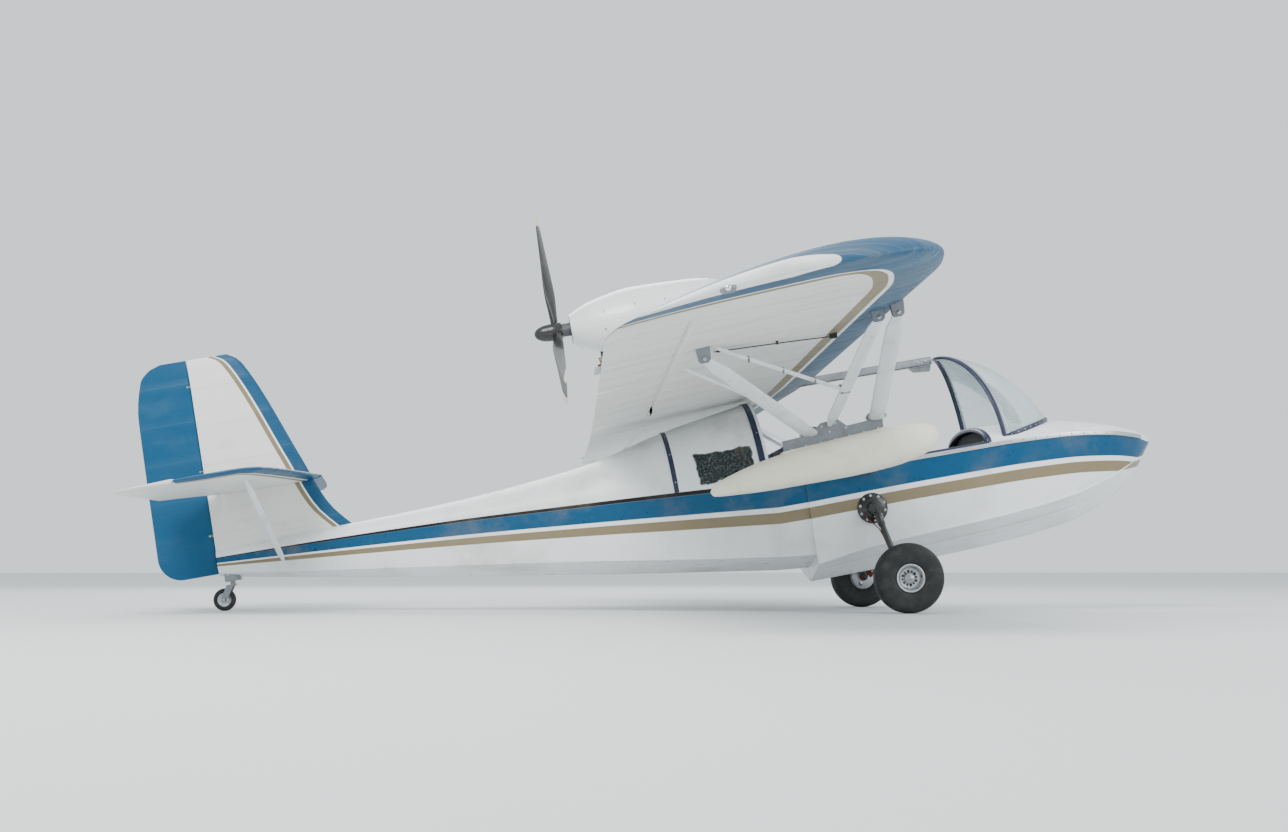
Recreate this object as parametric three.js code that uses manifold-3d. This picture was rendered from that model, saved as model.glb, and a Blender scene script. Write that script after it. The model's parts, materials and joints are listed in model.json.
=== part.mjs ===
// Light two-seat amphibious flying boat, standing on its three wheels with the tail down.
// Millimetres. +X points to the nose, +Y to the left wing tip and +Z up.
// Every sub-part is modelled in level-flight axes, whose origin is the middle of the main axle line.
// One group then tips them nose-up, until the tail wheel is on the ground as well.
import * as THREE from "three";
import { mergeVertices } from "three/addons/utils/BufferGeometryUtils.js";
import Module from "manifold-3d";

const wasm = await Module();
wasm.setup();

// Driving dimensions: stance and wheels
const NOSE_UP = THREE.MathUtils.degToRad(10);
const TYRE_RADIUS = 222.5;
const TYRE_HALF_WIDTH = 75;
const BEAD_RADIUS = 92;
const WHEEL_Y = 840;
const WHEEL_FACETS = 24;
const AXLE_RADIUS = 16;
const TAIL_WHEEL_RADIUS = 75;
const TAIL_WHEEL_X = -4400;
const TAIL_PIVOT_X = -4330;
const GAP = 0.3;
const UP_Y = new THREE.Vector3(0, 1, 0);

// Driving dimensions: wheel and brake profiles, as radius and distance outward from the wheel's middle
const TYRE_PROFILE = [
  [BEAD_RADIUS, -50],
  [101, -63],
  [140, -TYRE_HALF_WIDTH],
  [182, -73],
  [207, -60],
  [219, -36],
  [TYRE_RADIUS, -12],
  [TYRE_RADIUS, 12],
  [219, 36],
  [207, 60],
  [182, 73],
  [140, TYRE_HALF_WIDTH],
  [101, 63],
  [BEAD_RADIUS, 50],
];
const RIM_PROFILE = [
  [AXLE_RADIUS + 1, 40],
  [30, 40],
  [34, 20],
  [66, 26],
  [80, 52],
  [84, 68],
  [99, 68],
  [99, 63.6],
  [BEAD_RADIUS - GAP, 63.6],
  [BEAD_RADIUS - GAP, -63.6],
  [99, -63.6],
  [99, -68],
  [84, -68],
  [74, 0],
  [62, 12],
  [30, 8],
  [30, -95],
  [AXLE_RADIUS + 1, -95],
];
const RIM_HOLES = { count: 6, ring: 50, radius: 9 };
const DISC_PROFILE = [
  [30 + GAP, -91],
  [82, -91],
  [82, -84],
  [30 + GAP, -84],
];
const DISC_HOLES = { count: 3, ring: 56, radius: 15 };
const CALIPER_RING = [
  [AXLE_RADIUS + GAP, -117],
  [30, -117],
  [30, -98],
  [AXLE_RADIUS + GAP, -98],
];
const TAIL_WHEEL_PROFILE = [
  [8, -22],
  [20, -22],
  [30, -14],
  [42, -16],
  [48, -21],
  [66, -19],
  [TAIL_WHEEL_RADIUS, -9],
  [TAIL_WHEEL_RADIUS, 9],
  [66, 19],
  [48, 21],
  [42, 16],
  [30, 14],
  [20, 22],
  [8, 22],
];

// Driving dimensions: main gear legs
const FLANGE = { x: -90, z: 475, radius: 100, face: 562 };
const LEG_RADIUS = 19;
const LEG_KNEE_Y = 640;
const LEG_FOOT_Y = 700;
const LEG_SLEEVE = { radius: 40, end: 654 };
const AXLE_END_Y = 884;
const AXLE_NUT = { from: 881.5, to: 897, radius: 25 };

// Driving dimensions: hull, with a row for each frame from the stem to the step, and the step to the stern
const STEP_X = -495;
const BULKHEAD_X = -700;
const STERN_X = -4405;
const HULL_FRAMES = [
  { x: 2000, keelZ: 585, chineY: 14, chineZ: 600, sheerY: 20, sheerZ: 622, crownZ: 632 },
  { x: 1850, keelZ: 400, chineY: 150, chineZ: 500, sheerY: 205, sheerZ: 665, crownZ: 705 },
  { x: 1600, keelZ: 235, chineY: 300, chineZ: 415, sheerY: 365, sheerZ: 715, crownZ: 790 },
  { x: 1250, keelZ: 135, chineY: 430, chineZ: 335, sheerY: 480, sheerZ: 752, crownZ: 862 },
  { x: 800, keelZ: 92, chineY: 500, chineZ: 287, sheerY: 545, sheerZ: 765, crownZ: 895 },
  { x: 300, keelZ: 72, chineY: 522, chineZ: 262, sheerY: 565, sheerZ: 765, crownZ: 895 },
  { x: -200, keelZ: 62, chineY: 522, chineZ: 228, sheerY: 567, sheerZ: 760, crownZ: 895 },
  { x: STEP_X, keelZ: 58, chineY: 512, chineZ: 178, sheerY: 562, sheerZ: 755, crownZ: 895 },
];
const AFT_FRAMES = [
  { x: STEP_X + 60, keelZ: 150, chineY: 500, chineZ: 240, sheerY: 560, sheerZ: 755, crownZ: 895 },
  { x: BULKHEAD_X, keelZ: 172, chineY: 478, chineZ: 262, sheerY: 548, sheerZ: 755, crownZ: 1335 },
  { x: -1300, keelZ: 262, chineY: 410, chineZ: 350, sheerY: 458, sheerZ: 795, crownZ: 1235 },
  { x: -1900, keelZ: 355, chineY: 325, chineZ: 445, sheerY: 365, sheerZ: 830, crownZ: 1095 },
  { x: -2900, keelZ: 520, chineY: 195, chineZ: 590, sheerY: 225, sheerZ: 880, crownZ: 1005 },
  { x: -3900, keelZ: 690, chineY: 90, chineZ: 730, sheerY: 110, sheerZ: 905, crownZ: 975 },
  { x: STERN_X, keelZ: 785, chineY: 36, chineZ: 805, sheerY: 45, sheerZ: 910, crownZ: 962 },
];
const HULL_WALL = 26;
const FLOOR_Z = 292;
const COCKPIT = { front: 750, back: -650, footwellFront: 1200 };
const DECK_DEGREES = [22, 45, 68];
const PANEL = { aft: 775, fore: 800, bottom: 560 };
const SEAT = { y: 250, halfWidth: 220 };
const SEAT_PROFILE = [
  [80, FLOOR_Z + GAP],
  [90, 425],
  [60, 440],
  [-390, 415],
  [-520, 985],
  [-560, 1000],
  [-605, 985],
  [-470, FLOOR_Z + GAP],
];
const STICK = { x: 330, y: 250, tubeZ: FLOOR_Z + 16.5, tubeHalf: 330 };
const STICK_ELBOW = [240, 250, 620];
const STICK_TOP = [225, 250, 720];

// Driving dimensions: windscreen, an arched bubble from the deck up to one apex
const SCREEN = { apexX: 620, apexZ: 1420, hoopX: 870, halfWidth: 522, reach: 430, glass: 5 };
const SCREEN_TRIM_RADIUS = 12;
const SCREEN_ROUNDS = Array.from({ length: 13 }, (_, i) => -90 + 15 * i);
const SCREEN_RISES = [-0.04, 0.15, 0.35, 0.55, 0.75, 0.96];
const ARCH_RISES = [-0.02, 0.2, 0.4, 0.6, 0.8, 0.93];
const BEAM = { halfWidth: 26, halfHeight: 28, corner: 7, z: 1408, wingEnd: -330 };

// Driving dimensions: wing, whose reference plane passes through its leading and trailing edges
const WING_LEAD_X = -250;
const WING_PLANE_Z = 1425;
const DIHEDRAL = Math.tan(THREE.MathUtils.degToRad(1));
const INCIDENCE = Math.tan(THREE.MathUtils.degToRad(5));
const WING_CAMBER = 0.04;
const WING_ROOT_Y = 380;
const WING_STATIONS = [
  { y: WING_ROOT_Y, leadX: -250, trailX: -1800, thickness: 0.12 },
  { y: 3950, leadX: -250, trailX: -1800, thickness: 0.12 },
  { y: 4300, leadX: -300, trailX: -1795, thickness: 0.115 },
  { y: 4560, leadX: -450, trailX: -1740, thickness: 0.1 },
  { y: 4700, leadX: -720, trailX: -1640, thickness: 0.06 },
];
const HINGE_X = -1450;
const NOSE_RADIUS = 38;
const SURFACE_GAP = 9;
const HINGE_PIN_RADIUS = 8;
const FLAP = { from: 402, to: 2378 };
const AILERON = { from: 2404, to: 4200 };
const NAV_LIGHT = { x: -1300, radius: 24, lensRadius: 15, depth: 9 };

// Driving dimensions: wing struts and wing floats
const STRUT_HALF_CHORD = 47;
const STRUT_HALF_DEPTH = 19;
const FITTING = { x: -118, z: 765, face: 612, halfLength: 95, below: 60, above: 42 };
const FRONT_STRUT = { root: [-80, 612.3, 775], tip: [-310, 3270, 1392] };
const REAR_STRUT = { root: [-165, 612.3, 768], tip: [-1290, 3270, 1325] };
const FLOAT_FRACTION = 0.36;
const CHANNEL = { front: -135, back: -745, height: 62, width: 52, wall: 6 };
const FLOAT_Y = 1565;
const FLOAT_RINGS = [
  { x: 188, top: 862, bottom: 838, halfWidth: 14 },
  { x: 150, top: 902, bottom: 775, halfWidth: 68 },
  { x: 60, top: 922, bottom: 728, halfWidth: 108 },
  { x: -130, top: 930, bottom: 692, halfWidth: 132 },
  { x: -430, top: 915, bottom: 678, halfWidth: 138 },
  { x: -800, top: 872, bottom: 678, halfWidth: 116 },
  { x: -1100, top: 800, bottom: 690, halfWidth: 70 },
  { x: -1210, top: 750, bottom: 705, halfWidth: 26 },
];
const BRACE = { root: [-452, 1612, 1000], tip: [-402, 3232, 1388], halfChord: 34, halfDepth: 17 };
const GUSSET = [
  { x: -330, above: -20 },
  { x: -620, above: -20 },
  { x: -560, above: 12 },
  { x: -500, above: 52 },
  { x: -400, above: 52 },
];
const JURY_RADIUS = 11;
const JURY = { clevis: 0.36, bendX: -1100, bendY: 3090, bendDrop: 75, topX: -1215, topY: 3150 };
const JURY_REAR = { along: 0.64, x: -1345, y: 2560 };

// Driving dimensions: tail surfaces
const FIN = { rootLead: -3480, topLead: -4060, trail: STERN_X, rootZ: 930, topZ: 2260, halfWidth: 32 };
const RUDDER = { hingeX: -4422, trail: -4800, bottomZ: 800, noseRadius: 17 };
const RUDDER_HINGES = [1060, 1500, 2080];
const PIN_HOLE_RADIUS = 4.5;
const STAB = { z: 1340, lead: -3640, tipLead: -3800, hingeX: -4330, span: 1450, depth: 46 };
const ELEVATOR = { trail: -4690, innerRoot: 62, innerTrail: 190, noseRadius: 22 };
const TAIL_STRUT = { top: [-3990, 850], foot: [-3960, 84, 800] };
const TORQUE_RADIUS = 16;
const FIN_STATIONS = [
  { z: FIN.rootZ, lead: FIN.rootLead, k: 1 },
  { z: 1500, lead: -3760, k: 1 },
  { z: FIN.topZ - 120, lead: FIN.topLead + 60, k: 0.8 },
  { z: FIN.topZ - 40, lead: FIN.topLead + 12, k: 0.65 },
  { z: FIN.topZ, lead: FIN.topLead - 60, k: 0.45 },
];
const RUDDER_STATIONS = [
  { z: RUDDER.bottomZ, trail: RUDDER.trail + 150, k: 0.8 },
  { z: 840, trail: RUDDER.trail + 50, k: 0.9 },
  { z: 900, trail: RUDDER.trail, k: 1 },
  { z: 1900, trail: RUDDER.trail + 20, k: 0.9 },
  { z: FIN.topZ - 60, trail: RUDDER.trail + 90, k: 0.6 },
  { z: FIN.topZ, trail: RUDDER.trail + 190, k: 0.35 },
];
const STAB_STATIONS = [
  { y: FIN.halfWidth + GAP, lead: STAB.lead, k: 1 },
  { y: STAB.span - 160, lead: STAB.tipLead + 20, k: 0.9 },
  { y: STAB.span - 50, lead: STAB.tipLead - 25, k: 0.7 },
  { y: STAB.span, lead: STAB.tipLead - 110, k: 0.45 },
];

// Driving dimensions: engine and propeller above the wing
const THRUST_Z = 2040;
const PROPELLER = { x: -1915, blades: 3, hubRadius: 62 };
const COWL_RINGS = [
  { x: -600, halfWidth: 120, halfHeight: 95 },
  { x: -700, halfWidth: 200, halfHeight: 160 },
  { x: -950, halfWidth: 275, halfHeight: 215 },
  { x: -1350, halfWidth: 285, halfHeight: 225 },
  { x: -1650, halfWidth: 215, halfHeight: 175 },
  { x: -1810, halfWidth: 120, halfHeight: 105 },
];
const COWL_WALL = 10;
const ENGINE_BLOCK = { front: -980, back: -1560, halfWidth: 230, bottom: 1868, top: 2180 };
const PYLON_BOTTOM_Z = 1400;
const PYLON_SECTION = [
  { x: -640, y: 0 },
  { x: -665, y: 28 },
  { x: -750, y: 58 },
  { x: -900, y: 62 },
  { x: -1100, y: 62 },
  { x: -1400, y: 33 },
  { x: -1640, y: 4 },
];
const BLADE_STATIONS = [
  { r: 30, chord: 62, depth: 44, twist: 40 },
  { r: 130, chord: 80, depth: 34, twist: 42 },
  { r: 300, chord: 128, depth: 22, twist: 33 },
  { r: 600, chord: 112, depth: 13, twist: 21 },
  { r: 850, chord: 62, depth: 7, twist: 15 },
];
const BLADE_SECTION = [
  [-0.5, 0],
  [-0.2, 0.45],
  [0.15, 0.45],
  [0.5, 0],
  [0.15, -0.35],
  [-0.2, -0.35],
];

const SIDES = [
  { side: "left", s: 1 },
  { side: "right", s: -1 },
];

const paint = (color, roughness, metalness = 0, opacity = 1) =>
  new THREE.MeshStandardMaterial({ color, roughness, metalness, opacity, transparent: opacity < 1 });
const LOOK = {
  gelcoat: paint("#e6e9ea", 0.35),
  fabric: paint("#e9eae6", 0.55),
  blue: paint("#0c5f8e", 0.35),
  navy: paint("#15202e", 0.45),
  black: paint("#15171a", 0.4),
  rubber: paint("#1c1d1f", 0.85),
  rim: paint("#c3c6c8", 0.35, 0.9),
  steel: paint("#8b9093", 0.4, 0.9),
  rust: paint("#7a4234", 0.7, 0.3),
  alloy: paint("#83888c", 0.45, 0.8),
  floatCream: paint("#e1dac6", 0.5),
  strutWhite: paint("#e3e6e8", 0.35),
  seat: paint("#3b4654", 0.9),
  panel: paint("#23262a", 0.6),
  lens: paint("#d9dde0", 0.15, 0.6),
  glass: paint("#dfeef2", 0.05, 0, 0.3),
};

/** The point of a list of three numbers, mirrored to the given side. */
const at = ([x, y, z], s = 1) => new THREE.Vector3(x, y * s, z);

/** The row of a table at x, worked out between the two frames around it. */
function frameAt(frames, x) {
  const i = Math.max(1, frames.findIndex((row) => row.x <= x));
  const [a, b] = [frames[i - 1], frames[i]];
  const t = (x - a.x) / (b.x - a.x);
  return Object.fromEntries(Object.keys(a).map((key) => [key, a[key] + (b[key] - a[key]) * t]));
}

/** Adds rows between those of a table, on curves that pass through every row and never overshoot. */
function filled(rows, along, steps) {
  const grade = (key, i) => (rows[i + 1][key] - rows[i][key]) / (rows[i + 1][along] - rows[i][along]);
  const slope = (key, i) => {
    const before = grade(key, Math.max(i - 1, 0));
    const after = grade(key, Math.min(i, rows.length - 2));
    return before * after > 0 ? (2 * before * after) / (before + after) : 0;
  };
  const between = (key, i, t) => {
    const reach = rows[i + 1][along] - rows[i][along];
    const hold = 2 * t ** 3 - 3 * t ** 2 + 1;
    const leave = (t ** 3 - 2 * t ** 2 + t) * reach * slope(key, i);
    const arrive = (t ** 3 - t ** 2) * reach * slope(key, i + 1);
    return hold * rows[i][key] + (1 - hold) * rows[i + 1][key] + leave + arrive;
  };
  const out = [];
  for (let i = 0; i + 1 < rows.length; i++) {
    for (let k = 0; k < steps; k++) {
      out.push(Object.fromEntries(Object.keys(rows[0]).map((key) => [key, between(key, i, k / steps)])));
    }
  }
  return [...out, rows.at(-1)];
}

/** Gives a geometry outward faces: a closed mesh with a negative volume is turned inside out. */
function outward(geometry) {
  const p = geometry.attributes.position;
  const index = geometry.index.array;
  const [a, b, c] = [new THREE.Vector3(), new THREE.Vector3(), new THREE.Vector3()];
  let volume = 0;
  for (let i = 0; i < index.length; i += 3) {
    a.fromBufferAttribute(p, index[i]);
    b.fromBufferAttribute(p, index[i + 1]);
    c.fromBufferAttribute(p, index[i + 2]);
    volume += a.dot(b.cross(c));
  }
  if (volume < 0) {
    for (let i = 0; i < index.length; i += 3) {
      [index[i], index[i + 1]] = [index[i + 1], index[i]];
    }
  }
  return geometry;
}

/** A closed solid of any geometry whose faces close up once equal vertices are merged. */
function solid(source) {
  const geometry = source.clone();
  geometry.deleteAttribute("normal");
  geometry.deleteAttribute("uv");
  const merged = outward(mergeVertices(geometry, 1e-4));
  return new wasm.Manifold(
    new wasm.Mesh({
      numProp: 3,
      vertProperties: new Float32Array(merged.attributes.position.array),
      triVerts: new Uint32Array(merged.index.array),
    }),
  );
}

/** A body through closed rings of points, given in order, with a flat face on the first and the last. */
function loft(rings, flatten) {
  const n = rings[0].length;
  const index = [];
  for (let r = 0; r + 1 < rings.length; r++) {
    for (let i = 0; i < n; i++) {
      const a = r * n + i;
      const b = r * n + ((i + 1) % n);
      index.push(a, b, a + n, b, b + n, a + n);
    }
  }
  const cap = (ring, start, forward) => {
    const contour = ring.map(flatten);
    const contourSign = Math.sign(THREE.ShapeUtils.area(contour));
    for (const [i, j, k] of THREE.ShapeUtils.triangulateShape(contour, [])) {
      const sign = Math.sign(THREE.ShapeUtils.area([contour[i], contour[j], contour[k]]));
      const same = sign === contourSign;
      index.push(start + i, start + (same === forward ? j : k), start + (same === forward ? k : j));
    }
  };
  cap(rings[0], 0, false);
  cap(rings.at(-1), (rings.length - 1) * n, true);
  const geometry = new THREE.BufferGeometry();
  const positions = rings.flat().flatMap((p) => p.toArray());
  geometry.setAttribute("position", new THREE.Float32BufferAttribute(positions, 3));
  geometry.setIndex(index);
  return solid(geometry);
}

/** The plane that a flat end face is triangulated in, for bodies lofted along each axis. */
const alongX = (p) => new THREE.Vector2(p.y, p.z);
const alongY = (p) => new THREE.Vector2(p.x, p.z);
const alongZ = (p) => new THREE.Vector2(p.x, p.y);

/** The largest of the separate bodies that a cut leaves. */
const largest = (body) => body.decompose().sort((a, b) => b.volume() - a.volume())[0];

/** A box between two corners. */
function box([x0, y0, z0], [x1, y1, z1]) {
  const geometry = new THREE.BoxGeometry(Math.abs(x1 - x0), Math.abs(y1 - y0), Math.abs(z1 - z0));
  geometry.translate((x0 + x1) / 2, (y0 + y1) / 2, (z0 + z1) / 2);
  return solid(geometry);
}

/** A round bar from one point to another. */
function rod(from, to, radius, sides = 16, endRadius = radius) {
  const axis = to.clone().sub(from);
  const geometry = new THREE.CylinderGeometry(endRadius, radius, axis.length(), sides);
  geometry.applyQuaternion(new THREE.Quaternion().setFromUnitVectors(UP_Y, axis.clone().normalize()));
  geometry.translate(...from.clone().add(to).multiplyScalar(0.5).toArray());
  return solid(geometry);
}

/** A ball, used where bars meet. */
function ball(centre, radius) {
  const geometry = new THREE.SphereGeometry(radius, 16, 10);
  geometry.translate(...centre.toArray());
  return solid(geometry);
}

/** A bar of oval section, its long side along X, slimmer towards both ends. */
function fairedStrut(from, to, halfChord, halfDepth) {
  const axis = to.clone().sub(from).normalize();
  const chordways = new THREE.Vector3(1, 0, 0).addScaledVector(axis, -axis.x).normalize();
  const depthways = axis.clone().cross(chordways);
  const rings = [
    { t: 0, k: 0.5 },
    { t: 0.09, k: 1 },
    { t: 0.91, k: 1 },
    { t: 1, k: 0.5 },
  ].map(({ t, k }) => {
    const centre = from.clone().lerp(to, t);
    return Array.from({ length: 14 }, (_, i) => {
      const angle = (i / 14) * 2 * Math.PI;
      return centre
        .clone()
        .addScaledVector(chordways, k * halfChord * Math.cos(angle))
        .addScaledVector(depthways, Math.max(k, 0.7) * halfDepth * Math.sin(angle));
    });
  });
  return loft(rings, alongY);
}

/** A tube of eight sides that follows a smooth curve through points. */
function bentTube(points, radius, steps) {
  const corners = Array.from({ length: 8 }, (_, i) => {
    const angle = ((i + 0.5) * Math.PI) / 4;
    return new THREE.Vector2(radius * Math.cos(angle), radius * Math.sin(angle));
  });
  const extrudePath = new THREE.CatmullRomCurve3(points);
  return solid(new THREE.ExtrudeGeometry(new THREE.Shape(corners), { steps, extrudePath }));
}

/** Turns a closed profile, in pairs of radius and height, round the Y axis. */
function turned(profile, segments) {
  const closed = [...profile, profile[0]];
  return solid(new THREE.LatheGeometry(closed.map(([r, y]) => new THREE.Vector2(r, y)), segments));
}

/** Drills a ring of holes along the Y axis, the first of them turned by a share of their spacing. */
function drilled(body, { count, ring, radius }, share) {
  let out = body;
  for (let i = 0; i < count; i++) {
    const angle = ((i + share) * 2 * Math.PI) / count;
    const [x, z] = [ring * Math.cos(angle), ring * Math.sin(angle)];
    out = out.subtract(rod(new THREE.Vector3(x, -100, z), new THREE.Vector3(x, 60, z), radius, 12));
  }
  return out;
}

/** Puts a solid into the scene graph as a named mesh whose own origin is at its pivot. */
function piece(name, body, material, pivot = new THREE.Vector3()) {
  const { vertProperties, triVerts } = body.getMesh();
  const geometry = new THREE.BufferGeometry();
  geometry.setAttribute("position", new THREE.BufferAttribute(vertProperties, 3));
  geometry.setIndex(new THREE.BufferAttribute(triVerts, 1));
  geometry.translate(-pivot.x, -pivot.y, -pivot.z);
  geometry.computeVertexNormals();
  const mesh = new THREE.Mesh(geometry, material);
  mesh.name = name;
  mesh.position.copy(pivot);
  return mesh;
}

/** One closed frame of the hull: keel, chine, side, sheer and a deck that is half an ellipse. */
function hullRing({ x, keelZ, chineY, chineZ, sheerY, sheerZ, crownZ }) {
  const half = [new THREE.Vector3(x, chineY, chineZ), new THREE.Vector3(x, sheerY, sheerZ)];
  for (const degrees of DECK_DEGREES) {
    const angle = THREE.MathUtils.degToRad(degrees);
    half.push(new THREE.Vector3(x, sheerY * Math.cos(angle), sheerZ + (crownZ - sheerZ) * Math.sin(angle)));
  }
  const mirrored = half.map((p) => new THREE.Vector3(p.x, -p.y, p.z)).reverse();
  return [new THREE.Vector3(x, 0, keelZ), ...half, new THREE.Vector3(x, 0, crownZ), ...mirrored];
}

const HULL_ROWS = filled(HULL_FRAMES, "x", 3);

/** The space inside the forward hull: cockpit open above, footwell under the deck. */
function cockpitSpace(wall) {
  const ringAt = (x, top) => {
    const f = frameAt(HULL_ROWS, x);
    const floorY = f.chineY - wall - 12;
    const sideY = f.sheerY - wall;
    const corners = [
      [floorY, FLOOR_Z + (wall - HULL_WALL)],
      [sideY, f.sheerZ - 4],
    ];
    if (top) {
      corners.push([sideY, top]);
    } else {
      for (const degrees of DECK_DEGREES) {
        const angle = THREE.MathUtils.degToRad(degrees);
        corners.push([sideY * Math.cos(angle), f.sheerZ - wall + (f.crownZ - f.sheerZ) * Math.sin(angle)]);
      }
    }
    const half = corners.map(([y, z]) => new THREE.Vector3(x, y, z));
    return [...half, ...half.map((p) => new THREE.Vector3(p.x, -p.y, p.z)).reverse()];
  };
  const open = loft([COCKPIT.front, 300, -200, COCKPIT.back].map((x) => ringAt(x, 1500)), alongX);
  const covered = loft([COCKPIT.footwellFront, 950, COCKPIT.front - 1].map((x) => ringAt(x)), alongX);
  return open.add(covered);
}

/** Height of the wing's reference plane. */
const wingPlane = (x, y) => WING_PLANE_Z + Math.abs(y) * DIHEDRAL - (WING_LEAD_X - x) * INCIDENCE;

/** Camber and half thickness of a wing section at a share of its chord, as shares of that chord. */
function section(share, thickness, camber = WING_CAMBER) {
  const crest = 0.4;
  const line =
    share < crest
      ? (camber / crest ** 2) * (2 * crest * share - share ** 2)
      : (camber / (1 - crest) ** 2) * (1 - 2 * crest + 2 * crest * share - share ** 2);
  const swelling = 0.2969 * Math.sqrt(share) - 0.126 * share - 0.3516 * share ** 2;
  const closing = 0.2843 * share ** 3 - 0.1015 * share ** 4;
  return { line, half: 5 * thickness * (swelling + closing) };
}
const UPPER_SHARES = [1, 0.85, 0.65, 0.45, 0.28, 0.14, 0.05, 0.012];
const LOWER_SHARES = [0, 0.012, 0.05, 0.16, 0.35, 0.6, 0.8, 1];

/** The closed outline of the wing at one station, on one side. */
function wingRing({ y, leadX, trailX, thickness }, s, planeY = y) {
  const chord = leadX - trailX;
  const point = (share, sign) => {
    const x = leadX - chord * share;
    const { line, half } = section(share, thickness);
    return new THREE.Vector3(x, y * s, wingPlane(x, planeY) + chord * (line + sign * half));
  };
  return [...UPPER_SHARES.map((t) => point(t, 1)), ...LOWER_SHARES.map((t) => point(t, -1))];
}

/** The hinge axis of a flap or an aileron, between two distances from the centre. */
function hingeLine(span, s) {
  const chord = WING_STATIONS[0].leadX - WING_STATIONS[0].trailX;
  const share = (WING_LEAD_X - HINGE_X) / chord;
  const lift = section(share, 0.12).line * chord;
  return [span.from, span.to].map((y) => new THREE.Vector3(HINGE_X, y * s, wingPlane(HINGE_X, y) + lift));
}

/** A symmetrical tail surface outline, in shares of its chord and of its half thickness. */
const TAIL_OUTLINE = [
  { share: 0, half: 0.12 },
  { share: 0.05, half: 0.6 },
  { share: 0.25, half: 1 },
  { share: 0.6, half: 0.95 },
  { share: 1, half: 0.68 },
];

const airframe = new THREE.Group();
airframe.name = "flying_boat";
const inner = new THREE.Group();
airframe.add(inner);

/** Hull of one moulding from the stem to the bulkhead, with its cockpit cut out. */
const forward = loft(HULL_ROWS.map(hullRing), alongX);
const afterbody = loft([AFT_FRAMES[0], { ...AFT_FRAMES[1], crownZ: 905 }].map(hullRing), alongX);
const hullForm = forward.add(afterbody);
const openTop = box([-2000, -700, 762], [COCKPIT.front - 0.5, 700, 1500]);
const hull = hullForm.subtract(cockpitSpace(HULL_WALL)).subtract(openTop);
inner.add(piece("hull", hull, LOOK.gelcoat));

/** Rear body: V-bottomed below, rounded turtle deck above, closed at the stern post. */
const aftRows = filled([{ ...AFT_FRAMES[1], x: BULKHEAD_X - GAP }, ...AFT_FRAMES.slice(2)], "x", 3);
const aftBody = loft(aftRows.map(hullRing), alongX);
inner.add(piece("aft_fuselage", aftBody, LOOK.fabric));

/** Cockpit fittings: two seats, the panel, the two sticks on their torque tube. */
for (const { side, s } of SIDES) {
  const profile = new THREE.Shape(SEAT_PROFILE.map(([x, z]) => new THREE.Vector2(x, z)));
  const seat = new THREE.ExtrudeGeometry(profile, { depth: 2 * SEAT.halfWidth, bevelEnabled: false });
  seat.rotateX(Math.PI / 2);
  seat.translate(0, SEAT.y * s + SEAT.halfWidth, 0);
  inner.add(piece(`seat_${side}`, solid(seat), LOOK.seat));
}
const panelSlice = box([PANEL.aft, -600, PANEL.bottom], [PANEL.fore, 600, 1000]);
const panel = cockpitSpace(HULL_WALL + GAP).intersect(panelSlice);
inner.add(piece("instrument_panel", panel, LOOK.panel));
let sticks = rod(at([STICK.x, -STICK.tubeHalf, STICK.tubeZ]), at([STICK.x, STICK.tubeHalf, STICK.tubeZ]), 16);
for (const { s } of SIDES) {
  const elbow = at(STICK_ELBOW, s);
  sticks = sticks
    .add(rod(at([STICK.x, STICK.y, STICK.tubeZ - 1.5], s), elbow, 11, 12))
    .add(rod(elbow.clone().add(new THREE.Vector3(3, 0, -10)), at(STICK_TOP, s), 18, 12));
}
inner.add(piece("control_sticks", sticks, LOOK.black));

/** A point of the windscreen: round is -90 to 90 degrees about the nose, rise is 0 at the deck to 1. */
function screenPoint(round, rise, inset) {
  const angle = THREE.MathUtils.degToRad(round);
  const baseX = SCREEN.hoopX + SCREEN.reach * Math.cos(angle);
  const baseY = SCREEN.halfWidth * Math.sin(angle);
  const baseZ = 770 + 90 * Math.cos(angle);
  const roundness = 0.3 + 0.7 * Math.abs(Math.sin(angle));
  const arc = Math.cos((rise * Math.PI) / 2);
  const spread = roundness * arc + (1 - roundness) * (1 - rise);
  const lift = roundness * Math.sin((rise * Math.PI) / 2) + (1 - roundness) * rise;
  const p = new THREE.Vector3(
    SCREEN.apexX + (baseX - SCREEN.apexX) * spread,
    baseY * spread,
    baseZ + (SCREEN.apexZ - baseZ) * lift,
  );
  const centre = new THREE.Vector3(SCREEN.apexX, 0, 760);
  const out = p.clone().sub(centre).normalize();
  return p.addScaledVector(out, -inset);
}
const glassRings = SCREEN_ROUNDS.map((round) => [
  ...SCREEN_RISES.map((rise) => screenPoint(round, rise, 0)),
  ...SCREEN_RISES.toReversed().map((rise) => screenPoint(round, rise, SCREEN.glass)),
]);

/** Edge trim: one arch over the cockpit and one strip along the deck. */
function screenTrim(radius) {
  const arch = [
    ...ARCH_RISES.map((rise) => screenPoint(-90, rise, SCREEN.glass / 2)),
    ...ARCH_RISES.toReversed().map((rise) => screenPoint(90, rise, SCREEN.glass / 2)),
  ];
  const strip = SCREEN_ROUNDS.map((round) => screenPoint(round, 0.02, SCREEN.glass / 2));
  return bentTube(arch, radius, 24).add(bentTube(strip, radius, 24));
}
const deckFill = loft(HULL_ROWS.slice(0, 16).map(hullRing), alongX).translate([0, 0, GAP]);
const trimBody = largest(screenTrim(SCREEN_TRIM_RADIUS).subtract(deckFill));
inner.add(piece("windscreen_trim", trimBody, LOOK.navy));
const glassForm = loft(glassRings, (p) => new THREE.Vector2(Math.hypot(p.x - SCREEN.apexX, p.y), p.z));
let glassBody = glassForm.subtract(screenTrim(SCREEN_TRIM_RADIUS + 3 * GAP)).subtract(deckFill);
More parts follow.
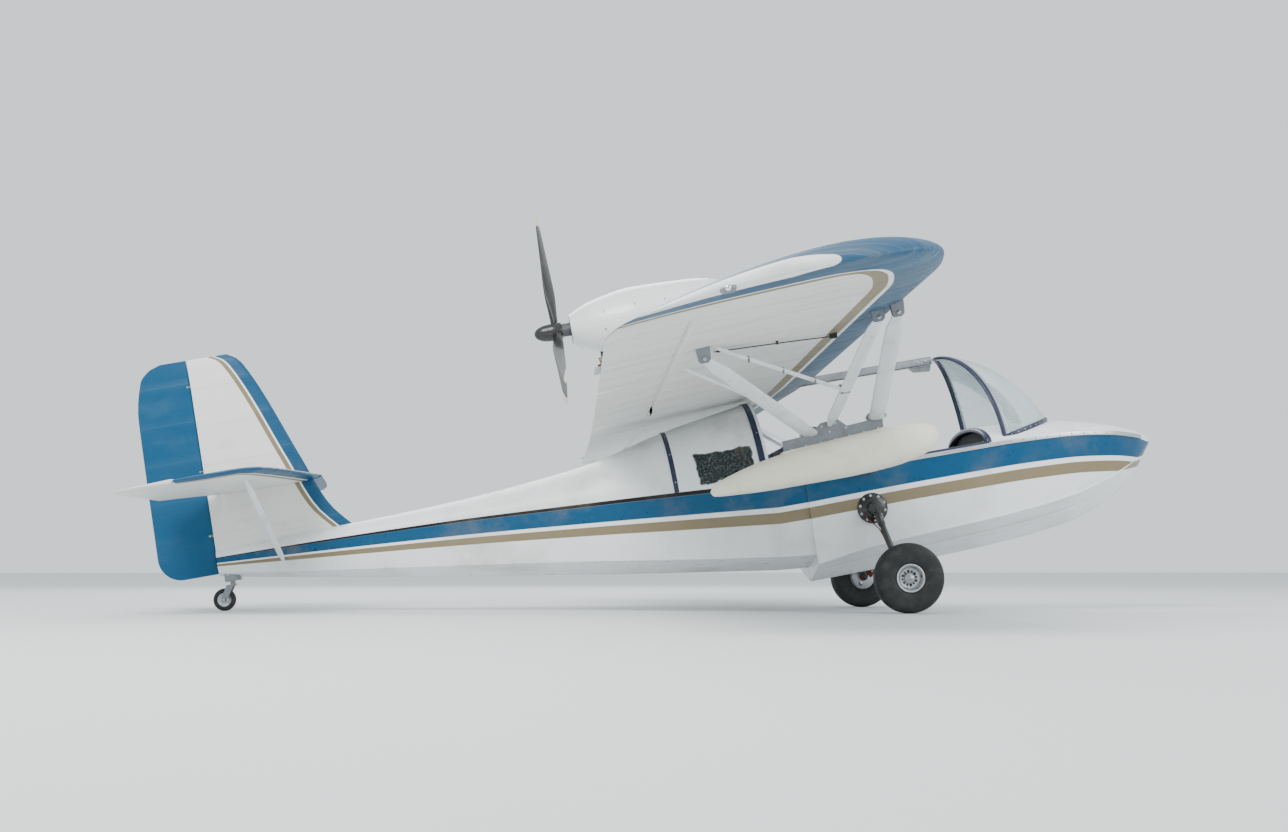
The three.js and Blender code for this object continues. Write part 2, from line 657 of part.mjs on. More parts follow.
for (const shift of [-2 * GAP, 2 * GAP]) {
  glassBody = glassBody.subtract(trimBody.translate([shift, 0, 0]));
  glassBody = glassBody.subtract(trimBody.translate([0, 0, shift]));
}
inner.add(piece("windscreen", largest(glassBody), LOOK.glass));

/** Wing: flat middle section, two outer panels, and a flap and an aileron cut out of each panel. */
const beam = (back, grow) => {
  const [w, h, c] = [BEAM.halfWidth + grow, BEAM.halfHeight + grow, BEAM.corner];
  const quarter = [
    [w, h - c],
    [w - c, h],
  ];
  const upper = [...quarter, ...quarter.toReversed().map(([y, z]) => [-y, z])];
  const corners = [...upper, ...upper.toReversed().map(([y, z]) => [y, -z])];
  const front = SCREEN.apexX - SCREEN_TRIM_RADIUS - 3;
  const rings = [front, back].map((x) => corners.map(([y, z]) => new THREE.Vector3(x, y, BEAM.z + z)));
  return loft(rings, alongX);
};
const wingMiddle = loft(
  [-WING_ROOT_Y + GAP, WING_ROOT_Y - GAP].map((y) => wingRing({ ...WING_STATIONS[0], y }, 1, WING_ROOT_Y)),
  alongY,
).subtract(beam(BEAM.wingEnd - GAP, GAP));
inner.add(piece("wing_middle", wingMiddle, LOOK.fabric));
inner.add(piece("overhead_tube", beam(BEAM.wingEnd, 0), LOOK.alloy));

const WING_SURFACES = [
  { name: "flap", span: FLAP },
  { name: "aileron", span: AILERON },
];
const wingPanels = {};
const wingRows = [WING_STATIONS[0], ...filled(WING_STATIONS.slice(1), "y", 3)];
for (const { side, s } of SIDES) {
  const whole = loft(wingRows.map((station) => wingRing(station, s)), alongY);
  let panelBody = whole;
  for (const { name, span } of WING_SURFACES) {
    const [near, far] = hingeLine(span, s);
    const along = far.clone().sub(near).normalize();
    const cutLow = [-2000, s * (span.from - SURFACE_GAP), 900];
    const cutHigh = [HINGE_X + NOSE_RADIUS + SURFACE_GAP, s * (span.to + SURFACE_GAP), 2000];
    const behind = box([-2000, s * span.from, 900], [HINGE_X, s * span.to, 2000]);
    const slice = box([-2000, s * span.from, 900], [0, s * span.to, 2000]);
    const nose = rod(near, far, NOSE_RADIUS, 20).intersect(slice);
    const pinReach = SURFACE_GAP - 2 * GAP;
    const pinFrom = near.clone().addScaledVector(along, -pinReach);
    const pinTo = far.clone().addScaledVector(along, pinReach);
    const pin = rod(pinFrom, pinTo, HINGE_PIN_RADIUS, 12);
    const surface = whole.intersect(behind).add(nose).add(pin);
    panelBody = panelBody.subtract(box(cutLow, cutHigh));
    inner.add(piece(`${name}_${side}`, surface, LOOK.fabric, near));
  }
  wingPanels[side] = panelBody;
  inner.add(piece(`wing_${side}`, panelBody, LOOK.fabric));
}

/** Lift struts, wing floats and their braces. */
const floatRows = filled(FLOAT_RINGS, "x", 2);
for (const { side, s } of SIDES) {
  const wingLowered = wingPanels[side].translate([0, 0, -GAP]);
  const lug = (tip) =>
    box([tip.x - 26, tip.y - 9, tip.z - 12], [tip.x + 26, tip.y + 9, tip.z + 110]).subtract(wingLowered);

  const fittingLow = [FITTING.x - FITTING.halfLength, s * 540, FITTING.z - FITTING.below];
  const fittingHigh = [FITTING.x + FITTING.halfLength, s * FITTING.face, FITTING.z + FITTING.above];
  const fitting = box(fittingLow, fittingHigh)
    .subtract(hullForm.translate([0, s * GAP, 0]))
    .subtract(hullForm.translate([0, 0, GAP]));
  inner.add(piece(`strut_fitting_${side}`, largest(fitting), LOOK.alloy));

  const frontTip = at(FRONT_STRUT.tip, s);
  const rearTip = at(REAR_STRUT.tip, s);
  const front = fairedStrut(at(FRONT_STRUT.root, s), frontTip, STRUT_HALF_CHORD, STRUT_HALF_DEPTH);
  const rear = fairedStrut(at(REAR_STRUT.root, s), rearTip, STRUT_HALF_CHORD, STRUT_HALF_DEPTH);
  const cutSquare = box([-3000, s * (FITTING.face + GAP), 0], [3000, s * 6000, 3000]);
  const frontStrut = largest(front.add(lug(frontTip)).intersect(cutSquare).subtract(wingLowered));
  const rearStrut = largest(rear.add(lug(rearTip)).intersect(cutSquare).subtract(wingLowered));
  inner.add(piece(`lift_strut_front_${side}`, frontStrut, LOOK.strutWhite));
  inner.add(piece(`lift_strut_rear_${side}`, rearStrut, LOOK.strutWhite));

  const f = at(FRONT_STRUT.root, s).lerp(frontTip, FLOAT_FRACTION);
  const r = at(REAR_STRUT.root, s).lerp(rearTip, FLOAT_FRACTION);
  const slope = (f.z - r.z) / (f.x - r.x);
  const topAt = (x) => f.z - 6 + (x - f.x) * slope;
  const channelRing = (x) => {
    const [w, h, t] = [CHANNEL.width / 2, CHANNEL.height, CHANNEL.wall];
    const top = topAt(x);
    return [
      [w, 0],
      [w, -h],
      [-w, -h],
      [-w, -h + t],
      [w - t, -h + t],
      [w - t, -t],
      [-w, -t],
      [-w, 0],
    ].map(([y, z]) => new THREE.Vector3(x, s * (FLOAT_Y + y), top + z));
  };
  const gussetY = FLOAT_Y + CHANNEL.width / 2;
  const gussetRing = (y) => GUSSET.map(({ x, above }) => new THREE.Vector3(x, s * y, topAt(x) + above));
  const gusset = loft([gussetRing(gussetY - CHANNEL.wall), gussetRing(gussetY)], alongY);
  const channel = loft([channelRing(CHANNEL.front), channelRing(CHANNEL.back)], alongX)
    .add(gusset)
    .subtract(front)
    .subtract(rear)
    .subtract(front.translate([0, 0, -GAP]))
    .subtract(rear.translate([0, 0, -GAP]));
  inner.add(piece(`float_channel_${side}`, largest(channel), LOOK.alloy));

  const floatRing = ({ x, top, bottom, halfWidth }) =>
    Array.from({ length: 16 }, (_, i) => {
      const angle = ((i + 0.5) / 16) * 2 * Math.PI;
      const squared = (v) => Math.sign(v) * Math.abs(v) ** 0.75;
      const y = halfWidth * squared(Math.cos(angle));
      const z = (top + bottom) / 2 + ((top - bottom) / 2) * squared(Math.sin(angle));
      return new THREE.Vector3(x, s * (FLOAT_Y + y), z);
    });
  const belowChannel = (x, corners) =>
    corners.map(([y, z]) => new THREE.Vector3(x, s * (FLOAT_Y + y), topAt(x) - CHANNEL.height - GAP + z));
  const padCorners = [
    [-62, 0],
    [62, 0],
    [80, -130],
    [-80, -130],
  ];
  const pad = loft([CHANNEL.front + 15, CHANNEL.back - 10].map((x) => belowChannel(x, padCorners)), alongX);
  const roomCorners = [
    [-300, 0],
    [300, 0],
    [300, 400],
    [-300, 400],
  ];
  const channelRoom = loft([400, -1500].map((x) => belowChannel(x, roomCorners)), alongX)
    .intersect(box([CHANNEL.back - 40, s * 1200, 600], [CHANNEL.front + 60, s * 1900, 1200]));
  const floatBody = loft(floatRows.map(floatRing), alongX).subtract(channelRoom).add(pad);
  inner.add(piece(`wing_float_${side}`, floatBody, LOOK.floatCream));

  const braceTip = at(BRACE.tip, s);
  const braceRoot = at(BRACE.root, s);
  const braceBody = fairedStrut(braceRoot, braceTip, BRACE.halfChord, BRACE.halfDepth);
  const gussetCut = box([-700, s * 1500, 800], [0, s * (gussetY + GAP), 1200]);
  const brace = braceBody
    .add(lug(braceTip))
    .subtract(gussetCut)
    .subtract(wingLowered)
    .subtract(frontStrut.translate([-GAP, 0, 0]));
  inner.add(piece(`float_brace_${side}`, largest(brace), LOOK.strutWhite));

  const clevis = braceRoot.clone().lerp(braceTip, JURY.clevis);
  const juryTop = at([JURY.topX, JURY.topY, wingPlane(JURY.topX, JURY.topY) - 8], s);
  const juryBend = at([JURY.bendX, JURY.bendY, wingPlane(JURY.bendX, JURY.bendY) - JURY.bendDrop], s);
  const juryPath = [clevis, clevis.clone().lerp(juryBend, 0.45), juryBend, juryTop];
  const jury = bentTube(juryPath, JURY_RADIUS, 14)
    .subtract(braceBody.translate([0, 0, GAP]))
    .subtract(braceBody)
    .subtract(wingLowered);
  inner.add(piece(`jury_strut_front_${side}`, largest(jury), LOOK.strutWhite));

  const rearMid = at(REAR_STRUT.root, s).lerp(rearTip, JURY_REAR.along);
  const rearTop = at([JURY_REAR.x, JURY_REAR.y, wingPlane(JURY_REAR.x, JURY_REAR.y) + 10], s);
  const juryRear = rod(rearMid, rearTop, JURY_RADIUS, 10)
    .subtract(rear.translate([0, 0, GAP]))
    .subtract(rear)
    .subtract(wingLowered);
  inner.add(piece(`jury_strut_rear_${side}`, largest(juryRear), LOOK.strutWhite));

  const tip = WING_STATIONS.at(-1);
  const lightZ = wingPlane(NAV_LIGHT.x, tip.y) + 0.02 * (tip.leadX - tip.trailX);
  const lightInner = at([NAV_LIGHT.x, tip.y + GAP, lightZ], s);
  const lightOuter = at([NAV_LIGHT.x, tip.y + NAV_LIGHT.depth, lightZ], s);
  const lensLow = [NAV_LIGHT.x - 40, s * (tip.y + 4), lightZ - 40];
  const lensHigh = [NAV_LIGHT.x + 40, s * (tip.y + 60), lightZ + 40];
  const lens = ball(lightOuter, NAV_LIGHT.lensRadius).intersect(box(lensLow, lensHigh));
  const navLight = rod(lightInner, lightOuter, NAV_LIGHT.radius, 20).add(lens);
  inner.add(piece(`nav_light_${side}`, navLight, LOOK.lens));
}

/** Main gear: flange, leg with its axle, brake, rim and tyre. */
for (const { side, s } of SIDES) {
  const axle = new THREE.Vector3(0, s * WHEEL_Y, 0);
  const legAxisAt = (y) => at([FLANGE.x, y, FLANGE.z], s);
  const axleAt = (y) => at([0, y, 0], s);
  const flange = rod(legAxisAt(500), legAxisAt(FLANGE.face), FLANGE.radius, 28);
  const flangeCut = hullForm.translate([0, s * GAP, 0]);
  inner.add(piece(`gear_flange_${side}`, flange.subtract(flangeCut), LOOK.black));

  const foot = axleAt(LEG_FOOT_Y);
  const leg = rod(legAxisAt(FLANGE.face + GAP), legAxisAt(LEG_SLEEVE.end), LEG_SLEEVE.radius, 20)
    .add(rod(legAxisAt(LEG_KNEE_Y), foot, LEG_RADIUS, 16))
    .add(ball(foot, LEG_RADIUS + 3))
    .add(rod(foot, axleAt(AXLE_END_Y), AXLE_RADIUS, 16))
    .add(rod(axleAt(AXLE_NUT.from), axleAt(AXLE_NUT.to), AXLE_NUT.radius, 6));
  inner.add(piece(`gear_leg_${side}`, leg, LOOK.black));

  const facing = (body) => (s > 0 ? body : body.mirror([0, 1, 0])).translate([0, s * WHEEL_Y, 0]);
  const caliperArm = box([18, -117, -28], [92, -98, 28]).rotate([0, -40, 0]);
  const caliper = turned(CALIPER_RING, 12).add(caliperArm);
  inner.add(piece(`brake_caliper_${side}`, facing(caliper).subtract(leg), LOOK.rust));

  const disc = drilled(turned(DISC_PROFILE, 28), DISC_HOLES, 0);
  inner.add(piece(`brake_disc_${side}`, facing(disc), LOOK.steel, axle));

  const rim = drilled(turned(RIM_PROFILE, WHEEL_FACETS), RIM_HOLES, 0.5);
  inner.add(piece(`wheel_rim_${side}`, facing(rim), LOOK.rim, axle));

  const tyre = turned(TYRE_PROFILE, WHEEL_FACETS);
  inner.add(piece(`tyre_${side}`, facing(tyre), LOOK.rubber, axle));
}

/** Tail wheel in a trailing fork that swivels below the stern. */
const tailWheelZ =
  (-TYRE_RADIUS + TAIL_WHEEL_RADIUS - TAIL_WHEEL_X * Math.sin(NOSE_UP)) / Math.cos(NOSE_UP);
const tailAxle = new THREE.Vector3(TAIL_WHEEL_X, 0, tailWheelZ);
const crownZ = tailWheelZ + TAIL_WHEEL_RADIUS + 8;
const bracketBox = box([TAIL_PIVOT_X - 45, -28, crownZ + 30], [TAIL_PIVOT_X + 60, 28, crownZ + 120]);
const bracketParts = bracketBox.subtract(aftBody.translate([0, 0, -GAP])).decompose();
const bracket = bracketParts.sort((a, b) => a.boundingBox().min[2] - b.boundingBox().min[2])[0];
inner.add(piece("tail_wheel_bracket", bracket, LOOK.steel));
let fork = rod(at([TAIL_PIVOT_X, 0, crownZ + 4]), at([TAIL_PIVOT_X, 0, crownZ + 29]), 18, 16)
  .add(box([TAIL_PIVOT_X - 40, -36, crownZ], [TAIL_PIVOT_X + 22, 36, crownZ + 9]));
const forkArm = [
  [TAIL_PIVOT_X - 40, crownZ + 5],
  [TAIL_PIVOT_X + 10, crownZ + 5],
  [TAIL_WHEEL_X + 14, tailWheelZ - 16],
  [TAIL_WHEEL_X - 16, tailWheelZ - 10],
  [TAIL_WHEEL_X - 14, tailWheelZ + 14],
];
for (const s of [1, -1]) {
  const rings = [s * 28, s * 35].map((y) => forkArm.map(([x, z]) => new THREE.Vector3(x, y, z)));
  fork = fork.add(loft(rings, alongY));
}
fork = fork.add(rod(at([TAIL_WHEEL_X, -40, tailWheelZ]), at([TAIL_WHEEL_X, 40, tailWheelZ]), 7, 12));
inner.add(piece("tail_wheel_fork", fork, LOOK.steel, new THREE.Vector3(TAIL_PIVOT_X, 0, crownZ)));
const tailTyre = turned(TAIL_WHEEL_PROFILE, 20).translate(tailAxle.toArray());
inner.add(piece("tail_wheel", tailTyre, LOOK.rubber, tailAxle));

/** Fin and rudder, stabiliser and elevator, with the struts below the stabiliser. */
const tailRing = (leadX, trailX, thick, toPoint) => {
  const upper = TAIL_OUTLINE.map(({ share, half }) => [leadX + (trailX - leadX) * share, half * thick]);
  const lower = upper.toReversed().map(([x, offset]) => [x, -offset]);
  return [...upper, ...lower].map(([x, offset]) => toPoint(x, offset));
};
const finRings = FIN_STATIONS.map(({ z, lead, k }) =>
  tailRing(lead, FIN.trail, FIN.halfWidth * k, (x, y) => new THREE.Vector3(x, y, z)),
);
const torqueAt = (y) => at([STAB.hingeX, y, STAB.z]);
const finBody = loft(finRings, alongZ)
  .subtract(aftBody.translate([0, 0, GAP]))
  .subtract(rod(torqueAt(-200), torqueAt(200), TORQUE_RADIUS + 1, 16));
let fin = largest(finBody);
for (const z of RUDDER_HINGES) {
  const lug = box([RUDDER.hingeX - 8, -7, z - 5], [FIN.trail + 6, 7, z + 5]);
  const pinHole = rod(at([RUDDER.hingeX, 0, z - 9]), at([RUDDER.hingeX, 0, z + 9]), PIN_HOLE_RADIUS, 8);
  fin = fin.add(lug).subtract(pinHole);
}
inner.add(piece("fin", fin, LOOK.fabric));

const rudderRings = RUDDER_STATIONS.map(({ z, trail, k }) => {
  const r = RUDDER.noseRadius * k;
  return [
    [RUDDER.hingeX - 4, r],
    [RUDDER.hingeX + 0.7 * r, 0.7 * r],
    [RUDDER.hingeX + r, 0],
    [RUDDER.hingeX + 0.7 * r, -0.7 * r],
    [RUDDER.hingeX - 4, -r],
    [trail, -3],
    [trail, 3],
  ].map(([x, y]) => new THREE.Vector3(x, y, z));
});
let rudder = loft(rudderRings, alongZ).subtract(box([FIN.trail - 6, -60, 700], [-4000, 60, 2400]));
for (const z of RUDDER_HINGES) {
  rudder = rudder
    .subtract(box([RUDDER.hingeX - 16, -60, z - 6.5], [-4000, 60, z + 6.5]))
    .add(rod(at([RUDDER.hingeX, 0, z - 12]), at([RUDDER.hingeX, 0, z + 12]), PIN_HOLE_RADIUS - 0.7, 8));
}
const rudderPivot = new THREE.Vector3(RUDDER.hingeX, 0, 1400);
inner.add(piece("rudder", rudder, LOOK.blue, rudderPivot));

for (const { side, s } of SIDES) {
  const stabiliserRings = STAB_STATIONS.map(({ y, lead, k }) =>
    tailRing(lead, STAB.hingeX + ELEVATOR.noseRadius + 7, (STAB.depth / 2) * k, (x, z) =>
      new THREE.Vector3(x, s * y, STAB.z + z),
    ),
  );
  const stabiliser = loft(stabiliserRings, alongY);
  inner.add(piece(`stabiliser_${side}`, stabiliser, LOOK.fabric));
  const strutTop = at([...TAIL_STRUT.top, STAB.z - STAB.depth / 2 + 4], s);
  const strut = fairedStrut(at(TAIL_STRUT.foot, s), strutTop, 20, 9)
    .subtract(stabiliser.translate([0, 0, -GAP]))
    .subtract(aftBody.translate([0, s * GAP, 0]));
  inner.add(piece(`tail_strut_${side}`, largest(strut), LOOK.strutWhite));
}
const elevatorSection = [
  [STAB.hingeX, ELEVATOR.noseRadius],
  [STAB.hingeX, -ELEVATOR.noseRadius],
  [ELEVATOR.trail, -3],
  [ELEVATOR.trail, 3],
];
const elevatorPlan = [
  [STAB.hingeX, ELEVATOR.innerRoot],
  [STAB.hingeX, STAB.span],
  [STAB.hingeX - 160, STAB.span],
  [STAB.hingeX - 290, STAB.span - 40],
  [ELEVATOR.trail, STAB.span - 150],
  [ELEVATOR.trail, ELEVATOR.innerTrail],
];
let elevator = rod(torqueAt(-120), torqueAt(120), TORQUE_RADIUS, 16);
for (const s of [1, -1]) {
  const wedge = loft(
    [ELEVATOR.innerRoot, STAB.span - 2].map((y) =>
      elevatorSection.map(([x, z]) => new THREE.Vector3(x, s * y, STAB.z + z)),
    ),
    alongY,
  );
  const outline = loft(
    [STAB.z - 60, STAB.z + 60].map((z) => elevatorPlan.map(([x, y]) => new THREE.Vector3(x, s * y, z))),
    alongZ,
  );
  const nose = rod(torqueAt(s * ELEVATOR.innerRoot), torqueAt(s * STAB.span), ELEVATOR.noseRadius, 16);
  elevator = elevator.add(wedge.intersect(outline)).add(nose);
}
inner.add(piece("elevator", elevator, LOOK.fabric, new THREE.Vector3(STAB.hingeX, 0, STAB.z)));

/** Engine on its pylon above the wing, in a cowl open at both ends, and the pusher propeller. */
const cowlRows = filled(COWL_RINGS, "x", 2);
const cowlForm = (rows, inset) => {
  const ring = ({ x, halfWidth, halfHeight }) =>
    Array.from({ length: 22 }, (_, i) => {
      const angle = (i / 22) * 2 * Math.PI;
      const y = (halfWidth - inset) * Math.cos(angle);
      return new THREE.Vector3(x, y, THRUST_Z - 10 + (halfHeight - inset) * Math.sin(angle));
    });
  return loft(rows.map(ring), alongX);
};
const cowlInside = [{ ...cowlRows[0], x: -590 }, ...cowlRows.slice(1, -1), { ...cowlRows.at(-1), x: -1820 }];
const pylonRing = (z, k) => {
  const near = PYLON_SECTION.map(({ x, y }) => new THREE.Vector3(x, y * k, z));
  const far = near.slice(1).map((p) => new THREE.Vector3(p.x, -p.y, z));
  return [...near, ...far.reverse()];
};
const pylonTop = ENGINE_BLOCK.bottom - GAP;
const pylon = loft([pylonRing(PYLON_BOTTOM_Z, 1), pylonRing(pylonTop, 0.8)], alongZ)
  .subtract(wingMiddle.translate([0, 0, GAP]))
  .subtract(box([-2000, -100, 1300], [-500, 100, 1440]));
inner.add(piece("engine_pylon", largest(pylon), LOOK.gelcoat));
const pylonWide = loft([pylonRing(PYLON_BOTTOM_Z, 1.02), pylonRing(pylonTop + 2, 0.82)], alongZ);
const cowl = cowlForm(cowlRows, 0)
  .subtract(cowlForm(cowlInside, COWL_WALL))
  .subtract(pylonWide.translate([0.5, 0, 0]))
  .subtract(pylonWide.translate([-0.5, 0, 0]));
inner.add(piece("engine_cowl", cowl, LOOK.gelcoat));
const thrustLine = (x) => new THREE.Vector3(x, 0, THRUST_Z);
const shaft = rod(thrustLine(ENGINE_BLOCK.back + 20), thrustLine(PROPELLER.x + 42), 46, 20);
const engineLow = [ENGINE_BLOCK.front, -ENGINE_BLOCK.halfWidth, ENGINE_BLOCK.bottom];
const engineHigh = [ENGINE_BLOCK.back, ENGINE_BLOCK.halfWidth, ENGINE_BLOCK.top];
const engine = box(engineLow, engineHigh).intersect(cowlForm(cowlRows, COWL_WALL + 1)).add(shaft);
inner.add(piece("engine_block", engine, LOOK.steel));

const hubAt = thrustLine(PROPELLER.x);
const hub = rod(thrustLine(PROPELLER.x + 41), thrustLine(PROPELLER.x - 40), PROPELLER.hubRadius, 24);
const spinner = rod(thrustLine(PROPELLER.x - 39), thrustLine(PROPELLER.x - 105), PROPELLER.hubRadius, 24, 46)
  .add(rod(thrustLine(PROPELLER.x - 104), thrustLine(PROPELLER.x - 150), 46, 24, 12));
let propeller = hub.add(spinner);
const bladeRing = ({ r, chord, depth, twist }) => {
  const angle = THREE.MathUtils.degToRad(twist);
  return BLADE_SECTION.map(([u, v]) => {
    const x = u * chord * Math.sin(angle) + v * depth * Math.cos(angle);
    const y = u * chord * Math.cos(angle) - v * depth * Math.sin(angle);
    return new THREE.Vector3(x, y, r);
  });
};
const blade = loft(filled(BLADE_STATIONS, "r", 2).map(bladeRing), alongZ);
for (let i = 0; i < PROPELLER.blades; i++) {
  propeller = propeller.add(blade.rotate([(i * 360) / PROPELLER.blades, 0, 0]).translate(hubAt.toArray()));
}
inner.add(piece("propeller", propeller, LOOK.black, hubAt));

// Tips the aircraft nose-up on its wheels, with the ground at Z 0 and the middle of its length at X 0
inner.rotation.y = -NOSE_UP;
airframe.updateMatrixWorld(true);
const extent = new THREE.Box3().setFromObject(airframe, true);
inner.position.set(-(extent.min.x + extent.max.x) / 2, 0, -extent.min.z);

export default airframe;
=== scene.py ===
"""The looks of a light two-seat amphibious flying boat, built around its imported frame.

Lengths are in metres. Shapes are worked out in level-flight axes: x towards the nose, y towards
the left wing tip and z up, with the origin in the middle of the main axle. Placement turns them
into the frame's axes, in which the aircraft stands nose-up on its three wheels. A piece that both
sides have is worked out on the left, and mirrored for the right.
"""

from __future__ import annotations

import json
import logging
import math
from dataclasses import dataclass, replace
from enum import Enum
from typing import Any, Sequence

import bmesh
import bpy
import numpy as np
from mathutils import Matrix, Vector

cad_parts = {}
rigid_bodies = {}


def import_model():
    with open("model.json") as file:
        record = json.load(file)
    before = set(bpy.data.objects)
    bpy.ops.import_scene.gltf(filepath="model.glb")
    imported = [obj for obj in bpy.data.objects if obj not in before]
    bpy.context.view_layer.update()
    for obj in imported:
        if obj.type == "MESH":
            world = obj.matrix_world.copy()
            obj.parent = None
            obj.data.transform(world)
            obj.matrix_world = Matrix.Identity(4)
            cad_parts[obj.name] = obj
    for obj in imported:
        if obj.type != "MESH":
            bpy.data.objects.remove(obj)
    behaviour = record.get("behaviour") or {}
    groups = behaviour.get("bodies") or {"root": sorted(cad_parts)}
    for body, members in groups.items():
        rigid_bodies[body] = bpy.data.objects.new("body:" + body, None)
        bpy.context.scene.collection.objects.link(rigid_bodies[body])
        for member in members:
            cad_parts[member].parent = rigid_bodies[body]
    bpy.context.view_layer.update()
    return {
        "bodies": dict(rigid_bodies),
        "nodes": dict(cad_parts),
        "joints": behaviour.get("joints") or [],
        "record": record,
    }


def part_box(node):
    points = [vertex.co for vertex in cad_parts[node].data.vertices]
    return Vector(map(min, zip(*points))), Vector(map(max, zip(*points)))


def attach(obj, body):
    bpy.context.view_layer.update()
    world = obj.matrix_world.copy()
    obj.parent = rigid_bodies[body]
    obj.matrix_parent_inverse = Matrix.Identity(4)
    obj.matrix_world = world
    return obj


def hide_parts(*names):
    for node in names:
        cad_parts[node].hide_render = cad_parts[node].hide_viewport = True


Array = np.ndarray
Colour = tuple[float, float, float]
Point = tuple[float, float, float]
Place = Point | Array
Stripes = tuple[tuple[float, float, Colour], ...]
LOG = logging.getLogger("flying_boat")
TAU = 2 * math.pi
QUARTER = math.pi / 2
AHEAD: Point = (1.0, 0.0, 0.0)
ACROSS: Point = (0.0, 1.0, 0.0)
UPWARD: Point = (0.0, 0.0, 1.0)
FLIP = np.array([1, -1, 1])
SIDES = {"left": 1.0, "right": -1.0}
SKIN_MAP = "Skin"
FAR = 5.0  # a distance in the skin map that no stripe reaches
POLE = 1e-5  # a radius so small that new_mesh merges its points into one


# ---------------------------------------------------------------------------------------------
# Shapes
# ---------------------------------------------------------------------------------------------
class Placement:
    """Where the level-flight axes lie in the frame: tipped nose-up about y, then shifted."""

    nose_up = math.radians(10)
    shift = np.zeros(3)

    @classmethod
    def read(cls) -> None:
        """Takes the shift from the middle of the two main tyres, where the level axes begin."""
        corners = [np.array(c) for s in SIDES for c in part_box(f"tyre_{s}")]
        cls.shift = np.mean(corners, axis=0)

    @classmethod
    def frame(cls, level: Place) -> Array:
        """Turns level points into the frame's: x cos - z sin, y, x sin + z cos, plus the shift.

        Args:
            level: points in level axes, of any shape that ends in 3.

        Returns:
            The same points in the frame's axes.
        """
        c, s = math.cos(cls.nose_up), math.sin(cls.nose_up)
        turn = np.array([[c, 0, s], [0, 1, 0], [-s, 0, c]])
        return np.asarray(level, float) @ turn + cls.shift


def xyz(x: Any, y: Any, z: Any) -> Array:
    """Points from three coordinates, each spread over the shape that all three make."""
    return np.stack(np.broadcast_arrays(x, y, z), -1)


def unit(v: Array) -> Array:
    """Vectors of length one."""
    return v / np.maximum(np.linalg.norm(v, axis=-1, keepdims=True), 1e-12)


def smooth(rows: Sequence[float], values: Sequence[float], at: Array) -> Array:
    """A smooth curve through a table, by a cubic between each pair of rows.

    The slope at a row is the harmonic mean of the slopes beside it, or zero at a peak, so the
    curve never swings past the table's values.

    Args:
        rows: where the values stand, rising.
        values: the values there.
        at: where the curve is wanted.

    Returns:
        The curve's values.
    """
    x, y, at = np.asarray(rows, float), np.asarray(values, float), np.asarray(at, float)
    gap = np.diff(x)
    slope = np.diff(y) / gap
    same = slope[:-1] * slope[1:] > 0
    total = np.where(same, slope[:-1] + slope[1:], 1.0)
    inner = np.where(same, 2 * slope[:-1] * slope[1:] / total, 0.0)
    m = np.concatenate([slope[:1], inner, slope[-1:]])
    i = np.clip(np.searchsorted(x, at) - 1, 0, len(x) - 2)
    t = np.clip((at - x[i]) / gap[i], 0, 1)
    a = (1 + 2 * t) * (1 - t) ** 2 * y[i] + t * (1 - t) ** 2 * gap[i] * m[i]
    return a + t * t * (3 - 2 * t) * y[i + 1] + t * t * (t - 1) * gap[i] * m[i + 1]


def smooth_columns(table: Sequence[Sequence[float]], at: Array) -> Array:
    """Smooth curves through each further column of a table against its first, one row for each."""
    rows = np.array(table)
    return np.stack([smooth(rows[:, 0], rows[:, k], at) for k in range(1, rows.shape[1])])


def rounded(flat: Array, out: float, count: int) -> Array:
    """Positions that run on past the last one and crowd, as a quarter sine does, to a round end.

    Args:
        flat: the positions before the end.
        out: how far the end is past the last of them.
        count: points of the quarter sine, with the last of them as its first.

    Returns:
        All the positions.
    """
    return np.concatenate([flat, flat[-1] + out * np.sin(np.linspace(0, QUARTER, count)[1:])])


@dataclass
class Surface:
    """A grid of points, rows by columns, or several alike grids stacked before them.

    Attributes:
        points: the grid in level axes, its shape ending in rows, columns, 3.
        uv: a place in the skin map for each point, or None far from every stripe.
        close_rows: the last row joins the first.
        close_columns: the last column joins the first.
        ends: the first and the last row are filled.
        finish: the number of its finish on the piece.
    """

    points: Array
    uv: Array | None = None
    close_rows: bool = False
    close_columns: bool = False
    ends: bool = False
    finish: int = 0

    def faces(self, start: int) -> tuple[list[list[int]], list[list[int]]]:
        """Numbers the grid's quads and end caps.

        Args:
            start: the number of the surface's first vertex in the mesh.

        Returns:
            The quads, and the end caps, as lists of vertices.
        """
        rows, columns = self.points.shape[-3:-1]
        copies = int(np.prod(self.points.shape[:-3], dtype=int))
        index = np.arange(rows * columns).reshape(rows, columns)
        ends = np.stack([index[0][::-1], index[-1]])
        if self.close_rows:
            index = np.vstack([index, index[:1]])
        if self.close_columns:
            index = np.hstack([index, index[:, :1]])
        corners = [index[:-1, :-1], index[:-1, 1:], index[1:, 1:], index[1:, :-1]]
        offset = start + np.arange(copies)[:, None, None] * rows * columns
        quads = (np.stack(corners, -1).reshape(1, -1, 4) + offset).reshape(-1, 4).tolist()
        caps = (ends[None] + offset).reshape(-1, columns).tolist() if self.ends else []
        return quads, caps


def mirrored(surfaces: Sequence[Surface]) -> list[Surface]:
    """The same surfaces on the other side of the aircraft."""
    return [replace(surface, points=surface.points * FLIP) for surface in surfaces]


def tube(points: Array, uv: Array | None = None, finish: int = 0) -> Surface:
    """A surface of closed rings, one for each row, with its ends filled."""
    return Surface(points, uv, close_columns=True, ends=True, finish=finish)


def folded(half: Array, back: slice) -> Array:
    """Closes half outlines: after each row come its points in the back order, on the other side."""
    return np.concatenate([half, half[:, back] * FLIP], axis=1)


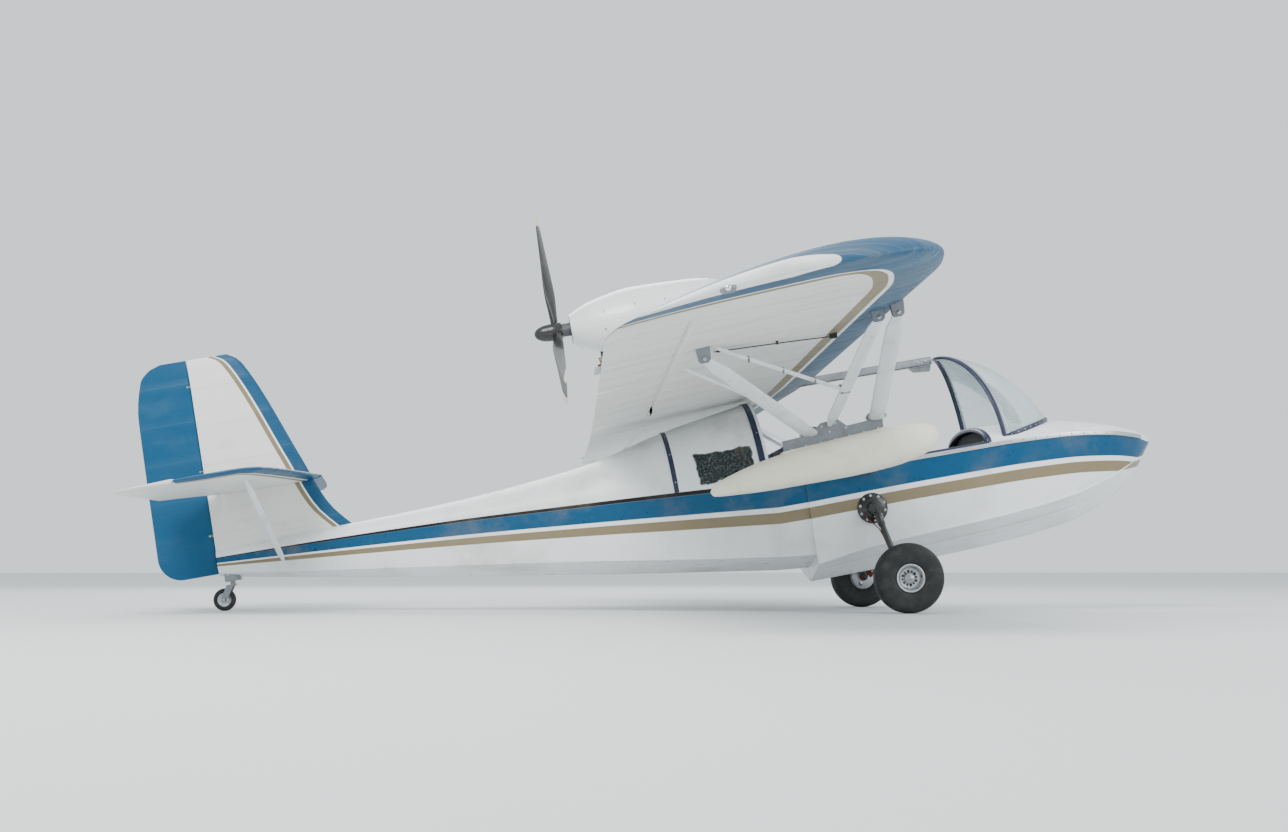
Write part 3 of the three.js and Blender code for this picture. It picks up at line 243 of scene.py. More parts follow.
def oval(wide: float, high: float, count: int, square: float = 1.0) -> Array:
    """A profile of cos and sin, each raised to a power that squares it off when under 1.

    Args:
        wide: half width.
        high: half height.
        count: number of points.
        square: the power.

    Returns:
        The profile, count by 2.
    """
    a = np.arange(count) * TAU / count
    pair = np.stack([np.cos(a), np.sin(a)], -1)
    return np.array([wide, high]) * np.sign(pair) * np.abs(pair) ** square


def sweep(
    path: Sequence[Point] | Array,
    profile: Array,
    scale: float | Array = 1.0,
    up: Place = UPWARD,
    finish: int = 0,
    ends: bool = True,
) -> Surface:
    """Carries a closed profile along a path.

    Point = path + side * profile_u + over * profile_v, where side is square to the path and to up,
    and over is square to the path and to side.

    Args:
        path: points in level axes.
        profile: count by 2.
        scale: size of the profile: one number, or for each path point one number or one per axis.
        up: a direction that the path never follows.
        finish: number of the finish.
        ends: fills both ends.

    Returns:
        The surface.
    """
    line = np.asarray(path, float)
    along = unit(np.gradient(line, axis=0))
    side = unit(np.cross(along, np.asarray(up, float)))
    over = np.cross(side, along)
    size = np.asarray(scale, float)
    size = np.broadcast_to(size[:, None] if size.ndim == 1 else size, (len(line), 2))
    u, v = (profile[None, :, k, None] * size[:, k, None, None] for k in (0, 1))
    points = line[:, None] + side[:, None] * u + over[:, None] * v
    return Surface(points, close_columns=True, ends=ends, finish=finish)


def bend(points: Sequence[Place] | Array, count: int = 24) -> Array:
    """A smooth path through points: each coordinate is a smooth curve of the distance walked.

    Args:
        points: the points in level axes.
        count: how many the path has.

    Returns:
        The path, count by 3.
    """
    p = np.asarray(points, float)
    walked = np.concatenate([[0], np.cumsum(np.linalg.norm(np.diff(p, axis=0), axis=1))])
    return smooth_columns(np.column_stack([walked, p]), np.linspace(0, walked[-1], count)).T


def rod(start: Place, end: Place, radius: float, count: int = 20, finish: int = 0) -> Surface:
    """A round bar with a small round-over at both ends.

    Args:
        start: one end.
        end: the other end.
        radius: its radius.
        count: points round it.
        finish: number of the finish.

    Returns:
        The surface.
    """
    along = np.asarray(end, float) - np.asarray(start, float)
    length = float(np.linalg.norm(along))
    edge = min(0.25 * radius, 0.3 * length)
    profile = [(0, radius - edge), (edge, radius), (length - edge, radius), (length, radius - edge)]
    return turned(profile, start, along, count, finish, ends=True)


def beside(axis: Array) -> tuple[Array, Array]:
    """Two directions square to an axis, or to each of several, and to one another."""
    helper = np.where(np.abs(axis[..., 2:]) < 0.9, np.array(UPWARD), np.array(AHEAD))
    first = unit(np.cross(axis, helper))
    return first, np.cross(axis, first)


def turned(
    profile: Sequence[tuple[float, float]] | Array,
    origin: Place,
    axis: Place = ACROSS,
    count: int = 48,
    finish: int = 0,
    closed: bool = False,
    ends: bool = False,
) -> Surface:
    """Turns a profile round an axis: point = origin + axis * along + (cos, sin) * radius.

    Args:
        profile: pairs of distance along the axis and radius.
        origin: a point on the axis, or one for each of several copies.
        axis: its direction, or one for each copy.
        count: points round it.
        finish: number of the finish.
        closed: the profile is a loop.
        ends: fills both ends.

    Returns:
        The surface, one grid for each copy.
    """
    rows, o = np.asarray(profile, float), np.asarray(origin, float)
    n = unit(np.broadcast_to(np.asarray(axis, float), o.shape))
    e1, e2 = beside(n)
    a = np.arange(count) * TAU / count
    ring = np.cos(a)[:, None] * e1[..., None, :] + np.sin(a)[:, None] * e2[..., None, :]
    along = o[..., None, None, :] + n[..., None, None, :] * rows[:, None, :1]
    points = along + ring[..., None, :, :] * rows[:, None, 1:]
    return Surface(points, close_rows=closed, close_columns=True, ends=ends, finish=finish)


def bolts(
    centres: Sequence[Place] | Array,
    axes: Place,
    radius: float,
    height: float,
    finish: int = 0,
    count: int = 6,
) -> Surface:
    """Bolt heads with a chamfer, each standing on its centre along its axis.

    Args:
        centres: points in level axes, number by 3.
        axes: one direction, or one for each bolt.
        radius: half its width over corners.
        height: how far it stands up.
        finish: number of the finish.
        count: corners, or more for a round head.

    Returns:
        The surface, one grid for each bolt.
    """
    rows = [(-0.002, radius), (0.75 * height, radius), (height, 0.78 * radius), (height, POLE)]
    return turned(rows, np.asarray(centres, float), axes, count, finish, ends=True)


def ring_of(
    count: int, radius: float, centre: Place, axis: Point = ACROSS, turn: float = 0.0
) -> Array:
    """Points spaced evenly on a circle round an axis.

    Args:
        count: how many.
        radius: the circle's radius.
        centre: its middle.
        axis: its axis.
        turn: angle of the first point, as a share of the spacing.

    Returns:
        The points, count by 3.
    """
    e1, e2 = beside(np.asarray(axis, float))
    a = (np.arange(count)[:, None] + turn) * TAU / count
    return np.asarray(centre, float) + radius * (np.cos(a) * e1 + np.sin(a) * e2)


def block(low: Place, high: Place, finish: int = 0) -> Surface:
    """A box between two corners, as one ring of four points carried along x."""
    (x0, y0, z0), (x1, y1, z1) = low, high
    return tube(xyz([[x0], [x1]], [y0, y1, y1, y0], [z0, z0, z1, z1]), finish=finish)


def plate(
    outline: Sequence[tuple[float, float]] | Array, y0: float, y1: float, finish: int = 0
) -> Surface:
    """A flat plate of an outline in x and z, from one y to another."""
    x, z = np.asarray(outline, float).T
    return tube(xyz(x, [[y0], [y1]], z), finish=finish)


class Edge(Enum):
    """From which angle a piece's corners stay sharp."""

    SOFT = math.radians(180)
    MOULDED = math.radians(50)
    CRISP = math.radians(28)


def put(name: str, data: Any) -> bpy.types.Object:
    """Makes an object of a mesh, a light or a camera, and links it to the scene."""
    made = bpy.data.objects.new(name, data)
    bpy.context.scene.collection.objects.link(made)
    return made


def new_mesh(
    name: str, surfaces: Sequence[Surface], edge: Edge = Edge.MOULDED
) -> bpy.types.Object:
    """Puts surfaces into one mesh, merges their seams and poles, and points its faces outwards.

    Args:
        name: the object's name.
        surfaces: what it is made of.
        edge: from which angle its corners stay sharp.

    Returns:
        The object, at the origin.
    """
    points, places, quads, caps, start = [], [], [], [], 0
    for surface in surfaces:
        grid, ends = surface.faces(start)
        quads.append((grid, surface.finish))
        caps.append((ends, surface.finish))
        points.append(surface.points.reshape(-1, 3))
        uv = FAR if surface.uv is None else surface.uv
        places.append(np.broadcast_to(uv, (*surface.points.shape[:-1], 2)).reshape(-1, 2))
        start += len(points[-1])
    groups = quads + caps
    faces = [face for group, _ in groups for face in group]
    finishes = np.repeat([finish for _, finish in groups], [len(group) for group, _ in groups])
    mesh = bpy.data.meshes.new(name)
    mesh.from_pydata(Placement.frame(np.concatenate(points)).tolist(), [], faces)
    loops = np.zeros(len(mesh.loops), np.int32)
    mesh.loops.foreach_get("vertex_index", loops)
    layer = mesh.uv_layers.new(name=SKIN_MAP)
    layer.data.foreach_set("uv", np.concatenate(places)[loops].astype(np.float32).ravel())
    mesh.polygons.foreach_set("material_index", finishes.astype(np.int32))
    work = bmesh.new()
    work.from_mesh(mesh)
    bmesh.ops.remove_doubles(work, verts=work.verts, dist=2e-5)
    bmesh.ops.recalc_face_normals(work, faces=work.faces)
    work.to_mesh(mesh)
    work.free()
    shade(mesh, edge)
    return put(name, mesh)


def shade(mesh: bpy.types.Mesh, edge: Edge) -> None:
    """Shades a mesh smooth, with its corners sharp from the given angle."""
    mesh.polygons.foreach_set("use_smooth", np.ones(len(mesh.polygons), bool))
    mesh.set_sharp_from_angle(angle=edge.value)
    mesh.update()


def bake(piece: bpy.types.Object) -> None:
    """Applies a piece's modifiers to its mesh."""
    bpy.context.view_layer.update()
    evaluated = piece.evaluated_get(bpy.context.evaluated_depsgraph_get())
    made = bpy.data.meshes.new_from_object(evaluated)
    piece.modifiers.clear()
    old, piece.data = piece.data, made
    bpy.data.meshes.remove(old)


def carve(piece: bpy.types.Object, cutters: Sequence[Surface], edge: Edge) -> None:
    """Cuts closed surfaces out of a piece, which keeps the finish numbers of both.

    Args:
        piece: the object, with its materials on it.
        cutters: closed surfaces.
        edge: from which angle its corners stay sharp.
    """
    tool = new_mesh("cutter", cutters)
    for material in piece.data.materials:
        tool.data.materials.append(material)
    cut = piece.modifiers.new("cut", "BOOLEAN")
    cut.operation, cut.solver, cut.object = "DIFFERENCE", "EXACT", tool
    cut.material_mode = "INDEX"
    bake(piece)
    bpy.data.objects.remove(tool)
    shade(piece.data, edge)


def get_points(mesh: bpy.types.Mesh) -> Array:
    """The vertices of a mesh, number by 3."""
    flat = np.zeros(len(mesh.vertices) * 3)
    mesh.vertices.foreach_get("co", flat)
    return flat.reshape(-1, 3)


def set_points(mesh: bpy.types.Mesh, points: Array) -> None:
    """Moves the vertices of a mesh."""
    mesh.vertices.foreach_set("co", points.astype(np.float32).ravel())
    mesh.update()


# ---------------------------------------------------------------------------------------------
# Finishes
# ---------------------------------------------------------------------------------------------
class Value:
    """A shader socket that does sums: each operator adds one Math node."""

    def __init__(self, shader: Shader, socket: bpy.types.NodeSocket) -> None:
        """Wraps an output socket of a shader's node."""
        self.shader, self.socket = shader, socket

    def _sum(self, operation: str, *terms: Any) -> Value:
        """Adds a Math node with the given operation on its terms."""
        return self.shader.node("ShaderNodeMath", {"operation": operation}, dict(enumerate(terms)))

    def __add__(self, other: Any) -> Value:
        """Self plus other."""
        return self._sum("ADD", self, other)

    __radd__ = __add__

    def __sub__(self, other: Any) -> Value:
        """Self minus other."""
        return self._sum("SUBTRACT", self, other)

    def __rsub__(self, other: Any) -> Value:
        """Other minus self."""
        return self._sum("SUBTRACT", other, self)

    def __mul__(self, other: Any) -> Value:
        """Self times other."""
        return self._sum("MULTIPLY", self, other)

    __rmul__ = __mul__

    def __abs__(self) -> Value:
        """Self without its sign."""
        return self._sum("ABSOLUTE", self)

    def rise(self, low: float, high: float) -> Value:
        """0 below low, 1 above high and smooth between them. With low above high it falls."""
        settings = {"interpolation_type": "SMOOTHSTEP", "clamp": True}
        sockets = {0: self, 1: low, 2: high, 3: 0.0, 4: 1.0}
        return self.shader.node("ShaderNodeMapRange", settings, sockets)

    def band(self, low: float, high: float, soft: float = 0.0015) -> Value:
        """1 between low and high, with soft edges, and 0 elsewhere."""
        return self.rise(low - soft, low + soft) * self.rise(high + soft, high - soft)

    def wrap(self, step: float) -> Value:
        """How far self is past the last multiple of step."""
        return self._sum("FLOORED_MODULO", self, step)

    def wave(self) -> Value:
        """The sine of self."""
        return self._sum("SINE", self)

    def top(self, other: Any) -> Value:
        """The larger of two values."""
        return self._sum("MAXIMUM", self, other)


class Shader:
    """Builds the nodes of one material."""

    def __init__(self, name: str) -> None:
        """Starts an empty material of that name."""
        self.material = bpy.data.materials.new(name)
        self.material.use_nodes = True
        self.tree = self.material.node_tree
        self.tree.nodes.clear()

    def node(
        self,
        kind: str,
        settings: dict[str, Any] | None = None,
        sockets: dict[Any, Any] | None = None,
        out: Any = 0,
    ) -> Value:
        """Adds any node.

        Args:
            kind: Blender's name of the node type.
            settings: its settings, which are set first.
            sockets: values or links by the input's name or number.
            out: name or number of the output that is wanted.

        Returns:
            That output.
        """
        made = self.tree.nodes.new(kind)
        for key, value in (settings or {}).items():
            setattr(made, key, value)
        for key, value in (sockets or {}).items():
            if isinstance(value, Value):
                self.tree.links.new(value.socket, made.inputs[key])
            elif made.inputs[key].type == "RGBA":
                made.inputs[key].default_value = (*value, 1.0)
            else:
                made.inputs[key].default_value = value
        return Value(self, made.outputs[out])

    def place(self, scale: Point = (1, 1, 1)) -> Value:
        """The point on the surface in level axes, each axis times its scale."""
        at = self.node("ShaderNodeTexCoord", out="Object")
        back = {0: at, 1: tuple(-Placement.shift)}
        at = self.node("ShaderNodeVectorMath", {"operation": "ADD"}, back)
        level = {"Vector": at, "Rotation": (0.0, Placement.nose_up, 0.0)}
        at = self.node("ShaderNodeMapping", {"vector_type": "POINT"}, level)
        return self.node("ShaderNodeVectorMath", {"operation": "MULTIPLY"}, {0: at, 1: scale})

    def skin(self) -> list[Value]:
        """The two numbers of the place in the skin map."""
        return self.split(self.node("ShaderNodeUVMap", {"uv_map": SKIN_MAP}))[:2]

    def split(self, vector: Value) -> list[Value]:
        """The three numbers of a vector."""
        made = self.node("ShaderNodeSeparateXYZ", sockets={0: vector}).socket.node
        return [Value(self, made.outputs[k]) for k in range(3)]

    def noise(self, at: Value, scale: float, detail: float = 4.0, rough: float = 0.55) -> Value:
        """Cloudy noise from 0 to 1."""
        sockets = {"Vector": at, "Scale": scale, "Detail": detail, "Roughness": rough}
        return self.node("ShaderNodeTexNoise", {"normalize": True}, sockets)

    def streaks(self, scale: Point, detail: float, rough: float, low: float, high: float) -> Value:
        """Noise drawn out along the level axes, and made to rise between two of its values.

        Args:
            scale: patches per metre along each axis.
            detail: how many finer layers it has.
            rough: how much the finer layers show.
            low: where it begins to show.
            high: where it shows in full.

        Returns:
            The share of streaks, from 0 to 1.
        """
        return self.noise(self.place(scale), 1.0, detail, rough).rise(low, high)

    def mix(self, a: Any, b: Any, share: Any) -> Value:
        """Colour a where share is 0 and b where it is 1."""
        settings = {"data_type": "RGBA", "clamp_factor": True}
        return self.node("ShaderNodeMix", settings, {0: share, 6: a, 7: b}, 2)

    def layers(self, colour: Any, where: Value, stripes: Stripes, soft: float = 0.0015) -> Any:
        """Lays stripes over a colour, each from its first to its second value of where."""
        for near, far, stripe in stripes:
            colour = self.mix(colour, stripe, where.band(near, far, soft))
        return colour

    def bump(self, height: Value, depth: float) -> Value:
        """A normal that shows a height from 0 to 1 as that depth in metres."""
        return self.node("ShaderNodeBump", None, {"Height": height, "Distance": depth})

    def surface(self, sockets: dict[str, Any]) -> bpy.types.Material:
        """Ends the material with one principled surface of these inputs."""
        return self.finished(self.node("ShaderNodeBsdfPrincipled", None, sockets))

    def finished(self, shaded: Value) -> bpy.types.Material:
        """Links a shader to the material's output and returns the material."""
        end = self.tree.nodes.new("ShaderNodeOutputMaterial")
        self.tree.links.new(shaded.socket, end.inputs["Surface"])
        return self.material


def screen(r: float, g: float, b: float) -> Colour:
    """A colour from its 0 to 255 screen values."""
    return tuple(float(((v / 255 + 0.055) / 1.055) ** 2.4) for v in (r, g, b))


GREY_WHITE = screen(232, 235, 237)
FABRIC_WHITE = screen(226, 227, 224)
PIN_WHITE = screen(240, 242, 243)
BLUE = screen(0, 74, 112)
TAN = screen(130, 118, 92)
NAVY = screen(20, 30, 62)
JET = screen(17, 18, 20)
GRIME = screen(112, 103, 88)
SILT = screen(140, 131, 112)
WASHED_DIRT = screen(138, 131, 111)
FADED = screen(170, 204, 214)
PATCH_DARK = screen(34, 42, 44)
PATCH_WORN = screen(104, 112, 110)
TREAD_DUST = (0.045, 0.045, 0.044)


@dataclass(frozen=True)
class Paint:
    """Painted, moulded or bare surfaces with cloudy wear, fine specks and a light grain.

    Attributes:
        name: the material's name.
        colour: main colour.
        roughness: middle roughness.
        metallic: 1 for bare metal.
        wear: how far the colour wanders towards the worn colour, 0 to 1.
        worn: colour of dirt, rust or scuffs.
        scale: size of the clouds, in clouds per metre.
        grain: depth of the fine grain, in metres.
        grain_scale: grains per metre.
        specks: share of the surface with dark specks.
        coat: clear coat.
        shine: strength of the paint's own reflection.
    """

    name: str
    colour: Colour
    roughness: float = 0.4
    metallic: float = 0.0
    wear: float = 0.35
    worn: Colour = (0.22, 0.19, 0.15)
    scale: float = 5.0
    grain: float = 0.0002
    grain_scale: float = 220.0
    specks: float = 0.25
    coat: float = 0.0
    shine: float = 0.5

    def tint(self, s: Shader) -> Any:
        """The colour before it wears."""
        return self.colour

    def height(self, s: Shader, at: Value) -> Value:
        """The fine height that the bump shows."""
        return s.noise(at, self.grain_scale, 3)

    def material(self) -> bpy.types.Material:
        """Builds the material: the worn share of clouds and specks changes colour and roughness."""
        s = Shader(self.name)
        at = s.place()
        worn = s.noise(at, self.scale, 7, 0.62).rise(0.46, 0.78) * self.wear
        fleck = s.noise(at, self.scale * 22, 2).rise(0.70 - 0.12 * self.specks, 0.74)
        share = worn.top(fleck * self.specks)
        rough = s.noise(at, self.scale * 6, 5) * 0.22 + (self.roughness - 0.11) + share * 0.25
        return s.surface(
            {
                "Base Color": s.mix(self.tint(s), self.worn, share),
                "Roughness": rough,
                "Metallic": self.metallic,
                "Specular IOR Level": self.shine,
                "Coat Weight": self.coat,
                "Coat Roughness": 0.12,
                "Normal": s.bump(self.height(s, at), self.grain),
            }
        )


@dataclass(frozen=True)
class Brushed(Paint):
    """Bare alloy with fine lines drawn along x."""

    def height(self, s: Shader, at: Value) -> Value:
        """Long fine lines."""
        return s.noise(s.place((6, 260, 260)), 1.0, 4)


@dataclass(frozen=True)
class HullPaint(Paint):
    """White hull side with its stripes, each at its distance below the sheer.

    The skin map holds x and that distance.
    """

    stripes: Stripes = ()

    def tint(self, s: Shader) -> Any:
        """Lays each stripe over the last colour, from its top to its bottom distance."""
        _, below = s.skin()
        return s.layers(self.colour, below, self.stripes)


@dataclass(frozen=True)
class RearPaint(HullPaint):
    """The rear body's paint, with a dark non-skid patch on each shoulder behind the cabin."""

    patch: tuple[float, float, float, float] = (-1.17, -0.80, -0.27, -0.04)

    def tint(self, s: Shader) -> Any:
        """Lays the mottled patch over the stripes, with ragged edges."""
        x, below = s.skin()
        at = s.place()
        ragged = s.noise(at, 9, 5, 0.6) * 0.08 - 0.04
        back, front, top, bottom = self.patch
        edge = 0.006
        inside = (x + ragged).band(back, front, edge) * (below + ragged).band(top, bottom, edge)
        mottled = s.mix(PATCH_DARK, PATCH_WORN, s.noise(at, 70, 6, 0.7).rise(0.46, 0.72))
        return s.mix(super().tint(s), mottled, inside)


@dataclass(frozen=True)
class WingFabric(Paint):
    """Doped fabric over ribs, with striped edges and dirt washed back along the chord.

    The skin map holds the span position and the distance inside the striped edge.

    Attributes:
        stripes: each by its nearest and furthest distance inside the edge, with its colour.
        rib_step: from one rib to the next.
        dirt: strength of the washed dirt and mould.
        cap: span position past which the tip is white again, or 0 where there is no such tip. It
            lies further out near the front.
    """

    stripes: Stripes = ()
    rib_step: float = 0.38
    dirt: float = 0.5
    cap: float = 0.0

    def tip(self, s: Shader, colour: Any, at: Value, span: Value, inside: Value) -> Any:
        """Fades the outer stripe, then lays the white tip with a grimy joint over it.

        Args:
            s: the material's shader.
            colour: the striped colour.
            at: the point in level axes.
            span: the span position.
            inside: the distance inside the striped edge.

        Returns:
            The colour with its tip.
        """
        faded = s.streaks((1.7, 85, 5), 7, 0.66, 0.50, 0.72) * s.noise(at, 2.6, 3).rise(0.38, 0.66)
        edge = self.stripes[0][1]
        colour = s.mix(colour, FADED, faded * inside.rise(edge + 0.002, edge) * 0.5)
        ahead = s.split(at)[0] + 1.02
        past = abs(span) - (ahead.top(0.0) * 0.30 + self.cap)
        joint = past.band(-0.0075, -0.0045, 0.0008) * ahead.rise(0.20, 0.10)
        mapped = inside.rise(4.0, 3.0)
        colour = s.mix(colour, GRIME, joint * mapped)
        return s.mix(colour, PIN_WHITE, past.rise(-0.001, 0.001) * mapped)

    def material(self) -> bpy.types.Material:
        """Builds the material: tape and a low crest on each rib, streaks of dirt, mould, weave."""
        s = Shader(self.name)
        at = s.place()
        span, inside = s.skin()
        colour = s.layers(self.colour, inside, self.stripes, 0.002)
        if self.cap:
            colour = self.tip(s, colour, at, span, inside)
        half = self.rib_step / 2
        rib = abs((abs(span) + half).wrap(self.rib_step) - half)
        tape, crest = rib.rise(0.026, 0.023), rib.rise(0.07, 0.0)
        fine = s.streaks((1.5, 62, 5), 7, 0.65, 0.48, 0.68) * s.noise(at, 2.1, 3).rise(0.30, 0.58)
        broad = s.streaks((0.8, 7, 2), 5, 0.6, 0.44, 0.74) * 0.5
        mould = s.streaks((9, 12, 12), 8, 0.7, 0.58, 0.76) * s.noise(at, 0.9, 2).rise(0.46, 0.62)
        share = fine.top(broad).top(mould) * self.dirt
        seams = rib.band(0.022, 0.027, 0.001) * 0.14
        weave = s.noise(at, 900, 2) * 0.25
        return s.surface(
            {
                "Base Color": s.mix(colour, self.worn, share.top(seams)),
                "Roughness": share * 0.3 + s.noise(at, 9, 4) * 0.14 + (self.roughness - 0.07),
                "Specular IOR Level": self.shine,
                "Coat Weight": self.coat,
                "Normal": s.bump(crest * 4 + tape * 0.35 + weave, 0.0009),
            }
        )


@dataclass(frozen=True)
class Cloth(Paint):
    """Woven seat cloth."""

    threads: float = 900.0

    def height(self, s: Shader, at: Value) -> Value:
        """Two crossed sets of threads, each a sine."""
        x, y, z = s.split(at)
        return ((x + z) * self.threads).wave() * (y * self.threads).wave() * 0.5 + 0.5


@dataclass(frozen=True)
class TyreRubber(Paint):
    """Black rubber with patches of dust."""

    def tint(self, s: Shader) -> Any:
        """The colour, greyed in patches."""
        return s.mix(self.colour, TREAD_DUST, s.noise(s.place(), 14, 5).rise(0.4, 0.75) * 0.5)


@dataclass(frozen=True)
class Glazing:
    """Clear plastic sheet with a little haze, dirt and its gloss."""

    name: str = "clear_sheet"
    tint: Colour = (0.90, 0.95, 0.95)
    gloss: Colour = (0.86, 0.9, 0.92)
    haze: float = 0.10

    def material(self) -> bpy.types.Material:
        """Mixes a see-through shader with a glossy one by Fresnel, streaks and haze."""
        s = Shader(self.name)
        rough = s.noise(s.place(), 30, 3) * 0.08 + 0.03
        glossy = {"Base Color": self.gloss, "Roughness": rough, "Coat Weight": 0.6}
        clear = s.node("ShaderNodeBsdfTransparent", None, {"Color": self.tint})
        shaded = s.node("ShaderNodeBsdfPrincipled", None, glossy)
        mirror = s.node("ShaderNodeFresnel", None, {"IOR": 1.49}) * 0.8
        share = mirror + s.streaks((4, 40, 6), 5, 0.55, 0.5, 0.8) * 0.22 + self.haze
        return s.finished(s.node("ShaderNodeMixShader", None, {0: share, 1: clear, 2: shaded}))


HULL_STRIPES = ((0.030, 0.172, BLUE), (0.172, 0.206, PIN_WHITE), (0.206, 0.280, TAN))
WING_STRIPES = ((-0.50, 0.235, BLUE), (0.235, 0.259, PIN_WHITE), (0.259, 0.330, TAN))
TAIL_STRIPES = ((-0.50, 0.085, BLUE), (0.085, 0.097, PIN_WHITE), (0.097, 0.128, TAN))
JOINT_STRIPE = (0.0, 0.030, JET)

HULL_SIDE = HullPaint(
    "hull_side", GREY_WHITE, 0.30, wear=0.24, worn=SILT, scale=2.6, coat=0.08, shine=0.22,
    specks=0.06, stripes=HULL_STRIPES,
)
REAR_SIDE = RearPaint(
    "rear_side", GREY_WHITE, 0.30, wear=0.42, worn=SILT, scale=2.2, coat=0.08, shine=0.22,
    specks=0.06, stripes=(JOINT_STRIPE, *HULL_STRIPES),
)
GELCOAT = Paint(
    "gelcoat", GREY_WHITE, 0.28, wear=0.22, worn=SILT, scale=3.2, coat=0.3, specks=0.1
)
COCKPIT_LINER = Paint(
    "cockpit_liner", screen(34, 41, 58), 0.62, worn=screen(70, 74, 82), scale=7, specks=0.1
)
FABRIC = WingFabric(
    "wing_fabric", FABRIC_WHITE, 0.42, worn=WASHED_DIRT, dirt=0.46, shine=0.3,
    stripes=WING_STRIPES, cap=4.655,
)
TAIL_FABRIC = WingFabric(
    "tail_fabric", FABRIC_WHITE, 0.42, worn=GRIME, shine=0.3, stripes=TAIL_STRIPES,
    rib_step=0.26, dirt=0.18,
)
SURFACE_FABRIC = WingFabric(
    "surface_fabric", FABRIC_WHITE, 0.42, worn=WASHED_DIRT, rib_step=0.33, dirt=0.40
)
BLUE_FABRIC = WingFabric(
    "blue_fabric", BLUE, 0.36, worn=screen(60, 100, 125), rib_step=0.26, dirt=0.25, shine=0.25
)
STRUT_WHITE = Paint(
    "strut_white", screen(228, 232, 235), 0.32, worn=screen(150, 146, 136), scale=6, coat=0.2,
    specks=0.35,
)
FLOAT_CREAM = Paint(
    "float_cream", screen(240, 235, 218), 0.46, wear=0.42, worn=screen(200, 190, 164), scale=7,
    grain=0.0007, grain_scale=70,
)
CHANNEL_GREY = Brushed(
    "channel_grey", screen(134, 139, 144), 0.42, 0.75, 0.5, screen(88, 86, 82), 11, specks=0.4
)
POLISHED = Brushed(
    "polished_alloy", screen(198, 201, 204), 0.27, 0.95, 0.3, screen(120, 118, 112), 9
)
BOLT_STEEL = Paint(
    "bolt_steel", screen(176, 179, 182), 0.3, 0.95, 0.4, screen(96, 80, 64), 60, 0.0001
)
RIM_ALLOY = Paint(
    "rim_alloy", screen(196, 199, 202), 0.38, 0.72, 0.8, screen(84, 83, 80), 24, 0.0004,
    specks=0.6,
)
BLACK_PAINT = Paint(
    "black_paint", JET, 0.32, wear=0.4, worn=screen(64, 62, 58), scale=12, coat=0.3, specks=0.2
)
RUST = Paint(
    "rusty_iron", screen(112, 54, 38), 0.72, 0.25, 0.8, screen(62, 38, 30), 34, 0.0012, 160
)
RUBBER = TyreRubber(
    "tyre_rubber", screen(24, 25, 27), 0.62, 0.0, 0.3, screen(84, 82, 76), 16, 0.0004, 420
)
NAVY_TRIM = Paint("navy_trim", NAVY, 0.4, worn=screen(74, 82, 104), scale=16, coat=0.2)
SEAT_CLOTH = Cloth(
    "seat_cloth", screen(52, 64, 84), 0.88, 0.0, 0.4, screen(96, 104, 116), 9, 0.0005
)
DIAL_FACE = Paint("dial_face", screen(10, 11, 12), 0.5, 0.0, 0.1, screen(50, 50, 50), 60, specks=0)
DIAL_MARK = Paint(
    "dial_mark", screen(238, 238, 230), 0.6, 0.0, 0.2, screen(190, 188, 170), 80, specks=0
)
PANEL_DARK = Paint(
    "panel_dark", screen(32, 34, 38), 0.66, 0.0, 0.3, screen(72, 74, 76), 20, 0.0004, 600
)
ENGINE_GREY = Paint(
    "engine_grey", screen(92, 95, 98), 0.5, 0.6, 0.7, screen(52, 46, 40), 14, 0.0008
)
EXHAUST = Paint("exhaust_pipe", screen(126, 104, 84), 0.5, 0.7, 0.8, screen(74, 50, 38), 18)
BLADE = Paint("blade_black", screen(20, 21, 23), 0.34, worn=screen(80, 80, 78), scale=10, coat=0.35)
BLADE_TIP = Paint("blade_tip", screen(228, 222, 206), 0.4, 0.0, 0.5, screen(120, 112, 98), 24)
CHROME = Paint(
    "chrome_dome", screen(222, 226, 228), 0.12, 0.9, 0.25, screen(140, 140, 138), 50, 0.00005
)
CHIPPED = Paint(
    "chipped_edge", screen(206, 198, 182), 0.7, 0.0, 0.95, screen(150, 92, 48), 30, 0.0025, 90,
    specks=0.9,
)


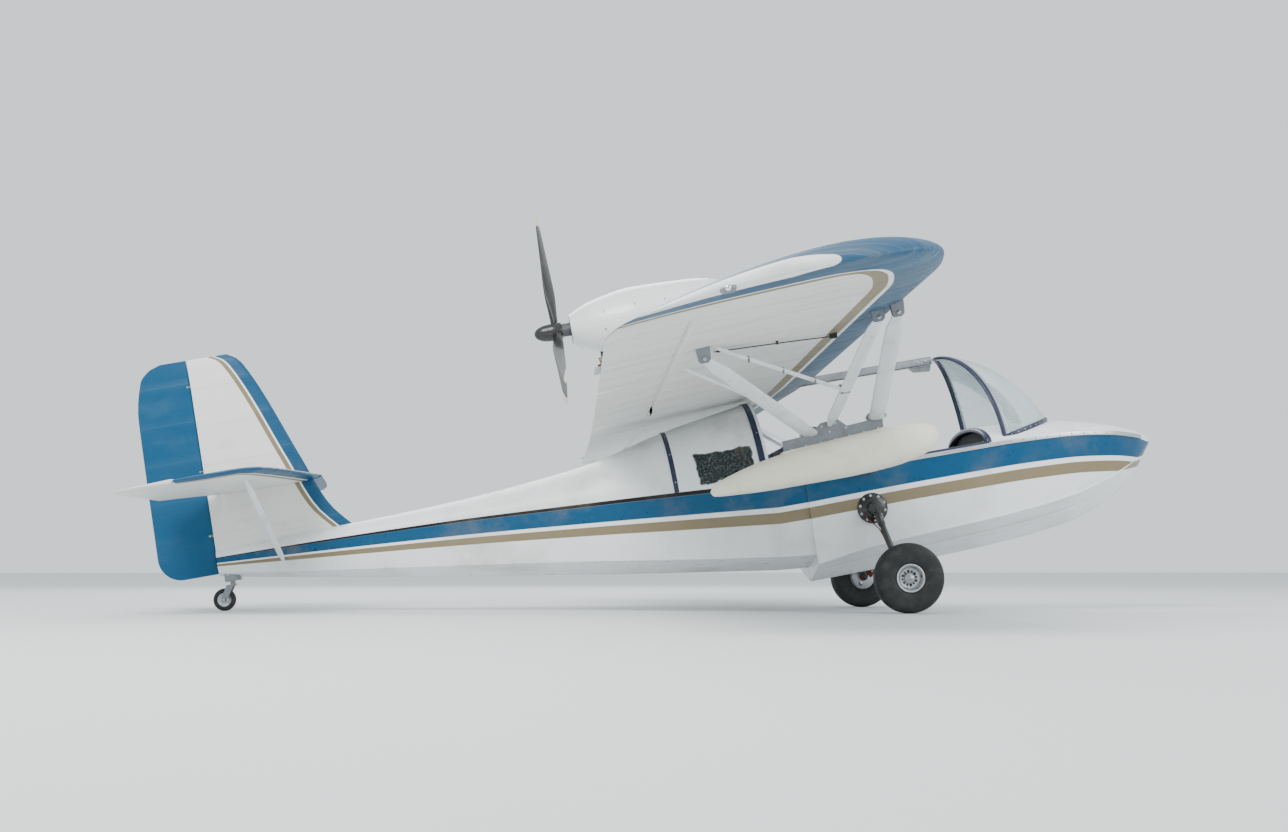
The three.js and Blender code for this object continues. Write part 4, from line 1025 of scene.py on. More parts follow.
class Workshop:
    """Gives pieces their finishes and bodies."""

    _made: dict[str, bpy.types.Material] = {}

    @classmethod
    def material(cls, finish: Any) -> bpy.types.Material:
        """The material of a finish, made once."""
        if finish.name not in cls._made:
            cls._made[finish.name] = finish.material()
        return cls._made[finish.name]

    @classmethod
    def paint(cls, mesh: bpy.types.Mesh, *finishes: Any) -> None:
        """Gives a mesh without materials its finishes in the order of their numbers."""
        for finish in finishes:
            mesh.materials.append(cls.material(finish))

    @classmethod
    def fit(
        cls, piece: bpy.types.Object, body: str, slot: str, replaces: Sequence[str] = ()
    ) -> None:
        """Makes a piece ride on a body and stand for CAD nodes.

        Args:
            piece: the finished object.
            body: the body that carries it.
            slot: the record's material slot; not used.
            replaces: CAD nodes that it stands for.
        """
        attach(piece, body)
        if replaces:
            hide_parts(*replaces)
        LOG.info("%s on %s: %d faces", piece.name, body, len(piece.data.polygons))

    @classmethod
    def add(
        cls,
        name: str,
        surfaces: Sequence[Surface],
        finishes: Sequence[Any],
        slot: str,
        body: str = "airframe",
        replaces: Sequence[str] = (),
        edge: Edge = Edge.MOULDED,
        cuts: Sequence[Sequence[Surface]] = (),
        side: str = "",
    ) -> None:
        """Makes one piece from its surfaces.

        Args:
            name: its name.
            surfaces: what it is made of.
            finishes: its finishes in the order of their numbers.
            slot: the record's material slot.
            body: the body that carries it.
            replaces: CAD nodes that it stands for.
            edge: from which angle its corners stay sharp.
            cuts: groups of closed surfaces to cut out, one group after another.
            side: which of two pieces it is. Its name and its nodes' names end in it, and its
                surfaces are mirrored for the right.
        """
        if side:
            name, replaces = f"{name}_{side}", [f"{node}_{side}" for node in replaces]
        if side == "right":
            surfaces, cuts = mirrored(surfaces), [mirrored(cut) for cut in cuts]
        piece = new_mesh(name, surfaces, edge)
        cls.paint(piece.data, *finishes)
        for cut in cuts:
            carve(piece, cut, edge)
        cls.fit(piece, body, slot, replaces)

    @classmethod
    def recolour(cls, frame: dict[str, Any], finish: Any, *nodes: str) -> None:
        """Gives CAD nodes that stay a procedural finish."""
        for name in nodes:
            mesh = frame["nodes"][name].data
            mesh.materials.clear()
            cls.paint(mesh, finish)


# ---------------------------------------------------------------------------------------------
# Hull and rear body
# ---------------------------------------------------------------------------------------------
@dataclass(frozen=True)
class Lines:
    """Lines of a hull: a row for each frame, from aft to forward.

    Attributes:
        rows: each holds x, keel z, chine y and z, sheer y and z, and crown z.
        side_bow: how far the side bows out between chine and sheer.
        full_side: least height of side over which the stripes keep their full width.
    """

    rows: tuple[tuple[float, ...], ...]
    side_bow: float = 0.006
    full_side: float = 0.5

    def at(self, x: Array) -> Array:
        """The six values at each x, as six rows."""
        return smooth_columns(self.rows, x)

    @staticmethod
    def bottom(keel: Array, chine_z: Array, share: Array | float) -> Array:
        """Height of the slightly hollow bottom at a share of the way out: a power of the share."""
        return keel + (chine_z - keel) * share**1.07

    def ring(self, x: Array, taper: bool = False) -> Surface:
        """The closed skin: bottom, side, deck and back down the other side.

        The bottom is a little hollow, the side bows out as half a sine and the deck is half an
        ellipse on the sheer. The skin map holds x and the distance below the sheer.

        Args:
            x: where the rows are.
            taper: narrows the stripes with the height of the side.

        Returns:
            The surface, with its ends filled.
        """
        keel, chine_y, chine_z, sheer_y, sheer_z, crown = self.at(x)[:, :, None]
        s = np.linspace(0, 1, 9)[None]
        t = np.linspace(0, 1, 10)[None, 1:]
        a = np.linspace(0, QUARTER, 11)[None, 1:]
        side_y = chine_y + (sheer_y - chine_y) * t + self.side_bow * np.sin(math.pi * t)
        side_z = chine_z + (sheer_z - chine_z) * t
        deck_z = sheer_z + (crown - sheer_z) * np.sin(a)
        y = np.hstack([chine_y * s, side_y, sheer_y * np.cos(a)])
        z = np.hstack([self.bottom(keel, chine_z, s), side_z, deck_z])
        steps = np.hypot(np.diff(y), np.diff(z))
        walked = np.hstack([np.zeros((len(x), 1)), np.cumsum(steps, axis=1)])
        chine, sheer = s.size - 1, s.size + t.size - 1
        below = walked[:, sheer : sheer + 1] - walked
        if taper:
            below = below * np.maximum(self.full_side / below[:, chine : chine + 1], 1)
        half = xyz(x[:, None], y, z)
        uv = np.stack([half[..., 0], below], -1)
        back = slice(-2, 0, -1)
        return tube(folded(half, back), np.concatenate([uv, uv[:, back]], axis=1))

    def sheer(self, x: Array, side: float, out: float, lift: float) -> Array:
        """A path along the sheer, moved out and up."""
        values = self.at(x)
        return xyz(x, side * (values[3] + out), values[4] + lift)


HULL_LINES = Lines(
    (
        (-0.495, 0.058, 0.512, 0.178, 0.562, 0.755, 0.895),
        (-0.2, 0.062, 0.522, 0.228, 0.567, 0.760, 0.895),
        (0.3, 0.072, 0.522, 0.262, 0.565, 0.765, 0.895),
        (0.8, 0.092, 0.500, 0.287, 0.545, 0.765, 0.895),
        (1.25, 0.135, 0.430, 0.335, 0.480, 0.752, 0.862),
        (1.6, 0.235, 0.300, 0.415, 0.365, 0.715, 0.790),
        (1.85, 0.400, 0.150, 0.500, 0.205, 0.665, 0.705),
        (2.0, 0.585, 0.014, 0.600, 0.020, 0.622, 0.632),
    )
)
REAR_LINES = Lines(
    (
        (-4.405, 0.785, 0.036, 0.805, 0.045, 0.910, 0.962),
        (-3.9, 0.690, 0.090, 0.730, 0.110, 0.905, 0.975),
        (-2.9, 0.520, 0.195, 0.590, 0.225, 0.880, 1.005),
        (-1.9, 0.355, 0.325, 0.445, 0.365, 0.830, 1.095),
        (-1.3, 0.262, 0.410, 0.350, 0.458, 0.795, 1.235),
        (-0.7, 0.172, 0.478, 0.262, 0.548, 0.755, 1.335),
    )
)
STEP_LINES = Lines(
    (
        (-0.7, 0.172, 0.478, 0.262, 0.548, 0.755, 0.905),
        (-0.48, 0.152, 0.498, 0.240, 0.560, 0.755, 0.895),
    )
)


@dataclass
class Hull:
    """The moulded hull with its open cockpit, its rails, edge strips and coaming.

    Attributes:
        wall: thickness of the side.
        floor_z: height of the cockpit's floor.
        floor_skin: least thickness between the floor and the bottom.
        rim_z: height of the cockpit's rim.
        front: x of the cockpit's front end.
        back: x of the cockpit's rear end.
        footwell: x of the footwell's front end.
        rails: each rail's share of the way out to the chine, and its two ends.
        bolt_step: from one bolt of an edge strip to the next.
    """

    wall: float = 0.026
    floor_z: float = 0.292
    floor_skin: float = 0.02
    rim_z: float = 0.762
    front: float = 0.75
    back: float = -0.65
    footwell: float = 1.2
    rails: tuple[tuple[float, float, float], ...] = ((1.0, -0.49, 1.86), (0.56, -0.47, 1.55))
    bolt_step: float = 0.087

    def space(self, x: Array, top: float | None) -> Surface:
        """The room inside the hull: floor, sides and either an open top or the inside of the deck.

        The floor rises where it would come through the bottom.

        Args:
            x: where the rows are.
            top: height of the open top, or None under the deck.

        Returns:
            The closed surface, with the liner's finish.
        """
        keel, chine_y, chine_z, sheer_y, sheer_z, crown = HULL_LINES.at(x)[:, :, None]
        floor_y, side_y = chine_y - self.wall - 0.012, sheer_y - self.wall
        bottom = Lines.bottom(keel, chine_z, floor_y / chine_y)
        floor = np.maximum(self.floor_z, bottom + self.floor_skin)
        t = np.linspace(0, 1, 6)[None, 1:]
        corner_y, corner_z = np.array([[0.93, 0.985, 1.0], [0.0, 0.012, 0.05]])
        y = [floor_y * corner_y, floor_y + (side_y - floor_y) * t]
        z = [floor + corner_z, floor + 0.05 + (sheer_z - 0.05 - floor) * t]
        if top is None:
            a = np.linspace(0.15, QUARTER, 8)[None]
            y.append(side_y * np.cos(a))
            z.append(sheer_z - self.wall + (crown - sheer_z) * np.sin(a))
        else:
            y.append(side_y)
            z.append(np.full_like(side_y, top))
        half = xyz(x[:, None], np.hstack(y), np.hstack(z))
        return tube(folded(half, slice(-2 if top is None else None, None, -1)), finish=1)

    def cutters(self) -> list[list[Surface]]:
        """Everything above the rim, the cockpit and the footwell."""
        above = block((-2.0, -0.8, self.rim_z), (self.front, 0.8, 1.6), 1)
        cockpit = self.space(np.linspace(self.back, self.front, 12), 1.5)
        footwell = self.space(np.linspace(self.front - 0.02, self.footwell, 6), None)
        return [[above], [cockpit], [footwell]]

    def build(self) -> None:
        """Builds the hull's pieces."""
        rows = np.unique([np.linspace(-0.495, 1.2, 26), np.linspace(1.2, 2.0, 26)])
        shell, cuts = HULL_LINES.ring(rows), self.cutters()
        finishes = (HULL_SIDE, COCKPIT_LINER)
        Workshop.add("hull_shell", [shell], finishes, "gelcoat", replaces=["hull"], cuts=cuts)
        after = STEP_LINES.ring(np.linspace(-0.7, -0.48, 5))
        Workshop.add("hull_step", [after], (REAR_SIDE, COCKPIT_LINER), "gelcoat", cuts=cuts[:2])
        self.build_rails()
        self.build_edge_strips()
        self.build_coaming()

    def build_rails(self) -> None:
        """Spray rails: a low wedge carried along the chine and along the middle of the bottom."""
        wedge = np.array([[-0.011, 0.008], [0.012, 0.001], [0.012, -0.007], [-0.012, -0.003]])
        surfaces = []
        for side in SIDES.values():
            for share, start, end in self.rails:
                x = np.linspace(start, end, 40)
                keel, chine_y, chine_z, *_ = HULL_LINES.at(x)
                path = xyz(x, side * chine_y * share, Lines.bottom(keel, chine_z, share))
                fade = np.clip(np.minimum((x - start) / 0.1, (end - x) / 0.25), 0.15, 1)
                surfaces.append(sweep(path, wedge * np.array([-side, 1]), fade))
        Workshop.add("spray_rails", surfaces, [GELCOAT], "gelcoat", edge=Edge.CRISP)

    def build_edge_strips(self) -> None:
        """Bolted alloy strips along the sheer: a flat rounded profile carried along the edge."""
        surfaces = []
        for side in SIDES.values():
            path = HULL_LINES.sheer(np.linspace(-0.10, 1.90, 50), side, 0.003, -0.016)
            surfaces.append(sweep(path, oval(0.0026, 0.014, 16, 0.4)))
            at = HULL_LINES.sheer(np.arange(-0.06, 1.86, self.bolt_step), side, 0.005, -0.016)
            surfaces.append(bolts(at, (0, side, 0), 0.0062, 0.0035, finish=1, count=10))
        Workshop.add("sheer_strips", surfaces, [POLISHED, BOLT_STEEL], "grey_alloy")

    def build_coaming(self) -> None:
        """A padded roll round the cockpit's rim, and over the edge of the deck as half an oval."""
        x = np.linspace(self.back + 0.005, self.front, 30)
        sheer_y = HULL_LINES.at(x)[3]
        rolls = [xyz(x, side * (sheer_y - 0.013), self.rim_z + 0.002) for side in SIDES.values()]
        surfaces = [sweep(path, oval(0.019, 0.012, 18, 0.8)) for path in rolls]
        _, _, _, wide, low, crown = HULL_LINES.at(np.array([self.front]))[:, 0]
        a = np.linspace(0.0, math.pi, 40)
        over = low + (crown - low - 0.011) * np.sin(a)
        arch = xyz(self.front + 0.004, (wide - 0.012) * np.cos(a), over)
        surfaces.append(sweep(arch, oval(0.017, 0.020, 18, 0.8), up=AHEAD))
        Workshop.add("cockpit_coaming", surfaces, [NAVY_TRIM], "navy_trim")


@dataclass
class RearBody:
    """The rear body and the narrow bands over its deck.

    Attributes:
        bands: the x and the half width of each band.
        deck: the first of a section's points that a band follows, and the one after the last.
    """

    bands: tuple[tuple[float, float], ...] = ((-0.735, 0.026), (-1.32, 0.018))
    deck: tuple[int, int] = (17, 38)

    def build(self) -> None:
        """Builds the rear body's pieces."""
        rows = np.unique([np.linspace(-0.7, -1.9, 16), np.linspace(-1.9, -4.405, 16)])
        skin = REAR_LINES.ring(rows, taper=True)
        Workshop.add(
            "rear_body_skin", [skin], [REAR_SIDE], "gelcoat", replaces=["aft_fuselage"]
        )
        self.build_bands()

    def build_bands(self) -> None:
        """The bands, a flat profile carried over the deck, with screws that stand square to it."""
        surfaces = []
        for x, wide in self.bands:
            deck = REAR_LINES.ring(np.array([x, x + 0.01])).points[0][slice(*self.deck)]
            surfaces.append(sweep(deck, oval(0.0022, wide, 14, 0.4), up=AHEAD))
            at = np.arange(1, 20, 3)
            out = unit(np.cross(deck[at + 1] - deck[at - 1], AHEAD))
            out *= np.sign(np.sum(out * (deck[at] - (x, 0, 0.9)), axis=1, keepdims=True))
            surfaces.append(bolts(deck[at] + 0.0019 * out, out, 0.0048, 0.0016, 1, 10))
        Workshop.add("body_bands", surfaces, [NAVY_TRIM, BOLT_STEEL], "navy_trim")


# ---------------------------------------------------------------------------------------------
# Wing
# ---------------------------------------------------------------------------------------------
@dataclass(frozen=True)
class WingForm:
    """The wing's form on a tilted plane.

    Attributes:
        stations: each holds y, leading x, trailing x and thickness as a share of the chord.
        lead_x: x of the straight leading edge.
        plane_z: height of the plane at that edge, on the centreline.
        dihedral: the plane's rise along y.
        incidence: its rise along x.
        camber: the camber line's height, as a share of the chord.
        crest: where the camber line is highest, as a share of the chord.
        tip_y: where the tip's edge begins to round over.
        stripe_radius: radius of the stripes' corner at the tip.
        stripe_narrowing: how much narrower the stripes are along the tip.
    """

    stations: tuple[tuple[float, ...], ...] = (
        (0.38, -0.25, -1.80, 0.12),
        (3.95, -0.25, -1.80, 0.12),
        (4.30, -0.30, -1.795, 0.115),
        (4.56, -0.45, -1.74, 0.10),
        (4.70, -0.72, -1.64, 0.06),
    )
    lead_x: float = -0.25
    plane_z: float = 1.425
    dihedral: float = math.tan(math.radians(1))
    incidence: float = math.tan(math.radians(5))
    camber: float = 0.04
    crest: float = 0.4
    tip_y: float = 4.70
    stripe_radius: float = 0.42
    stripe_narrowing: float = 1.7

    def plane(self, x: Array | float, y: Array | float) -> Array:
        """Height of the plane through the leading and trailing edges."""
        return self.plane_z + np.abs(y) * self.dihedral - (self.lead_x - x) * self.incidence

    def edges(self, y: Array | float) -> Array:
        """Leading x, trailing x and thickness at each y, as three rows."""
        return smooth_columns(self.stations, np.abs(y))

    def section(self, share: Array | float, thickness: Array | float) -> tuple[Array, Array]:
        """The camber line, two parabolas, and the half thickness, a power series of the share.

        Args:
            share: places along the chord.
            thickness: the section's thickness.

        Returns:
            Both heights, as shares of the chord.
        """
        fall = 2 * self.crest * share - share**2
        front = self.camber / self.crest**2 * fall
        rear = self.camber / (1 - self.crest) ** 2 * (1 - 2 * self.crest + fall)
        factors = (-0.126, -0.3516, 0.2843, -0.1015)
        series = sum((k * share**n for n, k in enumerate(factors, 1)), 0.2969 * np.sqrt(share))
        return np.where(share < self.crest, front, rear), 5 * thickness * series

    def grid(
        self, y: Array, share: Array, upper: Array | float, thin: Array | float = 1.0
    ) -> Surface:
        """The skin at spans y and shares of the chord.

        Point = (lead - chord * share, y, plane + chord * (camber line +- half thickness)). The
        skin map holds y and the distance inside the striped edge, which turns the tip's corner.

        Args:
            y: span positions.
            share: shares of the chord, one row for each span position or one for all.
            upper: 1 on the upper side and -1 on the lower, for each column.
            thin: factor on the thickness, for each row.

        Returns:
            The surface.
        """
        lead, trail, thickness = self.edges(y)[:, :, None]
        chord = lead - trail
        line, half = self.section(share, thickness)
        x, across = np.broadcast_arrays(lead - chord * share, y[:, None])
        z = self.plane(x, np.minimum(across, self.tip_y))
        z = z + chord * (line + upper * half * np.reshape(thin, (-1, 1)))
        return Surface(xyz(x, across, z), self.stripe_map(across, lead - x))

    def stripe_map(self, y: Array, behind: Array) -> Array:
        """The span position, and the distance inside the edge, an arc round the tip's corner.

        Args:
            y: span positions.
            behind: distances behind the leading edge.

        Returns:
            The place in the skin map for each point.
        """
        radius = self.stripe_radius
        inward = (self.tip_y - np.abs(y)) * self.stripe_narrowing
        arc = np.hypot(np.maximum(radius - behind, 0), np.maximum(radius - inward, 0))
        corner = (behind < radius) & (inward < radius)
        return np.stack([y, np.where(corner, radius - arc, np.minimum(behind, inward))], -1)

    def skin_z(self, x: Array | float, y: Array | float, upper: float) -> Array:
        """Height of the upper (1) or lower (-1) skin at each place."""
        lead, trail, thickness = self.edges(y)
        line, half = self.section((lead - x) / (lead - trail), thickness)
        return self.plane(x, y) + (lead - trail) * (line + upper * half)


FORM = WingForm()


@dataclass
class Wing:
    """The wing's middle, its two panels with their coves, its flaps, ailerons and tip lights.

    Attributes:
        root_y: half width of the middle section.
        straight_y: where the plan form begins to curve.
        cut_x: x of the panel's rear face, ahead of the flap and aileron.
        cut_end: where that face ends and the panel reaches back to its trailing edge.
        tip_round: how far the rounded tip stands out past the last station.
        cove: how deep the rear face is hollowed.
        hinge_x: x of the flap's and aileron's hinge.
        hinge_round: how far the moving surface's nose stands ahead of its hinge.
        moving: inner and outer end of each moving surface.
        tab: inner and outer end of the aileron's trim tab.
        seam_x: x of the raised seam along the spar.
        light_x: x of the tip light.
    """

    root_y: float = 0.38
    straight_y: float = 3.95
    cut_x: float = -1.403
    cut_end: float = 4.209
    tip_round: float = 0.013
    cove: float = 0.022
    hinge_x: float = -1.45
    hinge_round: float = 0.037
    moving: tuple[tuple[str, float, float], ...] = (
        ("flap", 0.402, 2.378),
        ("aileron", 2.404, 4.200),
    )
    tab: tuple[float, float] = (3.1, 3.42)
    seam_x: float = -0.62
    light_x: float = -1.30

    def build(self) -> None:
        """Builds all of the wing's pieces."""
        self.build_middle()
        for side in SIDES:
            self.build_panel(side)
            for name, near, far in self.moving:
                self.build_surface(name, side, near, far)
            self.build_light(side)
            self.build_seams(side)
            self.build_tip_damage(side)
        self.build_rod()

    def build_middle(self) -> None:
        """The middle section: one section outline carried across, closed at both ends."""
        t = np.linspace(-1, 1, 65)
        y = np.array([-self.root_y, -0.19, 0.0, 0.19, self.root_y])
        surface = FORM.grid(y, t**2, -np.sign(t))
        surface.points[..., 2] += (self.root_y - np.abs(y))[:, None] * FORM.dihedral
        parts = [surface, *(self.lid(surface.points[row]) for row in (0, -1))]
        Workshop.add("wing_centre", parts, [FABRIC], "fabric_skin", replaces=["wing_middle"])

    @staticmethod
    def lid(row: Array) -> Surface:
        """Closes a section whose points run along its upper side and back along its lower."""
        half = len(row) // 2
        return Surface(np.stack([row[: half + 1], row[: half - 1 : -1]]))

    def build_panel(self, side: str) -> None:
        """One outer panel: skin with a rounded tip, concave rear face and root rib.

        Args:
            side: left or right.
        """
        a = np.linspace(0.15, 1, 5) * QUARTER
        straight = np.linspace(self.root_y, self.straight_y, 14)
        inner = np.concatenate([straight, np.linspace(self.straight_y, self.cut_end, 5)[1:]])
        outer = np.linspace(self.cut_end, FORM.tip_y, 14)[1:]
        y = np.concatenate([inner, outer, FORM.tip_y + self.tip_round * np.sin(a)])
        thin = np.concatenate([np.ones(len(inner) + len(outer)), np.maximum(np.cos(a), 1e-4)])
        lead, trail, _ = FORM.edges(y)
        cut = ((lead - self.cut_x) / (lead - trail))[:, None]
        t = np.linspace(-1, 1, 57)
        skin = FORM.grid(y, cut * t**2, -np.sign(t), thin)
        tip = slice(len(inner) - 1, None)
        share = cut[tip] + (1 - cut[tip]) * np.linspace(0, 1, 9)
        tails = [FORM.grid(y[tip], share, upper, thin[tip]) for upper in (1, -1)]
        step = Surface(np.stack([tail.points[0] for tail in tails]))
        upper, lower = skin.points[: len(inner), 0], skin.points[: len(inner), -1]
        k = np.linspace(0, 1, 7)[None, :, None]
        cove = upper[:, None] * (1 - k) + lower[:, None] * k
        cove[..., 0] += self.cove * np.sin(math.pi * k[..., 0])
        root = Surface(np.stack([cove[0], np.linspace(upper[0], lower[0], 7)]))
        parts = [skin, *tails, step, Surface(cove), self.lid(skin.points[0]), root]
        Workshop.add("wing_panel", parts, [FABRIC], "fabric_skin", replaces=["wing"], side=side)

    def build_surface(self, kind: str, side: str, near: float, far: float) -> None:
        """A flap or aileron: the wing's section behind its hinge, with an oval nose.

        Args:
            kind: flap or aileron.
            side: left or right.
            near: its inner end.
            far: its outer end.
        """
        y = np.linspace(near, far, 13)[:, None]
        lead, trail, thickness = FORM.edges(y[:, 0])[:, :, None]
        chord = lead - trail
        share = 1 - (1 - (lead - self.hinge_x) / chord) * np.linspace(0, 1, 15)
        line, half = FORM.section(share, thickness)
        x = lead - chord * share
        base, tall = FORM.plane(x, y) + chord * line, chord * half
        middle = base[:, -1:]
        a = np.linspace(QUARTER, -QUARTER, 13)[None, 1:-1]
        nose_x = self.hinge_x + self.hinge_round * np.cos(a)
        nose = xyz(nose_x, y, middle + tall[:, -1:] * np.sin(a))
        upper, lower = xyz(x, y, base + tall), xyz(x, y, base - tall)[:, ::-1]
        ring = np.concatenate([upper, nose, lower], axis=1)
        parts = [tube(ring, np.stack([ring[..., 1], np.full(ring.shape[:-1], FAR)], -1))]
        pin_z = float(middle[0, 0])
        slope = float(middle[-1, 0] - middle[0, 0]) / (far - near)
        for at in (near, far):
            pin = np.array([at - 0.0084, at + 0.0084])
            start, end = xyz(self.hinge_x, pin, pin_z + slope * (pin - near))
            parts.append(rod(start, end, 0.008, 14, 1))
        if kind == "aileron":
            back, (inner, outer) = float(trail[0, 0]), self.tab
            low, high = (back - 0.028, inner, pin_z - 0.045), (back + 0.012, outer, pin_z - 0.0435)
            parts.append(block(low, high, 1))
        name = f"{kind}_{side}"
        parts = mirrored(parts) if side == "right" else parts
        finishes = (SURFACE_FABRIC, POLISHED)
        Workshop.add(f"{name}_skin", parts, finishes, "fabric_skin", body=name, replaces=[name])

    def build_light(self, side: str) -> None:
        """The tip light: an oval grey base, a chrome dome and two screws.

        Args:
            side: left or right.
        """
        x, y = self.light_x, FORM.tip_y
        z = float(FORM.plane(x, y)) + 0.0184
        a = np.linspace(0, QUARTER, 9)
        route = [(x, y - 0.004, z), (x, y + 0.009, z), (x, y + 0.012, z)]
        base = sweep(route, oval(0.036, 0.022, 32, 0.8), [[1, 1], [1, 1], [0.88, 0.85]])
        profile = np.stack([0.0125 * np.sin(a), 0.015 * np.cos(a) + POLE], -1)
        dome = turned(profile, (x, y + 0.0115, z), ACROSS, 28, 1, ends=True)
        at = [(x - 0.026, y + 0.0115, z), (x + 0.026, y + 0.0115, z)]
        parts = [base, dome, bolts(at, ACROSS, 0.004, 0.002, 2, 10)]
        finishes = (CHANNEL_GREY, CHROME, BOLT_STEEL)
        Workshop.add(
            "tip_light", parts, finishes, "light_lens", replaces=["nav_light"], side=side
        )

    def build_seams(self, side: str) -> None:
        """Raised seams along the spar, above and below, and drain grommets near the rear face."""
        y = np.linspace(self.root_y + 0.01, 4.10, 40)
        paths = [xyz(self.seam_x, y, FORM.skin_z(self.seam_x, y, way)) for way in (-1.0, 1.0)]
        parts = [sweep(path, oval(0.012, 0.0012, 10, 0.6)) for path in paths]
        at = np.arange(0.6, 4.1, 0.38)
        drains = xyz(-1.36, at, FORM.skin_z(-1.36, at, -1.0))
        parts.append(bolts(drains, (0, 0, -1), 0.011, 0.0022, 1, 16))
        Workshop.add("wing_seams", parts, [FABRIC, STRUT_WHITE], "fabric_skin", side=side)

    def build_rod(self) -> None:
        """A thin dark rod with a black block at its front end, on clips under the right panel."""
        x, y = np.linspace(-0.545, -1.22, 30), np.linspace(2.72, 3.12, 30)
        path = xyz(x, y, FORM.skin_z(x, y, -1.0) - 0.013)
        parts = [sweep(path, oval(0.0034, 0.0034, 12))]
        for k, wide, low in ((0, 0.020, 0.013), (14, 0.007, 0.006), (28, 0.007, 0.006)):
            reach = np.array([wide, wide * 0.7, 0])
            parts.append(block(path[k] - reach - (0, 0, low), path[k] + reach + (0, 0, 0.0145)))
        Workshop.add("under_wing_rod", mirrored(parts), [BLACK_PAINT], "black_paint")

    def build_tip_damage(self, side: str) -> None:
        """The chipped end of the tip: a thin worn shell over the tip's rear corner."""
        reach = self.tip_round * np.sin(np.linspace(-1, 1, 9) * QUARTER) * 0.6
        y, share = FORM.tip_y - 0.004 + reach, np.linspace(0.90, 1.0, 7)
        upper, lower = (FORM.grid(y, share, way, 1.04).points for way in (1.0, -1.0))
        shell = tube(np.concatenate([upper, lower[:, ::-1]], axis=1))
        Workshop.add("tip_edge", [shell], [CHIPPED], "fabric_skin", side=side)


